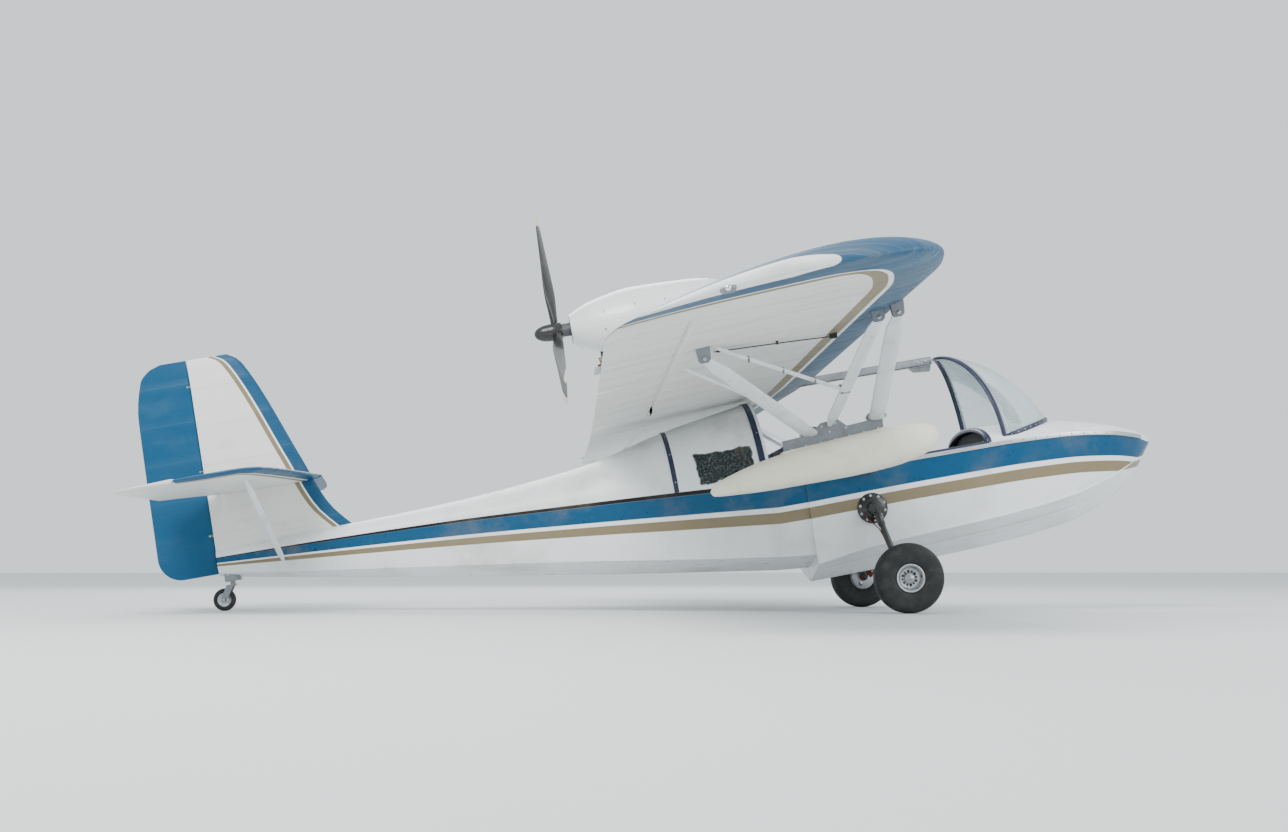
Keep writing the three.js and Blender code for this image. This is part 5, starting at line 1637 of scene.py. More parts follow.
@dataclass
class Struts:
    """Lift struts, the wing float on its channel, the float's brace and the jury struts of a side.

    Attributes:
        side: left or right.
        front: both ends of the front lift strut.
        rear: both ends of the rear lift strut.
        brace: both ends of the strut from the float's channel to the wing.
        float_y: y of the float's middle.
        channel_share: where the channel crosses the lift struts, as a share of their length.
        channel_height: how tall the channel is.
        channel_half: half its width with the clamp strips.
        rings: each holds the float's x, top, bottom and half width there.
    """

    side: str
    front: tuple[Point, Point] = ((-0.080, 0.6123, 0.775), (-0.310, 3.270, 1.392))
    rear: tuple[Point, Point] = ((-0.165, 0.6123, 0.768), (-1.290, 3.270, 1.325))
    brace: tuple[Point, Point] = ((-0.452, 1.612, 1.000), (-0.402, 3.232, 1.388))
    float_y: float = 1.565
    channel_share: float = 0.36
    channel_height: float = 0.062
    channel_half: float = 0.0305
    rings: tuple[tuple[float, ...], ...] = (
        (-1.212, 0.730, 0.724, 0.006),
        (-1.195, 0.757, 0.700, 0.034),
        (-1.10, 0.800, 0.690, 0.070),
        (-0.80, 0.872, 0.678, 0.116),
        (-0.43, 0.915, 0.678, 0.138),
        (-0.13, 0.930, 0.692, 0.132),
        (0.06, 0.922, 0.728, 0.108),
        (0.15, 0.902, 0.775, 0.068),
        (0.180, 0.872, 0.812, 0.034),
        (0.190, 0.848, 0.840, 0.006),
    )

    @staticmethod
    def along(line: tuple[Place, Place], t: float | Array) -> Array:
        """The point at a share of a strut's length."""
        a, b = np.array(line)
        return a + (b - a) * t

    def channel_top(self, x: Array | float) -> Array:
        """Height of the channel's top, on the line through both struts."""
        f, r = (self.along(line, self.channel_share) for line in (self.front, self.rear))
        return f[2] - 0.006 + (x - f[0]) * (f[2] - r[2]) / (f[0] - r[0])

    def build(self) -> None:
        """Builds this side's struts and float."""
        self.build_strut("lift_strut_front", self.front, 0.047, 0.022)
        self.build_strut("lift_strut_rear", self.rear, 0.047, 0.022)
        self.build_strut("float_brace", self.brace, 0.034, 0.018)
        self.build_jury()
        self.build_float()
        self.build_channel_parts()
        self.build_fitting_parts()

    def build_strut(self, name: str, line: tuple[Point, Point], wide: float, deep: float) -> None:
        """A faired tube drawn in towards both ends, with two lugs at the wing and their bolts.

        Args:
            name: the CAD node's name without its side.
            line: both ends.
            wide: half its width along the chord.
            deep: half its thickness.
        """
        middle, ends = np.linspace(0.1, 0.9, 9)[1:-1], np.linspace(0, 0.1, 9)
        t = np.concatenate([ends, middle, np.linspace(0.9, 1, 9)])
        k = smooth([0, 0.035, 0.09, 0.91, 0.965, 1], [0.52, 0.66, 1, 1, 0.66, 0.52], t)
        size = np.stack([k, np.maximum(k, 0.7)], -1)
        parts = [sweep(self.along(line, t[:, None]), oval(wide, deep, 28, 0.9), size)]
        x, y, z = line[1]
        low, high = z - 0.020, float(FORM.skin_z(x, y, -1.0)) + 0.012
        right = [(0.018, low), (0.030, low + 0.012), (0.036, high)]
        outline = [(x + u, v) for u, v in right] + [(x - u, v) for u, v in right[::-1]]
        for shift in (-0.0125, 0.0125):
            parts.append(plate(outline, y + shift - 0.003, y + shift + 0.003, 1))
        for way in (-1, 1):
            pin = [(x, y + way * 0.0155, z - 0.002)]
            parts.append(bolts(pin, (0, way, 0), 0.011, 0.008, 2))
        lower = self.along(line, 0.13) + (wide * 0.2, 0, deep)
        upper = self.along(line, 0.87) - (0, 0, deep)
        parts.append(bolts([lower, upper], UPWARD, 0.006, 0.003, 2, 10))
        finishes = (STRUT_WHITE, CHANNEL_GREY, BOLT_STEEL)
        Workshop.add(
            f"{name}_tube", parts, finishes, "strut_white", replaces=[name], side=self.side
        )

    def build_jury(self) -> None:
        """Jury struts: a pair of thin tubes along one bent path, and a straight one at the rear."""
        clevis = self.along(self.brace, 0.36)
        knee = np.array([-1.10, 3.09, float(FORM.plane(-1.10, 3.09)) - 0.075])
        top = np.array([-1.215, 3.15, float(FORM.plane(-1.215, 3.15)) - 0.008])
        route = bend([clevis, self.along((clevis, knee), 0.45), knee, top], 30)
        parts = []
        for shift in (-0.0085, 0.0085):
            path = route + (0, shift, shift * 0.4)
            parts.append(sweep(path, oval(0.0066, 0.0066, 14), up=(1, 0, 0.2)))
        corners = [(-0.028, -0.018), (0.022, -0.018), (0.014, 0.030), (-0.03, 0.036)]
        parts.append(plate(clevis[[0, 2]] + corners, clevis[1] - 0.019, clevis[1] + 0.019, 1))
        parts.append(bolts([clevis + (-0.004, -0.019, 0.008)], (0, -1, 0), 0.009, 0.006, 2))
        for at in route[[8, 16, 24]]:
            parts.append(rod(at - (0.004, 0, 0), at + (0.006, 0, 0), 0.0185, 18, 1))
        finishes = (STRUT_WHITE, CHANNEL_GREY, BOLT_STEEL)
        node = "jury_strut_front"
        Workshop.add("jury_pair", parts, finishes, "strut_white", replaces=[node], side=self.side)
        foot = self.along(self.rear, 0.64)
        top = np.array([-1.345, 2.56, float(FORM.plane(-1.345, 2.56)) + 0.01])
        sleeve = rod(foot + (0, -0.004, -0.01), self.along((foot, top), 0.14), 0.014, 16, 1)
        rear, node = [rod(foot, top, 0.011, 16), sleeve], "jury_strut_rear"
        Workshop.add(
            "jury_rear_tube", rear, finishes[:2], "strut_white", replaces=[node], side=self.side
        )

    def build_float(self) -> None:
        """The wing float: a squared oval along smooth top, bottom and width lines.

        It is cut flat under the channel, on a pad, and has a raised seam along each side.
        """
        tail, nose = self.rings[0][0], self.rings[-1][0]
        start = tail + 0.3 * (1 - np.cos(np.linspace(0, QUARTER, 12)))
        end = nose - 0.17 * (1 - np.sin(np.linspace(0, QUARTER, 14)))
        x = np.concatenate([start, np.linspace(-0.86, -0.02, 18), end])
        top, bottom, half = smooth_columns(self.rings, x)[:, :, None]
        ring = oval(1, 1, 40, 0.74)
        z = (top + bottom) / 2 + (top - bottom) / 2 * ring[:, 1]
        foot = self.channel_top(x) - self.channel_height - 0.0006
        under = (x > -0.79) & (x < -0.07)
        z = np.minimum(z, np.where(under, foot, np.inf)[:, None])
        body = tube(xyz(x[:, None], self.float_y + half * ring[:, 0], z))
        pad_x = np.linspace(-0.755, -0.12, 14)[:, None]
        pad_top = self.channel_top(pad_x) - self.channel_height - 0.0008
        right = [(0.058, 0), (0.062, -0.004), (0.072, -0.06), (0.080, -0.13)]
        left = [(-u, v) for u, v in right[::-1]]
        u, v = np.array([*left[2:], *right, *left[:2]]).T
        pad = tube(xyz(pad_x, self.float_y + u, pad_top + v))
        line_x = tail + (nose - tail) * np.linspace(0.02, 0.98, 50)
        top, bottom, half = smooth_columns(self.rings, line_x)
        parts = [body, pad]
        for way in (-1, 1):
            seam = xyz(line_x, self.float_y + way * half, (top + bottom) / 2)
            parts.append(sweep(seam, oval(0.0016, 0.0022, 8)))
        parts.append(bolts([(-1.13, self.float_y, 0.789)], (0.2, 0, 1), 0.012, 0.006, 1, 14))
        finishes = (FLOAT_CREAM, BLACK_PAINT)
        Workshop.add(
            "float_shell", parts, finishes, "float_plastic", replaces=["wing_float"],
            side=self.side,
        )

    def build_channel_parts(self) -> None:
        """Clamp strips with a wavy lower edge, straps over the struts, and the channel's bolts."""
        parts = []
        x = np.linspace(-0.735, -0.145, 90)
        foot = self.channel_top(x) - self.channel_height
        low = foot - 0.018 - 0.010 * np.sin((x + 0.1) * TAU / 0.14)
        z = np.stack([low, low, foot + 0.012, foot + 0.012], -1)
        inner = self.channel_half - 0.004
        for y0, y1 in ((inner, self.channel_half), (-self.channel_half, -inner)):
            parts.append(tube(xyz(x[:, None], self.float_y + np.array([y0, y1, y1, y0]), z)))
        at = np.arange(-0.70, -0.14, 0.088)
        z = self.channel_top(at) - self.channel_height + 0.002
        for way in (1, -1):
            row = xyz(at, self.float_y + way * self.channel_half, z)
            parts.append(bolts(row, (0, way, 0), 0.0085, 0.0065, 1))
        spots = ((-0.42, 0.03), (-0.50, 0.03), (-0.46, -0.012), (-0.57, -0.008), (-0.36, -0.010))
        x, lift = np.array(spots).T
        gusset = xyz(x, self.float_y + 0.026, self.channel_top(x) + lift)
        parts.append(bolts(gusset, ACROSS, 0.0095, 0.007, 1))
        a = np.linspace(0, math.pi, 18)[:, None]
        for line in (self.front, self.rear):
            c = self.along(line, self.channel_share)
            direction = unit(self.along(line, 1) - self.along(line, 0))
            chordwise = unit(np.array(AHEAD) - direction * direction[0])
            over = np.cross(chordwise, direction)
            over = over * np.sign(over[2])
            band = c + np.cos(a) * chordwise * 0.051 + np.sin(a) * over * 0.026
            up = np.cross(direction, UPWARD) + direction * 3
            parts.append(sweep(band, oval(0.015, 0.0018, 10, 0.5), up=up))
            pair = xyz(c[0] + np.array([0.056, -0.056]), self.float_y, self.channel_top(c[0]))
            parts.append(bolts(pair, UPWARD, 0.009, 0.008, 1))
        finishes = (CHANNEL_GREY, BOLT_STEEL)
        Workshop.add("channel_clamps", parts, finishes, "grey_alloy", side=self.side)

    def build_fitting_parts(self) -> None:
        """Rounded side plates and bolts where both struts meet the hull."""
        parts = []
        outline = oval(0.043, 0.040, 40) * [1, 0] + oval(0.043, 0.040, 40, 0.7) * [0, 1]
        for x, z in ((-0.078, 0.777), (-0.168, 0.768)):
            for y in (0.6135, 0.640):
                parts.append(plate(outline + (x, z), y, y + 0.004))
            pair = [(x + 0.028, 0.644, z), (x - 0.026, 0.644, z)]
            parts.append(bolts(pair, ACROSS, 0.0105, 0.008, 1))
        x = [-0.195, -0.195, -0.038, -0.038, -0.118]
        corners = xyz(x, 0.612, [0.722, 0.792, 0.722, 0.792, 0.722])
        parts.append(bolts(corners, ACROSS, 0.010, 0.007, 1))
        finishes = (CHANNEL_GREY, BOLT_STEEL)
        Workshop.add("fitting_plates", parts, finishes, "grey_alloy", side=self.side)


# ---------------------------------------------------------------------------------------------
# Undercarriage
# ---------------------------------------------------------------------------------------------
def tyre_loop(half: Sequence[tuple[float, float]], count: int) -> Array:
    """A tyre's outside from bead to bead: a smooth line through half of it, then its mirror image.

    Args:
        half: pairs of distance from its middle and radius, from the bead to the tread's middle.
        count: points of the half.

    Returns:
        The same kind of pairs, for both halves.
    """
    line = bend([(a, 0.0, r) for a, r in half], count)[:, [0, 2]]
    return np.concatenate([line, line[-2::-1] * [-1, 1]])


@dataclass
class MainGear:
    """One main gear: its flange on the hull, bent leg, brake and wheel.

    Attributes:
        side: left or right.
        flange: x, y and z of the flange's middle on its outer face.
        knee_y: y of the leg's bend.
        foot: the leg's lower end, on the axle.
        wheel_y: y of the wheel's middle.
        bolt_ring: radius of the rim's bolts and holes.
        tyre_half: the tyre's half section, from the bead to the tread's middle.
        rim: the rim's whole section.
        ribs: radii of the fine ribs on the tyre's shoulder.
        grooves: distances of the tread's grooves from its middle.
    """

    side: str
    flange: Point = (-0.090, 0.562, 0.475)
    knee_y: float = 0.636
    foot: Point = (0.0, 0.700, 0.0)
    wheel_y: float = 0.840
    bolt_ring: float = 0.0445
    tyre_half: tuple[tuple[float, float], ...] = (
        (0.0500, 0.0845), (0.0605, 0.0895), (0.0698, 0.1050), (0.0748, 0.1350), (0.0742, 0.1680),
        (0.0690, 0.1930), (0.0570, 0.2110), (0.0360, 0.2198), (0.0140, 0.2225), (0.0000, 0.2225),
    )
    rim: tuple[tuple[float, float], ...] = (
        (0.040, 0.0175), (0.040, 0.0270), (0.0385, 0.0300), (0.034, 0.0312), (0.025, 0.0330),
        (0.0215, 0.0365), (0.0210, 0.0440), (0.0220, 0.0560), (0.0250, 0.0635), (0.0330, 0.0690),
        (0.0460, 0.0725), (0.0570, 0.0750), (0.0645, 0.0775), (0.0690, 0.0815), (0.0703, 0.0855),
        (0.0690, 0.0890), (0.0665, 0.0905), (0.0640, 0.0895), (0.0632, 0.0860), (0.0628, 0.0842),
        (-0.0628, 0.0842), (-0.0640, 0.0885), (-0.0680, 0.0890), (-0.0690, 0.0830),
        (-0.066, 0.0790), (-0.045, 0.0765), (0.0, 0.0715), (0.0105, 0.0630), (0.0090, 0.0350),
        (0.0, 0.0300), (-0.0940, 0.0300), (-0.0950, 0.0290), (-0.0950, 0.0175),
    )
    ribs: tuple[float, ...] = (0.1835, 0.1905, 0.1975)
    grooves: tuple[float, ...] = (0.0, 0.021, 0.041)

    def add(
        self,
        name: str,
        parts: list[Surface],
        finishes: Sequence[Any],
        slot: str,
        node: str = "",
        wheel: bool = False,
        holes: Sequence[Surface] = (),
    ) -> None:
        """Adds a piece on this side, to the airframe or to the wheel that turns.

        Args:
            name: its name without its side.
            parts: its surfaces.
            finishes: its finishes in the order of their numbers.
            slot: the record's material slot.
            node: the CAD node that it stands for, without its side.
            wheel: it turns with the wheel.
            holes: closed surfaces to cut out.
        """
        body = f"main_wheel_{self.side}" if wheel else "airframe"
        nodes, cuts = [node] if node else [], [holes] if holes else []
        Workshop.add(name, parts, finishes, slot, body, nodes, cuts=cuts, side=self.side)

    def build(self) -> None:
        """Builds the gear from the hull out to the tyre."""
        self.build_flange()
        self.build_leg()
        self.build_brake()
        self.build_rim()
        self.build_tyre()

    def build_flange(self) -> None:
        """The turned flange with a raised middle and ten bolts on washers."""
        x, y, z = self.flange
        profile = [
            (0.515, 0.098), (0.556, 0.100), (0.5605, 0.0985), (y, 0.095), (y, 0.068),
            (0.5665, 0.064), (0.568, 0.060), (0.568, POLE),
        ]
        at = ring_of(10, 0.0825, self.flange, turn=0.5)
        washer = [(-0.001, 0.0092), (0.0012, 0.0092), (0.0014, POLE)]
        parts = [
            turned(profile, (x, 0, z), ACROSS, 72, ends=True),
            bolts(at, ACROSS, 0.0068, 0.0055, 1),
            turned(washer, at, ACROSS, 16, 1),
        ]
        self.add("flange_disc", parts, (BLACK_PAINT, BOLT_STEEL), "black_paint", "gear_flange")

    def build_leg(self) -> None:
        """The leg: a stepped sleeve, a tube bent at the knee, collars, brake hose, axle and nut."""
        x, y, z = self.flange
        sleeve = [
            (y, 0.044), (0.569, 0.044), (0.571, 0.040), (0.640, 0.040), (0.644, 0.037),
            (0.652, 0.036), (0.654, 0.030), (0.654, POLE),
        ]
        knee, foot = np.array([x, self.knee_y, z]), np.array(self.foot)
        down = unit(foot - knee)
        right = [(0.010, 0.0215), (0.02, 0.012), (0.0225, POLE)]
        ball = [(-u, r) for u, r in right[::-1]] + right
        _, hub_y, _ = self.foot
        parts = [
            turned(sleeve, (x, 0, z), ACROSS, 48, ends=True),
            rod(knee, foot, 0.0195, 32),
            rod(knee + down * 0.030, knee + down * 0.130, 0.0235, 32),
            rod(foot - down * 0.095, foot - down * 0.010, 0.0235, 32),
            turned(ball, foot, ACROSS, 28),
            rod((0, hub_y, 0), (0, 0.884, 0), 0.016, 28, 1),
            bolts([(0, 0.8835, 0)], ACROSS, 0.0205, 0.012, 1),
            rod((0, 0.893, 0), (0, 0.901, 0), 0.0095, 20, 1),
        ]
        across = unit(np.cross(down, ACROSS))
        for t in (0.055, 0.105):
            at = knee + down * t + np.array([[0.0225], [-0.0225]]) * across
            parts.append(bolts(at, np.stack([across, -across]), 0.0065, 0.006, 1))
        hose = [
            (x - 0.055, 0.566, z - 0.02),
            (x - 0.060, 0.610, z - 0.045),
            knee + down * 0.16 - (0.024, 0, 0),
            foot - down * 0.12 - (0.025, 0, 0),
            (-0.045, 0.722, 0.035),
        ]
        parts.append(sweep(bend(hose, 40), oval(0.0042, 0.0042, 10), up=(0, 1, 0.3), finish=2))
        self.add("leg_tube", parts, (BLACK_PAINT, BOLT_STEEL, RUST), "black_paint", "gear_leg")

    def build_brake(self) -> None:
        """The caliper, a sector plate on an arm with two pistons, and the drilled disc."""
        a = np.radians(np.linspace(2, 78, 24))
        arc = np.stack([np.cos(a), np.sin(a)], -1)
        arm = [
            (0.0, 0.017), (0.030, 0.0), (0.060, 0.016), (0.070, 0.05), (0.045, 0.075),
            (0.020, 0.064),
        ]
        sector = np.concatenate([0.096 * arc, 0.046 * arc[::-1]])
        parts = [plate(sector, 0.726, 0.741), plate(arm, 0.7235, 0.7365)]
        piston = [
            (0.7175, POLE), (0.7175, 0.0125), (0.7215, 0.0165), (0.742, 0.0165), (0.742, POLE),
        ]
        for angle in np.radians([24, 56]):
            centre = 0.071 * np.array([math.cos(angle), 0, math.sin(angle)])
            parts.append(turned(piston, centre, ACROSS, 26, ends=True))
            parts.append(bolts([centre + (0, 0.7176, 0)], (0, -1, 0), 0.007, 0.004, 1))
        collar = [(0.723, 0.0163), (0.723, 0.030), (0.742, 0.030), (0.742, 0.0163)]
        parts.append(turned(collar, np.zeros(3), ACROSS, 32, closed=True))
        self.add("caliper_body", parts, (RUST, BOLT_STEEL), "rusty_caliper", "brake_caliper")
        profile = [
            (0.749, 0.0305), (0.749, 0.081), (0.7500, 0.082), (0.755, 0.082), (0.756, 0.081),
            (0.756, 0.0305),
        ]
        disc = turned(profile, np.zeros(3), ACROSS, 72, closed=True)
        at = ring_of(3, 0.056, self.foot)
        holes = [turned([(0.0, 0.0145), (0.1, 0.0145)], at, ACROSS, 28, ends=True)]
        self.add("disc_ring", [disc], [BOLT_STEEL], "steel", "brake_disc", True, holes)

    def build_rim(self) -> None:
        """The dished rim of one rounded profile, with six holes, six bolts and a valve."""
        y, spin = self.wheel_y, (0, self.wheel_y, 0)
        rim = turned(self.rim, spin, ACROSS, 96, closed=True)
        at = ring_of(6, self.bolt_ring, (0, y - 0.02, 0), turn=0.5)
        holes = [turned([(0.0, 0.0092), (0.08, 0.0092)], at, ACROSS, 20, ends=True)]
        self.add("rim_casting", [rim], [RIM_ALLOY], "rim_alloy", "wheel_rim", True, holes)
        at = ring_of(6, self.bolt_ring, (0, y + 0.0212, 0))
        cap = [(0.0385, 0.0185), (0.0425, 0.0190), (0.0425, 0.0250), (0.0385, 0.0262)]
        parts = [
            bolts(at, ACROSS, 0.0064, 0.0062, 1),
            rod((0.078, y + 0.030, 0), (0.070, y + 0.061, 0), 0.0042, 14, 1),
            turned(cap, spin, ACROSS, 40, closed=True),
        ]
        self.add("rim_bolts", parts, (BOLT_STEEL, BLACK_PAINT), "steel", wheel=True)

    def build_tyre(self) -> None:
        """The tyre: a smooth side line with fine ribs on its shoulder and grooves in its tread.

        Profile = smooth line + normal * (a bell round the radius of each rib - a flat-bottomed bell
        round each groove of the tread).
        """
        full = tyre_loop(self.tyre_half, 96)
        slope = unit(np.gradient(full, axis=0))
        out = np.stack([slope[:, 1], -slope[:, 0]], -1)
        out *= np.sign(out[len(out) // 2, 1])
        across, radius = np.abs(full[:, :1]), full[:, 1:]
        ribs = np.exp(-(((radius - self.ribs) / 0.0015) ** 2)).sum(axis=1, keepdims=True)
        grooves = np.exp(-(((across - self.grooves) / 0.0019) ** 4)).sum(axis=1, keepdims=True)
        full = full + out * (0.0013 * ribs - 0.0030 * grooves * (radius > 0.205))
        loop = np.concatenate([full, [(-0.048, 0.0850), (0.0, 0.0844), (0.048, 0.0850)]])
        casing = turned(loop, (0, self.wheel_y, 0), ACROSS, 96, closed=True)
        self.add("tyre_casing", [casing], [RUBBER], "tyre", "tyre", wheel=True)


@dataclass
class TailWheel:
    """The tail wheel with its tyre and hub, and the bolts of its fork and bracket.

    Attributes:
        centre: the wheel's middle.
        pivot: x and z of the bracket's bolts, midway.
        tyre_half: the tyre's half section, from the bead to the tread's middle.
        hub_half: the hub's half section, from its bore outwards.
    """

    centre: Point = (-4.400, 0.0, 0.62605)
    pivot: tuple[float, float] = (-4.330, 0.78405)
    tyre_half: tuple[tuple[float, float], ...] = (
        (0.0205, 0.047), (0.0212, 0.056), (0.0190, 0.066), (0.0110, 0.0740), (0.0, 0.0752)
    )
    hub_half: tuple[tuple[float, float], ...] = (
        (-0.0215, 0.0082), (-0.0215, 0.019), (-0.013, 0.028), (-0.015, 0.042), (-0.0185, 0.047)
    )

    def build(self) -> None:
        """Builds the tail wheel's pieces."""
        inside = [(-0.014, 0.044), (0.0, 0.043), (0.014, 0.044)]
        loop = np.concatenate([tyre_loop(self.tyre_half, 18), inside])
        hub = [*self.hub_half, *((-u, r) for u, r in self.hub_half[::-1])]
        parts = [
            turned(loop, self.centre, ACROSS, 56, closed=True),
            turned(hub, self.centre, ACROSS, 48, 1, closed=True),
        ]
        finishes, nodes = (RUBBER, RIM_ALLOY), ["tail_wheel"]
        Workshop.add("tail_roller_wheel", parts, finishes, "tyre", "tail_roller", nodes)
        (x, _, z), (pivot_x, pivot_z) = self.centre, self.pivot
        fork, bracket = [], []
        for s in SIDES.values():
            fork.append(bolts([(x, s * 0.0395, z)], (0, s, 0), 0.0105, 0.007))
            pair = [(pivot_x - 0.02, s * 0.028, pivot_z), (pivot_x + 0.035, s * 0.028, pivot_z)]
            bracket.append(bolts(pair, (0, s, 0), 0.008, 0.005))
        Workshop.add("tail_fork_bolts", fork, [BOLT_STEEL], "steel", "tail_fork")
        Workshop.add("tail_bracket_bolts", bracket, [BOLT_STEEL], "steel")


# ---------------------------------------------------------------------------------------------
# Tail
# ---------------------------------------------------------------------------------------------
@dataclass
class TailGroup:
    """Fin, rudder, stabilisers with their struts, and the elevator on its torque tube.

    Attributes:
        hinge_x: x of the rudder's hinge line.
        fin_trail: x of the fin's rear edge.
        fin_half: half the fin's greatest thickness.
        stab_half: half the stabiliser's greatest thickness.
        rudder_nose: radius of the rudder's nose.
        elevator_nose: radius of the elevator's nose.
        thin: half thickness of the moving surfaces' trailing edges.
        stab_z: height of the stabiliser.
        stab_hinge: x of the elevator's hinge line.
        span: y at which the stabiliser's and elevator's tips begin to round.
        tip: how far they reach past it.
        hinges: heights of the rudder's hinges.
        shape: half thickness at shares of the chord, as a share of the largest.
    """

    hinge_x: float = -4.422
    fin_trail: float = -4.405
    fin_half: float = 0.032
    stab_half: float = 0.023
    rudder_nose: float = 0.017
    elevator_nose: float = 0.022
    thin: float = 0.003
    stab_z: float = 1.340
    stab_hinge: float = -4.330
    span: float = 1.28
    tip: float = 0.17
    hinges: tuple[float, ...] = (1.060, 1.500, 2.080)
    shape: tuple[tuple[float, float], ...] = (
        (0, 0.0), (0.012, 0.34), (0.05, 0.62), (0.25, 1.0), (0.6, 0.95), (1.0, 0.68)
    )

    def fixed(self, lead: Array, trail: float, half: Array) -> Array:
        """Section of a fin or stabiliser, with its points crowded near the leading edge.

        Args:
            lead: leading edge of each row.
            trail: trailing edge.
            half: half its thickness, for each row.

        Returns:
            x and the offset to each side, rows by columns by 2.
        """
        t = np.linspace(0, 1, 25) ** 1.6
        offset = half * smooth_columns(self.shape, t)
        side = np.stack([lead + (trail - lead) * t, offset], -1)
        return np.concatenate([side, side[:, :0:-1] * [1, -1]], axis=1)

    def moving(self, hinge: float, trail: Array, reach: Array, half: Array) -> Array:
        """Section of a rudder or elevator: an oval nose, then straight to a thin trailing edge.

        Args:
            hinge: x of the hinge.
            trail: trailing edge of each row.
            reach: how far the nose stands ahead of the hinge, for each row.
            half: half thickness at the hinge, for each row.

        Returns:
            x and the offset to each side, rows by columns by 2.
        """
        a = np.linspace(QUARTER, 0, 7)
        t = np.linspace(1, 0, 14)[:-1]
        nose = np.stack([hinge + reach * np.cos(a), half * np.sin(a)], -1)
        flat = np.stack([hinge + (trail - hinge) * t, half + (self.thin - half) * t], -1)
        side = np.concatenate([flat, nose], axis=1)
        return np.concatenate([side, side[:, -2::-1] * [1, -1]], axis=1)

    def build(self) -> None:
        """Builds the tail's pieces."""
        self.build_fin()
        self.build_rudder()
        for side in SIDES:
            self.build_stabiliser(side)
        self.build_elevator()

    def build_fin(self) -> None:
        """The fin: a section carried up a swept leading edge, rounded over at its top."""
        z = rounded(np.linspace(0.93, 2.18, 22), 0.08, 9)
        rows = [0.93, 1.15, 1.5, 2.14, 2.22, 2.26]
        lead = smooth(rows, [-3.44, -3.62, -3.76, -4.02, -4.075, -4.14], z)[:, None]
        k = smooth([0.93, 1.5, 2.14, 2.22, 2.26], [1, 1, 0.8, 0.62, 0.10], z)[:, None]
        section = self.fixed(lead, self.fin_trail, self.fin_half * k)
        ring = xyz(section[..., 0], section[..., 1], z[:, None])
        skin = tube(ring, np.stack([ring[..., 2], np.abs(lead - ring[..., 0])], -1))
        pin_x, pin_z = self.stab_hinge, self.stab_z
        bore = rod((pin_x, -0.2, pin_z), (pin_x, 0.2, pin_z), 0.0172, 28)
        Workshop.add(
            "fin_skin", [skin], [TAIL_FABRIC], "fabric_skin", replaces=["fin"], cuts=[[bore]]
        )
        parts, x = [], self.hinge_x
        for h in self.hinges:
            low, high = (x - 0.008, -0.007, h - 0.005), (self.fin_trail + 0.006, 0.007, h + 0.005)
            parts.append(block(low, high))
            parts.append(rod((x, 0, h - 0.012), (x, 0, h + 0.012), 0.0042, 14, 1))
        Workshop.add("rudder_hinges", parts, [CHANNEL_GREY, BOLT_STEEL], "steel")

    def build_rudder(self) -> None:
        """The rudder, notched at its hinges. Its lower rear corner is a quarter of an ellipse."""
        corner = 0.96 - 0.16 * np.cos(np.linspace(0, QUARTER, 14))
        z = rounded(np.concatenate([corner, np.linspace(1.02, 2.16, 18)]), 0.10, 14)
        rows = [0.96, 1.9, 2.16, 2.23, 2.26]
        trail = smooth(rows, [-4.797, -4.785, -4.735, -4.67, -4.59], z)
        fall = np.maximum(0.96 - z, 0) / 0.16
        trail = (trail + 0.157 * (1 - np.sqrt(np.maximum(1 - fall**2, 0))))[:, None]
        k = smooth([0.80, 0.90, 1.9, 2.16, 2.26], [0.75, 1, 0.9, 0.62, 0.3], z)[:, None]
        nose = self.rudder_nose * k
        section = self.moving(self.hinge_x, trail, nose, nose)
        ring = xyz(section[..., 0], section[..., 1], z[:, None])
        skin = tube(ring, np.stack([ring[..., 2], np.full(ring.shape[:-1], FAR)], -1))
        x = self.hinge_x
        notches = [
            block((x - 0.016, -0.06, h - 0.0065), (x + 0.05, 0.06, h + 0.0065))
            for h in self.hinges
        ]
        node = ["rudder"]
        Workshop.add(
            "rudder_skin", [skin], [BLUE_FABRIC], "fabric_skin", "rudder", node, cuts=[notches]
        )

    def build_stabiliser(self, side: str) -> None:
        """One half of the tailplane, with a rounded tip, and the strut under it.

        Args:
            side: left or right.
        """
        y = rounded(np.linspace(0.0323, self.span, 16), self.tip, 10)
        lead = smooth([0.03, 1.15, 1.29, 1.40, 1.45], [-3.64, -3.765, -3.80, -3.88, -4.02], y)
        k = smooth([0.03, 1.29, 1.40, 1.45], [1, 0.9, 0.66, 0.2], y)[:, None]
        section = self.fixed(lead[:, None], self.stab_hinge + 0.029, self.stab_half * k)
        ring = xyz(section[..., 0], y[:, None], self.stab_z + section[..., 1])
        behind, inward = lead[:, None] - ring[..., 0], self.span + self.tip - ring[..., 1]
        skin = tube(ring, np.stack([ring[..., 1], np.minimum(behind, inward * 1.1)], -1))
        node = ["stabiliser"]
        Workshop.add(
            "stabiliser_skin", [skin], [TAIL_FABRIC], "fabric_skin", replaces=node, side=side
        )
        line = ((-3.96, 0.086, 0.800), (-3.99, 0.850, 1.321))
        t = np.linspace(0, 1, 20)
        k = smooth([0, 0.05, 0.11, 0.89, 0.95, 1], [0.5, 0.66, 1, 1, 0.66, 0.5], t)
        size = np.stack([k, np.maximum(k, 0.7)], -1)
        head = [Struts.along(line, 0.035) + (0, 0, 0.006)]
        parts = [
            sweep(Struts.along(line, t[:, None]), oval(0.020, 0.009, 20), size),
            bolts(head, (0, -0.5, 0.8), 0.007, 0.005, 1),
        ]
        finishes, node = (STRUT_WHITE, BOLT_STEEL), ["tail_strut"]
        Workshop.add(
            "tail_strut_tube", parts, finishes, "strut_white", replaces=node, side=side
        )

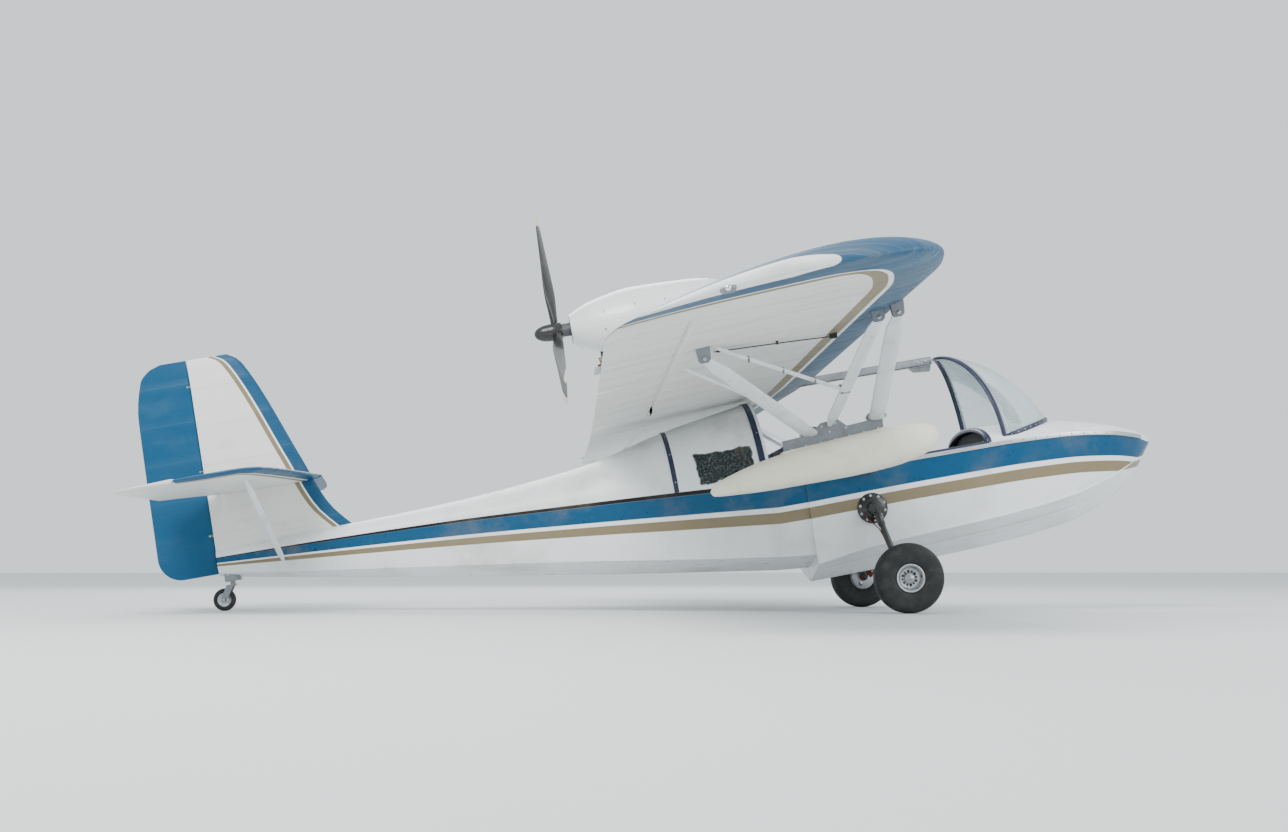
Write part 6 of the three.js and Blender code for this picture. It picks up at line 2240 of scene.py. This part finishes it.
    def build_elevator(self) -> None:
        """Both elevator halves on one torque tube."""
        x, h = self.stab_hinge, self.stab_z
        inner = [np.linspace(0.062, 0.24, 9), np.linspace(0.26, self.span, 14)]
        y = rounded(np.concatenate(inner), self.tip, 9)
        rows = [0.062, 0.15, 0.20, 1.28, 1.38, 1.43, 1.45]
        trail = smooth(rows, [-4.36, -4.59, -4.686, -4.69, -4.66, -4.59, -4.50], y)[:, None]
        k = smooth([0.062, 1.29, 1.40, 1.45], [1, 0.93, 0.75, 0.4], y)[:, None]
        nose = self.elevator_nose
        section = self.moving(x, trail, nose + 0 * k, nose * k)
        ring = xyz(section[..., 0], y[:, None], h + section[..., 1])
        skin = tube(ring, np.stack([ring[..., 1], np.full(ring.shape[:-1], FAR)], -1))
        parts = [rod((x, -0.12, h), (x, 0.12, h), 0.016, 24, 1), skin, *mirrored([skin])]
        finishes, node = (SURFACE_FABRIC, POLISHED), ["elevator"]
        Workshop.add("elevator_skin", parts, finishes, "fabric_skin", "elevator", node)


# ---------------------------------------------------------------------------------------------
# Engine and propeller
# ---------------------------------------------------------------------------------------------
@dataclass
class EnginePod:
    """The engine's pylon and cowl above the wing, and the pusher propeller.

    Attributes:
        thrust_z: height of the propeller's axis.
        cowl_z: height of the cowl's middle line.
        wall: thickness of the cowl.
        nose_x: x of the cowl's front.
        length: how long the cowl is.
        prop_x: x of the hub's middle.
        blades: how many the propeller has.
        rings: each holds the cowl's x, half width and half height there.
    """

    thrust_z: float = 2.040
    cowl_z: float = 2.030
    wall: float = 0.010
    nose_x: float = -0.60
    length: float = 1.21
    prop_x: float = -1.915
    blades: int = 3
    rings: tuple[tuple[float, float, float], ...] = (
        (-1.81, 0.120, 0.105),
        (-1.65, 0.215, 0.175),
        (-1.35, 0.285, 0.225),
        (-0.95, 0.275, 0.215),
        (-0.70, 0.200, 0.160),
        (-0.60, 0.120, 0.095),
    )

    def build(self) -> None:
        """Builds the pylon, the cowl and the propeller."""
        self.build_pylon()
        self.build_cowl()
        self.build_propeller()

    @staticmethod
    def pylon_side(z: Array | float, out: float = 0.0) -> Array:
        """Half of the pylon's outline at each height.

        Args:
            z: the heights, with an axis for the outline's points if there are several.
            out: how far it is moved outwards.

        Returns:
            Its points, from the front to the rear.
        """
        x = -1.14 + 0.5 * np.cos(np.linspace(0, math.pi, 33))
        rows = [-1.64, -1.5, -1.1, -0.75, -0.665, -0.64]
        wide = smooth(rows, [0.004, 0.02, 0.062, 0.058, 0.026, 0.0005], x)
        return xyz(x, wide * (1.0 - 0.2 * (z - 1.4) / 0.472) + out, z)

    def build_pylon(self) -> None:
        """The pylon: its outline carried upwards, with two screwed bands round it."""
        half = self.pylon_side(np.linspace(1.40, 1.872, 9)[:, None])
        skin = tube(folded(half, slice(-2, 0, -1)))
        Workshop.add("pylon_skin", [skin], [GELCOAT], "gelcoat", replaces=["engine_pylon"])
        parts = []
        for s in SIDES.values():
            for height in (1.585, 1.835):
                band = self.pylon_side(height, 0.0012)[1:-1] * (1, s, 1)
                parts.append(sweep(band, oval(0.0016, 0.021, 14, 0.4)))
                screws = band[3:-2:4] + (0, 0.001 * s, 0)
                parts.append(bolts(screws, (0, s, 0), 0.0055, 0.003, 1, 10))
        Workshop.add("pylon_bands", parts, (NAVY_TRIM, BOLT_STEEL), "navy_trim")

    def cowl(self, x: Array, out: float = 0.0) -> Array:
        """The cowl's ring at each x, moved outwards."""
        wide, high = smooth_columns(self.rings, x)[..., None] + out
        ring = oval(1, 1, 64)
        return xyz(x[:, None], wide * ring[:, 0], self.cowl_z + high * ring[:, 1])

    def build_cowl(self) -> None:
        """The cowl, open at both ends, with seams, screws, a band and two exhaust pipes.

        Each pipe is solid and ends in a near-black disc that stands for its open bore: soot,
        and painted shade inside it.
        """
        x = self.nose_x - self.length * np.linspace(0, 1, 34) ** 1.25
        outer, inner = self.cowl(x), self.cowl(x, -self.wall)[::-1]
        lip = (outer[:1] + inner[-1:]) / 2 + (0.006, 0, 0)
        shell = Surface(np.concatenate([lip, outer, inner]), close_rows=True, close_columns=True)
        Workshop.add("cowl_shell", [shell], [GELCOAT], "gelcoat", replaces=["engine_cowl"])
        wide, high = smooth_columns(self.rings, x)
        parts = []
        for s in SIDES.values():
            seam = xyz(x, s * (wide + 0.0004), self.cowl_z)[3:31]
            parts.append(sweep(seam, oval(0.0012, 0.004, 8)))
            for angle in (0.32, -0.32):
                y, z = s * math.cos(angle), math.sin(angle)
                at = xyz(x, wide * y, self.cowl_z + high * z)[3:31:5]
                parts.append(bolts(at, (0, y, z), 0.0085, 0.0028, 1, 14))
            route = [(-1.40, 0.16, 1.90), (-1.45, 0.18, 1.84), (-1.55, 0.19, 1.79)]
            pipe = bend([*route, (-1.66, 0.19, 1.765)], 20) * (1, s, 1)
            parts.append(sweep(pipe, oval(0.024, 0.024, 22), finish=2))
            # A near-black disc just past the pipe's end: soot, and painted shade for the open bore
            parts.append(sweep(pipe[-2:] - (0.001, 0, 0), oval(0.0205, 0.0205, 22), finish=3))
        band = self.cowl(x[9:10], 0.0012)[0]
        band = np.concatenate([band, band[:2]])
        parts.append(sweep(band, oval(0.0012, 0.008, 8, 0.5), up=AHEAD, ends=False))
        # The dial face's near black serves the pipe ends here as soot and painted shade
        finishes = (GELCOAT, BOLT_STEEL, EXHAUST, DIAL_FACE)
        Workshop.add("cowl_fasteners", parts, finishes, "gelcoat")

    def build_propeller(self) -> None:
        """Twisted blades, each a thin section carried outwards, on a hub with a rounded spinner.

        A section is u = cos a * chord / 2, v = sin a * (1 - 0.22 cos a) * depth / 2 with more depth
        on one side, turned by the twist.
        """
        r = rounded(np.linspace(0.03, 0.80, 26), 0.05, 9)[:, None]
        rows = [0.03, 0.13, 0.30, 0.60, 0.80, 0.835, 0.85]
        chord = smooth(rows, [0.062, 0.080, 0.128, 0.112, 0.074, 0.058, 0.020], r)
        rows = [0.03, 0.13, 0.30, 0.60, 0.85]
        depth = smooth(rows, [0.044, 0.034, 0.022, 0.013, 0.006], r)
        twist = np.radians(smooth(rows, [40, 42, 33, 21, 15], r))
        a = np.arange(28) * TAU / 28
        u = 0.5 * np.cos(a) * chord
        thick = np.where(np.sin(a) > 0, 0.92, 0.72) * (1 - 0.22 * np.cos(a))
        v = 0.5 * np.sin(a) * thick * depth
        x, y = u * np.sin(twist) + v * np.cos(twist), u * np.cos(twist) - v * np.sin(twist)
        blade = xyz(x, y, r)
        parts, hub = [], np.array([self.prop_x, 0, self.thrust_z])
        for angle in np.arange(self.blades) * TAU / self.blades:
            c, s = math.cos(angle), math.sin(angle)
            placed = blade @ np.array([[1, 0, 0], [0, c, s], [0, -s, c]]) + hub
            parts += [tube(placed[:24]), tube(placed[23:], finish=1)]
        t = np.linspace(0, 1, 14)[1:]
        spinner = np.maximum(0.0605 * np.sqrt(np.maximum(1 - t**2.1, 0)), POLE)
        profile = [(0.041, POLE), (0.041, 0.058), (0.037, 0.062), (-0.036, 0.062)]
        profile += [(-0.041, 0.0605), *zip(-0.041 - 0.109 * t, spinner)]
        parts.append(turned(profile, hub, AHEAD, 56, ends=True))
        at = ring_of(6, 0.046, hub + (0.041, 0, 0), AHEAD)
        parts.append(bolts(at, AHEAD, 0.007, 0.005, 2))
        finishes = (BLADE, BLADE_TIP, BOLT_STEEL)
        Workshop.add(
            "propeller_blades", parts, finishes, "propeller_black", "propeller", ["propeller"]
        )


# ---------------------------------------------------------------------------------------------
# Windscreen and cockpit
# ---------------------------------------------------------------------------------------------
@dataclass
class Windscreen:
    """The arched clear screen, its navy edges and the beam that ties it to the wing.

    Attributes:
        apex: x and z of its top.
        hoop_x: x of its foot's rear ends.
        half_width: half the foot's width.
        reach: how far the foot reaches ahead of its ends.
        glass: thickness of the glass.
        beam_z: height of the beam.
    """

    apex: tuple[float, float] = (0.620, 1.420)
    hoop_x: float = 0.870
    half_width: float = 0.522
    reach: float = 0.430
    glass: float = 0.005
    beam_z: float = 1.408

    def outward(self, at: Array) -> Array:
        """Directions out of the screen at places on it."""
        return unit(at - (self.apex[0], 0, 0.76))

    def point(self, around: Array | float, rise: Array | float, inset: float = 0.0) -> Array:
        """Points of the screen.

        Its foot is half an ellipse on the deck. From there it rises to the apex, along a quarter
        circle at the sides and nearly straight in front. The share 0.3 + 0.7 |sin| mixes the two.

        Args:
            around: degrees round the nose, -90 to 90.
            rise: 0 at the deck to 1 at the apex.
            inset: how far the points are moved inwards.

        Returns:
            The points.
        """
        c, s = np.cos(np.radians(around)), np.sin(np.radians(around))
        full = 0.3 + 0.7 * np.abs(s)
        spread = full * np.cos(rise * QUARTER) + (1 - full) * (1 - rise)
        lift = full * np.sin(rise * QUARTER) + (1 - full) * rise
        (x, z), foot_z = self.apex, 0.77 + 0.09 * c
        foot_x, foot_y = self.hoop_x + self.reach * c, self.half_width * s
        p = xyz(x + (foot_x - x) * spread, foot_y * spread, foot_z + (z - foot_z) * lift)
        return p - self.outward(p) * inset

    def build(self) -> None:
        """Builds the screen, its edges and the overhead beam."""
        around, rise = np.linspace(-90, 90, 49)[:, None], np.linspace(-0.015, 0.965, 26)
        outer, inner = self.point(around, rise), self.point(around, rise[::-1], self.glass)
        shell = tube(np.concatenate([outer, inner], axis=1))
        Workshop.add(
            "clear_screen", [shell], [Glazing()], "clear_glazing", replaces=["windscreen"]
        )
        self.build_edges()
        self.build_beam()

    def hoop(self, around: float, inset: float) -> Array:
        """A path up one side of the screen and down the other."""
        rise = np.linspace(-0.015, 0.95, 24)
        sides = self.point(-around, rise, inset), self.point(around, rise[::-1], inset)
        return np.concatenate(sides)

    def build_edges(self) -> None:
        """Navy strips up the rear edge and along the foot, a bright rim, and screws."""
        foot = self.point(np.linspace(-90, 90, 60), 0.012, 0.001)
        screws = self.point(np.linspace(-84, 84, 25), 0.014, -0.0045)
        parts = [
            sweep(self.hoop(90.0, 0.0025), oval(0.011, 0.015, 18, 0.7), up=AHEAD),
            sweep(foot, oval(0.0075, 0.017, 16, 0.6)),
            sweep(self.hoop(87.5, -0.0015), oval(0.0018, 0.012, 12, 0.5), up=AHEAD, finish=1),
            bolts(screws, self.outward(screws), 0.0052, 0.003, 2, 10),
        ]
        for angle in (-86.0, 86.0):
            screws = self.point(angle, np.linspace(0.06, 0.88, 9), -0.003)
            parts.append(bolts(screws, self.outward(screws), 0.0045, 0.0025, 2, 10))
        finishes = (NAVY_TRIM, POLISHED, BOLT_STEEL)
        Workshop.add("screen_edges", parts, finishes, "navy_trim", replaces=["windscreen_trim"])

    def build_beam(self) -> None:
        """The squared beam from the screen to the wing, with bolts and a web under its front."""
        z = self.beam_z
        path = xyz([0.606, 0.600, -0.326, -0.33], 0, z)
        beam = [sweep(path, oval(0.026, 0.028, 24, 0.35), [0.9, 1, 1, 1])]
        for s in SIDES.values():
            at = xyz([0.56, 0.51, 0.02, -0.22], s * 0.026, z)
            beam.append(bolts(at, (0, s, 0), 0.009, 0.006, 1))
        web = [(0.60, 1.378), (0.44, 1.378), (0.47, 1.345), (0.585, 1.335)]
        beam.append(plate(web, -0.004, 0.004))
        finishes, node = (CHANNEL_GREY, BOLT_STEEL), ["overhead_tube"]
        Workshop.add("overhead_beam", beam, finishes, "grey_alloy", replaces=node)


@dataclass
class Cockpit:
    """Seats with padded cushions, the panel's dials, stick grips and pedals.

    Attributes:
        seat_y: y of the left seat's middle.
        seat_half: half a seat's width.
        floor_z: height of the floor.
        swell_most: the most that a point of a cushion moves when it swells.
        channel_deep: how deep the sewn channels are.
        panel_x: x of the instrument panel's rear face.
    """

    seat_y: float = 0.250
    seat_half: float = 0.220
    floor_z: float = 0.2925
    swell_most: float = 0.012
    channel_deep: float = 0.0055
    panel_x: float = 0.775

    def build(self, frame: dict[str, Any]) -> None:
        """Builds the cockpit's pieces, and gives the panel and the sticks their finishes."""
        Workshop.recolour(frame, PANEL_DARK, "instrument_panel")
        Workshop.recolour(frame, BLACK_PAINT, "control_sticks")
        pads = self.seat_pads()
        for side in SIDES:
            self.build_shell(side)
            self.place_pads(side, pads)
        for pad in pads:
            bpy.data.objects.remove(pad)
        self.build_dials()
        self.build_grips()

    def build_shell(self, side: str) -> None:
        """The moulded seat shell: one outline of its base and back, carried across its width.

        Args:
            side: left or right.
        """
        outline = [
            (0.074, self.floor_z), (0.082, 0.352), (0.070, 0.364), (-0.366, 0.344),
            (-0.408, 0.352), (-0.431, 0.390), (-0.548, 0.955), (-0.562, 0.972), (-0.588, 0.972),
            (-0.602, 0.958), (-0.470, self.floor_z),
        ]
        y, half = SIDES[side] * self.seat_y, self.seat_half - 0.004
        piece = new_mesh(f"seat_shell_{side}", [plate(outline, y - half, y + half)], Edge.CRISP)
        Workshop.paint(piece.data, COCKPIT_LINER)
        bevel = piece.modifiers.new("rounded", "BEVEL")
        bevel.width, bevel.segments, bevel.limit_method = 0.008, 3, "ANGLE"
        Workshop.fit(piece, "airframe", "seat_cloth", [f"seat_{side}"])

    @staticmethod
    def pillow(name: str, centre: Point, size: Point, tilt: float) -> bpy.types.Object:
        """A rounded closed block: cos and sin of two angles, each squared off, times half sizes.

        Args:
            name: the object's name.
            centre: its middle in level axes, for a seat on the centreline.
            size: length, width and thickness.
            tilt: turn about y, in radians.

        Returns:
            The object, square enough to swell into a cushion.
        """
        a = np.linspace(-QUARTER, QUARTER, 25)[:, None]
        ring = np.cos(a)[..., None] ** 0.35 * oval(1, 1, 72, 0.22)
        rise = np.sign(np.sin(a)) * np.abs(np.sin(a)) ** 0.6
        p = xyz(ring[..., 0], ring[..., 1], rise) * size / 2
        c, s = math.cos(tilt), math.sin(tilt)
        p = p @ np.array([[c, 0, s], [0, 1, 0], [-s, 0, c]]) + centre
        return new_mesh(name, [Surface(p, close_columns=True)], Edge.SOFT)

    def swell(self, piece: bpy.types.Object) -> None:
        """Lets a cushion swell as cloth under pressure for 20 frames, no point past the limit.

        Args:
            piece: the cushion.
        """
        remesh = piece.modifiers.new("remesh", "REMESH")
        remesh.mode, remesh.voxel_size = "VOXEL", 0.010
        bake(piece)
        rest = get_points(piece.data)
        cloth = piece.modifiers.new("cloth", "CLOTH").settings
        cloth.use_pressure, cloth.uniform_pressure_force = True, 4.0
        cloth.effector_weights.gravity = 0.0
        cloth.quality = 5
        scene = bpy.context.scene
        for number in range(1, 21):
            scene.frame_set(number)
        bake(piece)
        scene.frame_set(1)
        step = get_points(piece.data) - rest
        length = np.linalg.norm(step, axis=1, keepdims=True)
        step *= np.minimum(1, self.swell_most / np.maximum(length, 1e-9))
        set_points(piece.data, rest + step)

    def seat_pads(self) -> list[bpy.types.Object]:
        """Makes the seat and the back cushion on the centreline, swollen, with sewn channels."""
        specs = (
            ("seat_pad", (-0.158, 0, 0.392), (0.440, 0.408, 0.058), math.atan2(0.020, 0.45)),
            ("back_pad", (-0.452, 0, 0.690), (0.540, 0.398, 0.050), math.atan2(0.585, -0.120)),
        )
        pads = []
        for name, centre, size, tilt in specs:
            piece = self.pillow(name, centre, size, tilt)
            self.swell(piece)
            self.press_channels(piece, centre, tilt, size[0])
            pads.append(piece)
        return pads

    def press_channels(
        self, piece: bpy.types.Object, centre: Point, tilt: float, length: float
    ) -> None:
        """Presses four channels across a cushion: each point sinks by a bell round a seam line.

        Args:
            piece: the cushion.
            centre: its middle in level axes.
            tilt: its turn about y, in radians.
            length: how long it is.
        """
        smoother = piece.modifiers.new("rounder", "SUBSURF")
        smoother.levels = smoother.render_levels = 1
        bake(piece)
        c, s = math.cos(tilt), math.sin(tilt)
        middle = Placement.frame(centre)
        along, normal = Placement.frame([(c, 0, s), (-s, 0, c)]) - Placement.frame(np.zeros(3))
        points = get_points(piece.data)
        u, w = (points - middle) @ along, (points - middle) @ normal
        lines = np.array([-0.30, -0.10, 0.10, 0.30]) * length
        bell = np.exp(-(((u[:, None] - lines) / 0.006) ** 2)).sum(axis=1)
        depth = self.channel_deep * bell * np.sign(w) * np.clip(np.abs(w) / 0.02, 0, 1)
        set_points(piece.data, points - normal * depth[:, None])
        shade(piece.data, Edge.SOFT)

    def place_pads(self, side: str, pads: Sequence[bpy.types.Object]) -> None:
        """Sets copies of the cushions on one seat.

        Args:
            side: left or right.
            pads: the cushions on the centreline.
        """
        for pad in pads:
            mesh = pad.data.copy()
            set_points(mesh, get_points(mesh) + (0, SIDES[side] * self.seat_y, 0))
            mesh.materials.clear()
            piece = put(f"{pad.name}_{side}", mesh)
            Workshop.paint(mesh, SEAT_CLOTH)
            Workshop.fit(piece, "airframe", "seat_cloth")

    def build_dials(self) -> None:
        """Six round dials: turned bezels and faces, with plain radial marks and a needle."""
        centres = xyz(self.panel_x, (-0.33, -0.20, -0.07, 0.07, 0.20, 0.33), 0.742)
        aft = (-1.0, 0, 0)
        profile = [
            (-0.001, 0.046), (0.006, 0.046), (0.008, 0.0435), (0.008, 0.039), (0.003, 0.0375),
            (-0.001, 0.0375),
        ]
        bezel = turned(profile, centres, aft, 40, closed=True)
        face = turned([(0.0, 0.0385), (0.0025, 0.0385), (0.0027, POLE)], centres, aft, 40, 1)
        turn, radius = (np.arange(12) * TAU / 12)[:, None, None], np.array([[0.029], [0.0355]])
        wide = 0.0009 * np.array([-1, 1, 1, -1])
        x = -0.0032 + 0.0004 * np.array([-1, -1, 1, 1])
        y = radius * np.cos(turn) - wide * np.sin(turn)
        z = radius * np.sin(turn) + wide * np.cos(turn)
        marks = tube(xyz(x, y, z) + centres[:, None, None, None], finish=2)
        turn, hubs = np.linspace(0.4, 5.2, 6), centres - (0.0042, 0, 0)
        tips = hubs + 0.030 * xyz(0, np.cos(turn), np.sin(turn))
        needles = [rod(hub, tip, 0.0011, 8, 2) for hub, tip in zip(hubs, tips)]
        corners = xyz(self.panel_x, [-0.44, -0.44, 0.44, 0.44], [0.66, 0.80, 0.66, 0.80])
        screws = bolts(corners, aft, 0.006, 0.003, 0, 10)
        finishes = (BLACK_PAINT, DIAL_FACE, DIAL_MARK)
        parts = [bezel, face, marks, *needles, screws]
        Workshop.add("panel_dials", parts, finishes, "panel_dark")

    def build_grips(self) -> None:
        """Ribbed stick grips, and two pairs of pedals on one bar in the footwell."""
        t = np.linspace(0, 1, 40)
        radius = 0.0190 + 0.0016 * np.sin(t * TAU * 4) * (t < 0.85) - 0.06 * np.maximum(t - 0.9, 0)
        radius[[0, -1]] = POLE
        grip = np.stack([0.118 * t, radius], -1)
        parts = []
        for seat in (self.seat_y, -self.seat_y):
            parts.append(turned(grip, (0.2435, seat, 0.606), (-0.16, 0, 0.987), 24, ends=True))
            for y in (seat - 0.09, seat + 0.09):
                pad = [(1.02, y, 0.40), (1.05, y, 0.46), (1.075, y, 0.52)]
                parts.append(sweep(pad, oval(0.045, 0.006, 20, 0.5), up=(0.5, 0, -0.2)))
                parts.append(rod((1.045, y, 0.45), (1.12, y, 0.36), 0.008, 12, 1))
        parts.append(rod((1.115, -0.36, 0.365), (1.115, 0.36, 0.365), 0.011, 16, 1))
        Workshop.add("grips_and_pedals", parts, (BLACK_PAINT, BOLT_STEEL), "black_paint")


# ---------------------------------------------------------------------------------------------
# Stage
# ---------------------------------------------------------------------------------------------
@dataclass
class Stage:
    """A plain pale floor, soft studio light and the camera, low on the right, a little behind.

    Attributes:
        camera_place: where the camera stands.
        look_at: what it is aimed at.
        light_at: what the lights are aimed at.
        lens: its focal length in millimetres.
        floor_half: half the floor's width.
        lights: each holds its name, place, size, power and colour.
    """

    camera_place: Point = (-0.6, -11.2, 0.30)
    look_at: Point = (-0.05, 0.0, 1.32)
    light_at: Point = (0.0, 0.0, 1.2)
    lens: float = 46.0
    floor_half: float = 60.0
    lights: tuple[tuple[str, Point, float, float, Colour], ...] = (
        ("key", (-5.0, -9.0, 9.0), 7.0, 1500.0, (1.0, 0.99, 0.96)),
        ("fill", (9.0, -6.0, 5.0), 7.0, 450.0, (0.94, 0.98, 1.0)),
        ("back", (-2.0, 10.0, 8.0), 8.0, 650.0, (0.95, 0.98, 1.0)),
    )

    def build(self) -> None:
        """Builds the floor, the lights and the camera."""
        self.build_floor()
        self.build_lights()
        self.build_camera()

    def build_floor(self) -> None:
        """A flat sheet far wider than the view."""
        h = self.floor_half
        mesh = bpy.data.meshes.new("floor")
        mesh.from_pydata([(-h, -h, 0), (h, -h, 0), (h, h, 0), (-h, h, 0)], [], [(0, 1, 2, 3)])
        floor = put("floor", mesh)
        s = Shader("studio_floor")
        pale = {"Base Color": (0.72, 0.735, 0.745), "Roughness": 0.85}
        mesh.materials.append(s.surface(pale))

    def build_lights(self) -> None:
        """A pale sky, and three wide lights: a key, a fill and one from behind."""
        world = bpy.data.worlds.new("studio")
        bpy.context.scene.world = world
        world.use_nodes = True
        sky = world.node_tree.nodes["Background"].inputs
        sky["Color"].default_value, sky["Strength"].default_value = (0.86, 0.92, 0.94, 1), 1.22
        for name, place, size, power, colour in self.lights:
            light = bpy.data.lights.new(name, "AREA")
            light.shape, light.size, light.energy, light.color = "DISK", size, power, colour
            self.aim(put(name, light), place, self.light_at)

    def build_camera(self) -> None:
        """The camera, aimed at the middle of the aircraft."""
        data = bpy.data.cameras.new("camera")
        data.lens, data.sensor_width, data.clip_end = self.lens, 36.0, 300.0
        camera = put("camera", data)
        self.aim(camera, self.camera_place, self.look_at)
        bpy.context.scene.camera = camera

    @staticmethod
    def aim(made: bpy.types.Object, place: Point, target: Point) -> None:
        """Sets a light or a camera in its place, turned to its target."""
        made.location = place
        view = Vector(target) - Vector(place)
        made.rotation_euler = view.to_track_quat("-Z", "Y").to_euler()


def main() -> None:
    """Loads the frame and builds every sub-assembly in order."""
    logging.basicConfig(level=logging.INFO, format="%(message)s")
    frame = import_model()
    Placement.read()
    Stage().build()
    Hull().build()
    RearBody().build()
    Windscreen().build()
    Wing().build()
    for side in SIDES:
        Struts(side).build()
        MainGear(side).build()
        Workshop.recolour(frame, CHANNEL_GREY, f"strut_fitting_{side}", f"float_channel_{side}")
    TailWheel().build()
    TailGroup().build()
    EnginePod().build()
    Workshop.recolour(frame, CHANNEL_GREY, "tail_wheel_bracket", "tail_wheel_fork")
    Workshop.recolour(frame, ENGINE_GREY, "engine_block")
    Cockpit().build(frame)


if __name__ == "__main__":
    main()
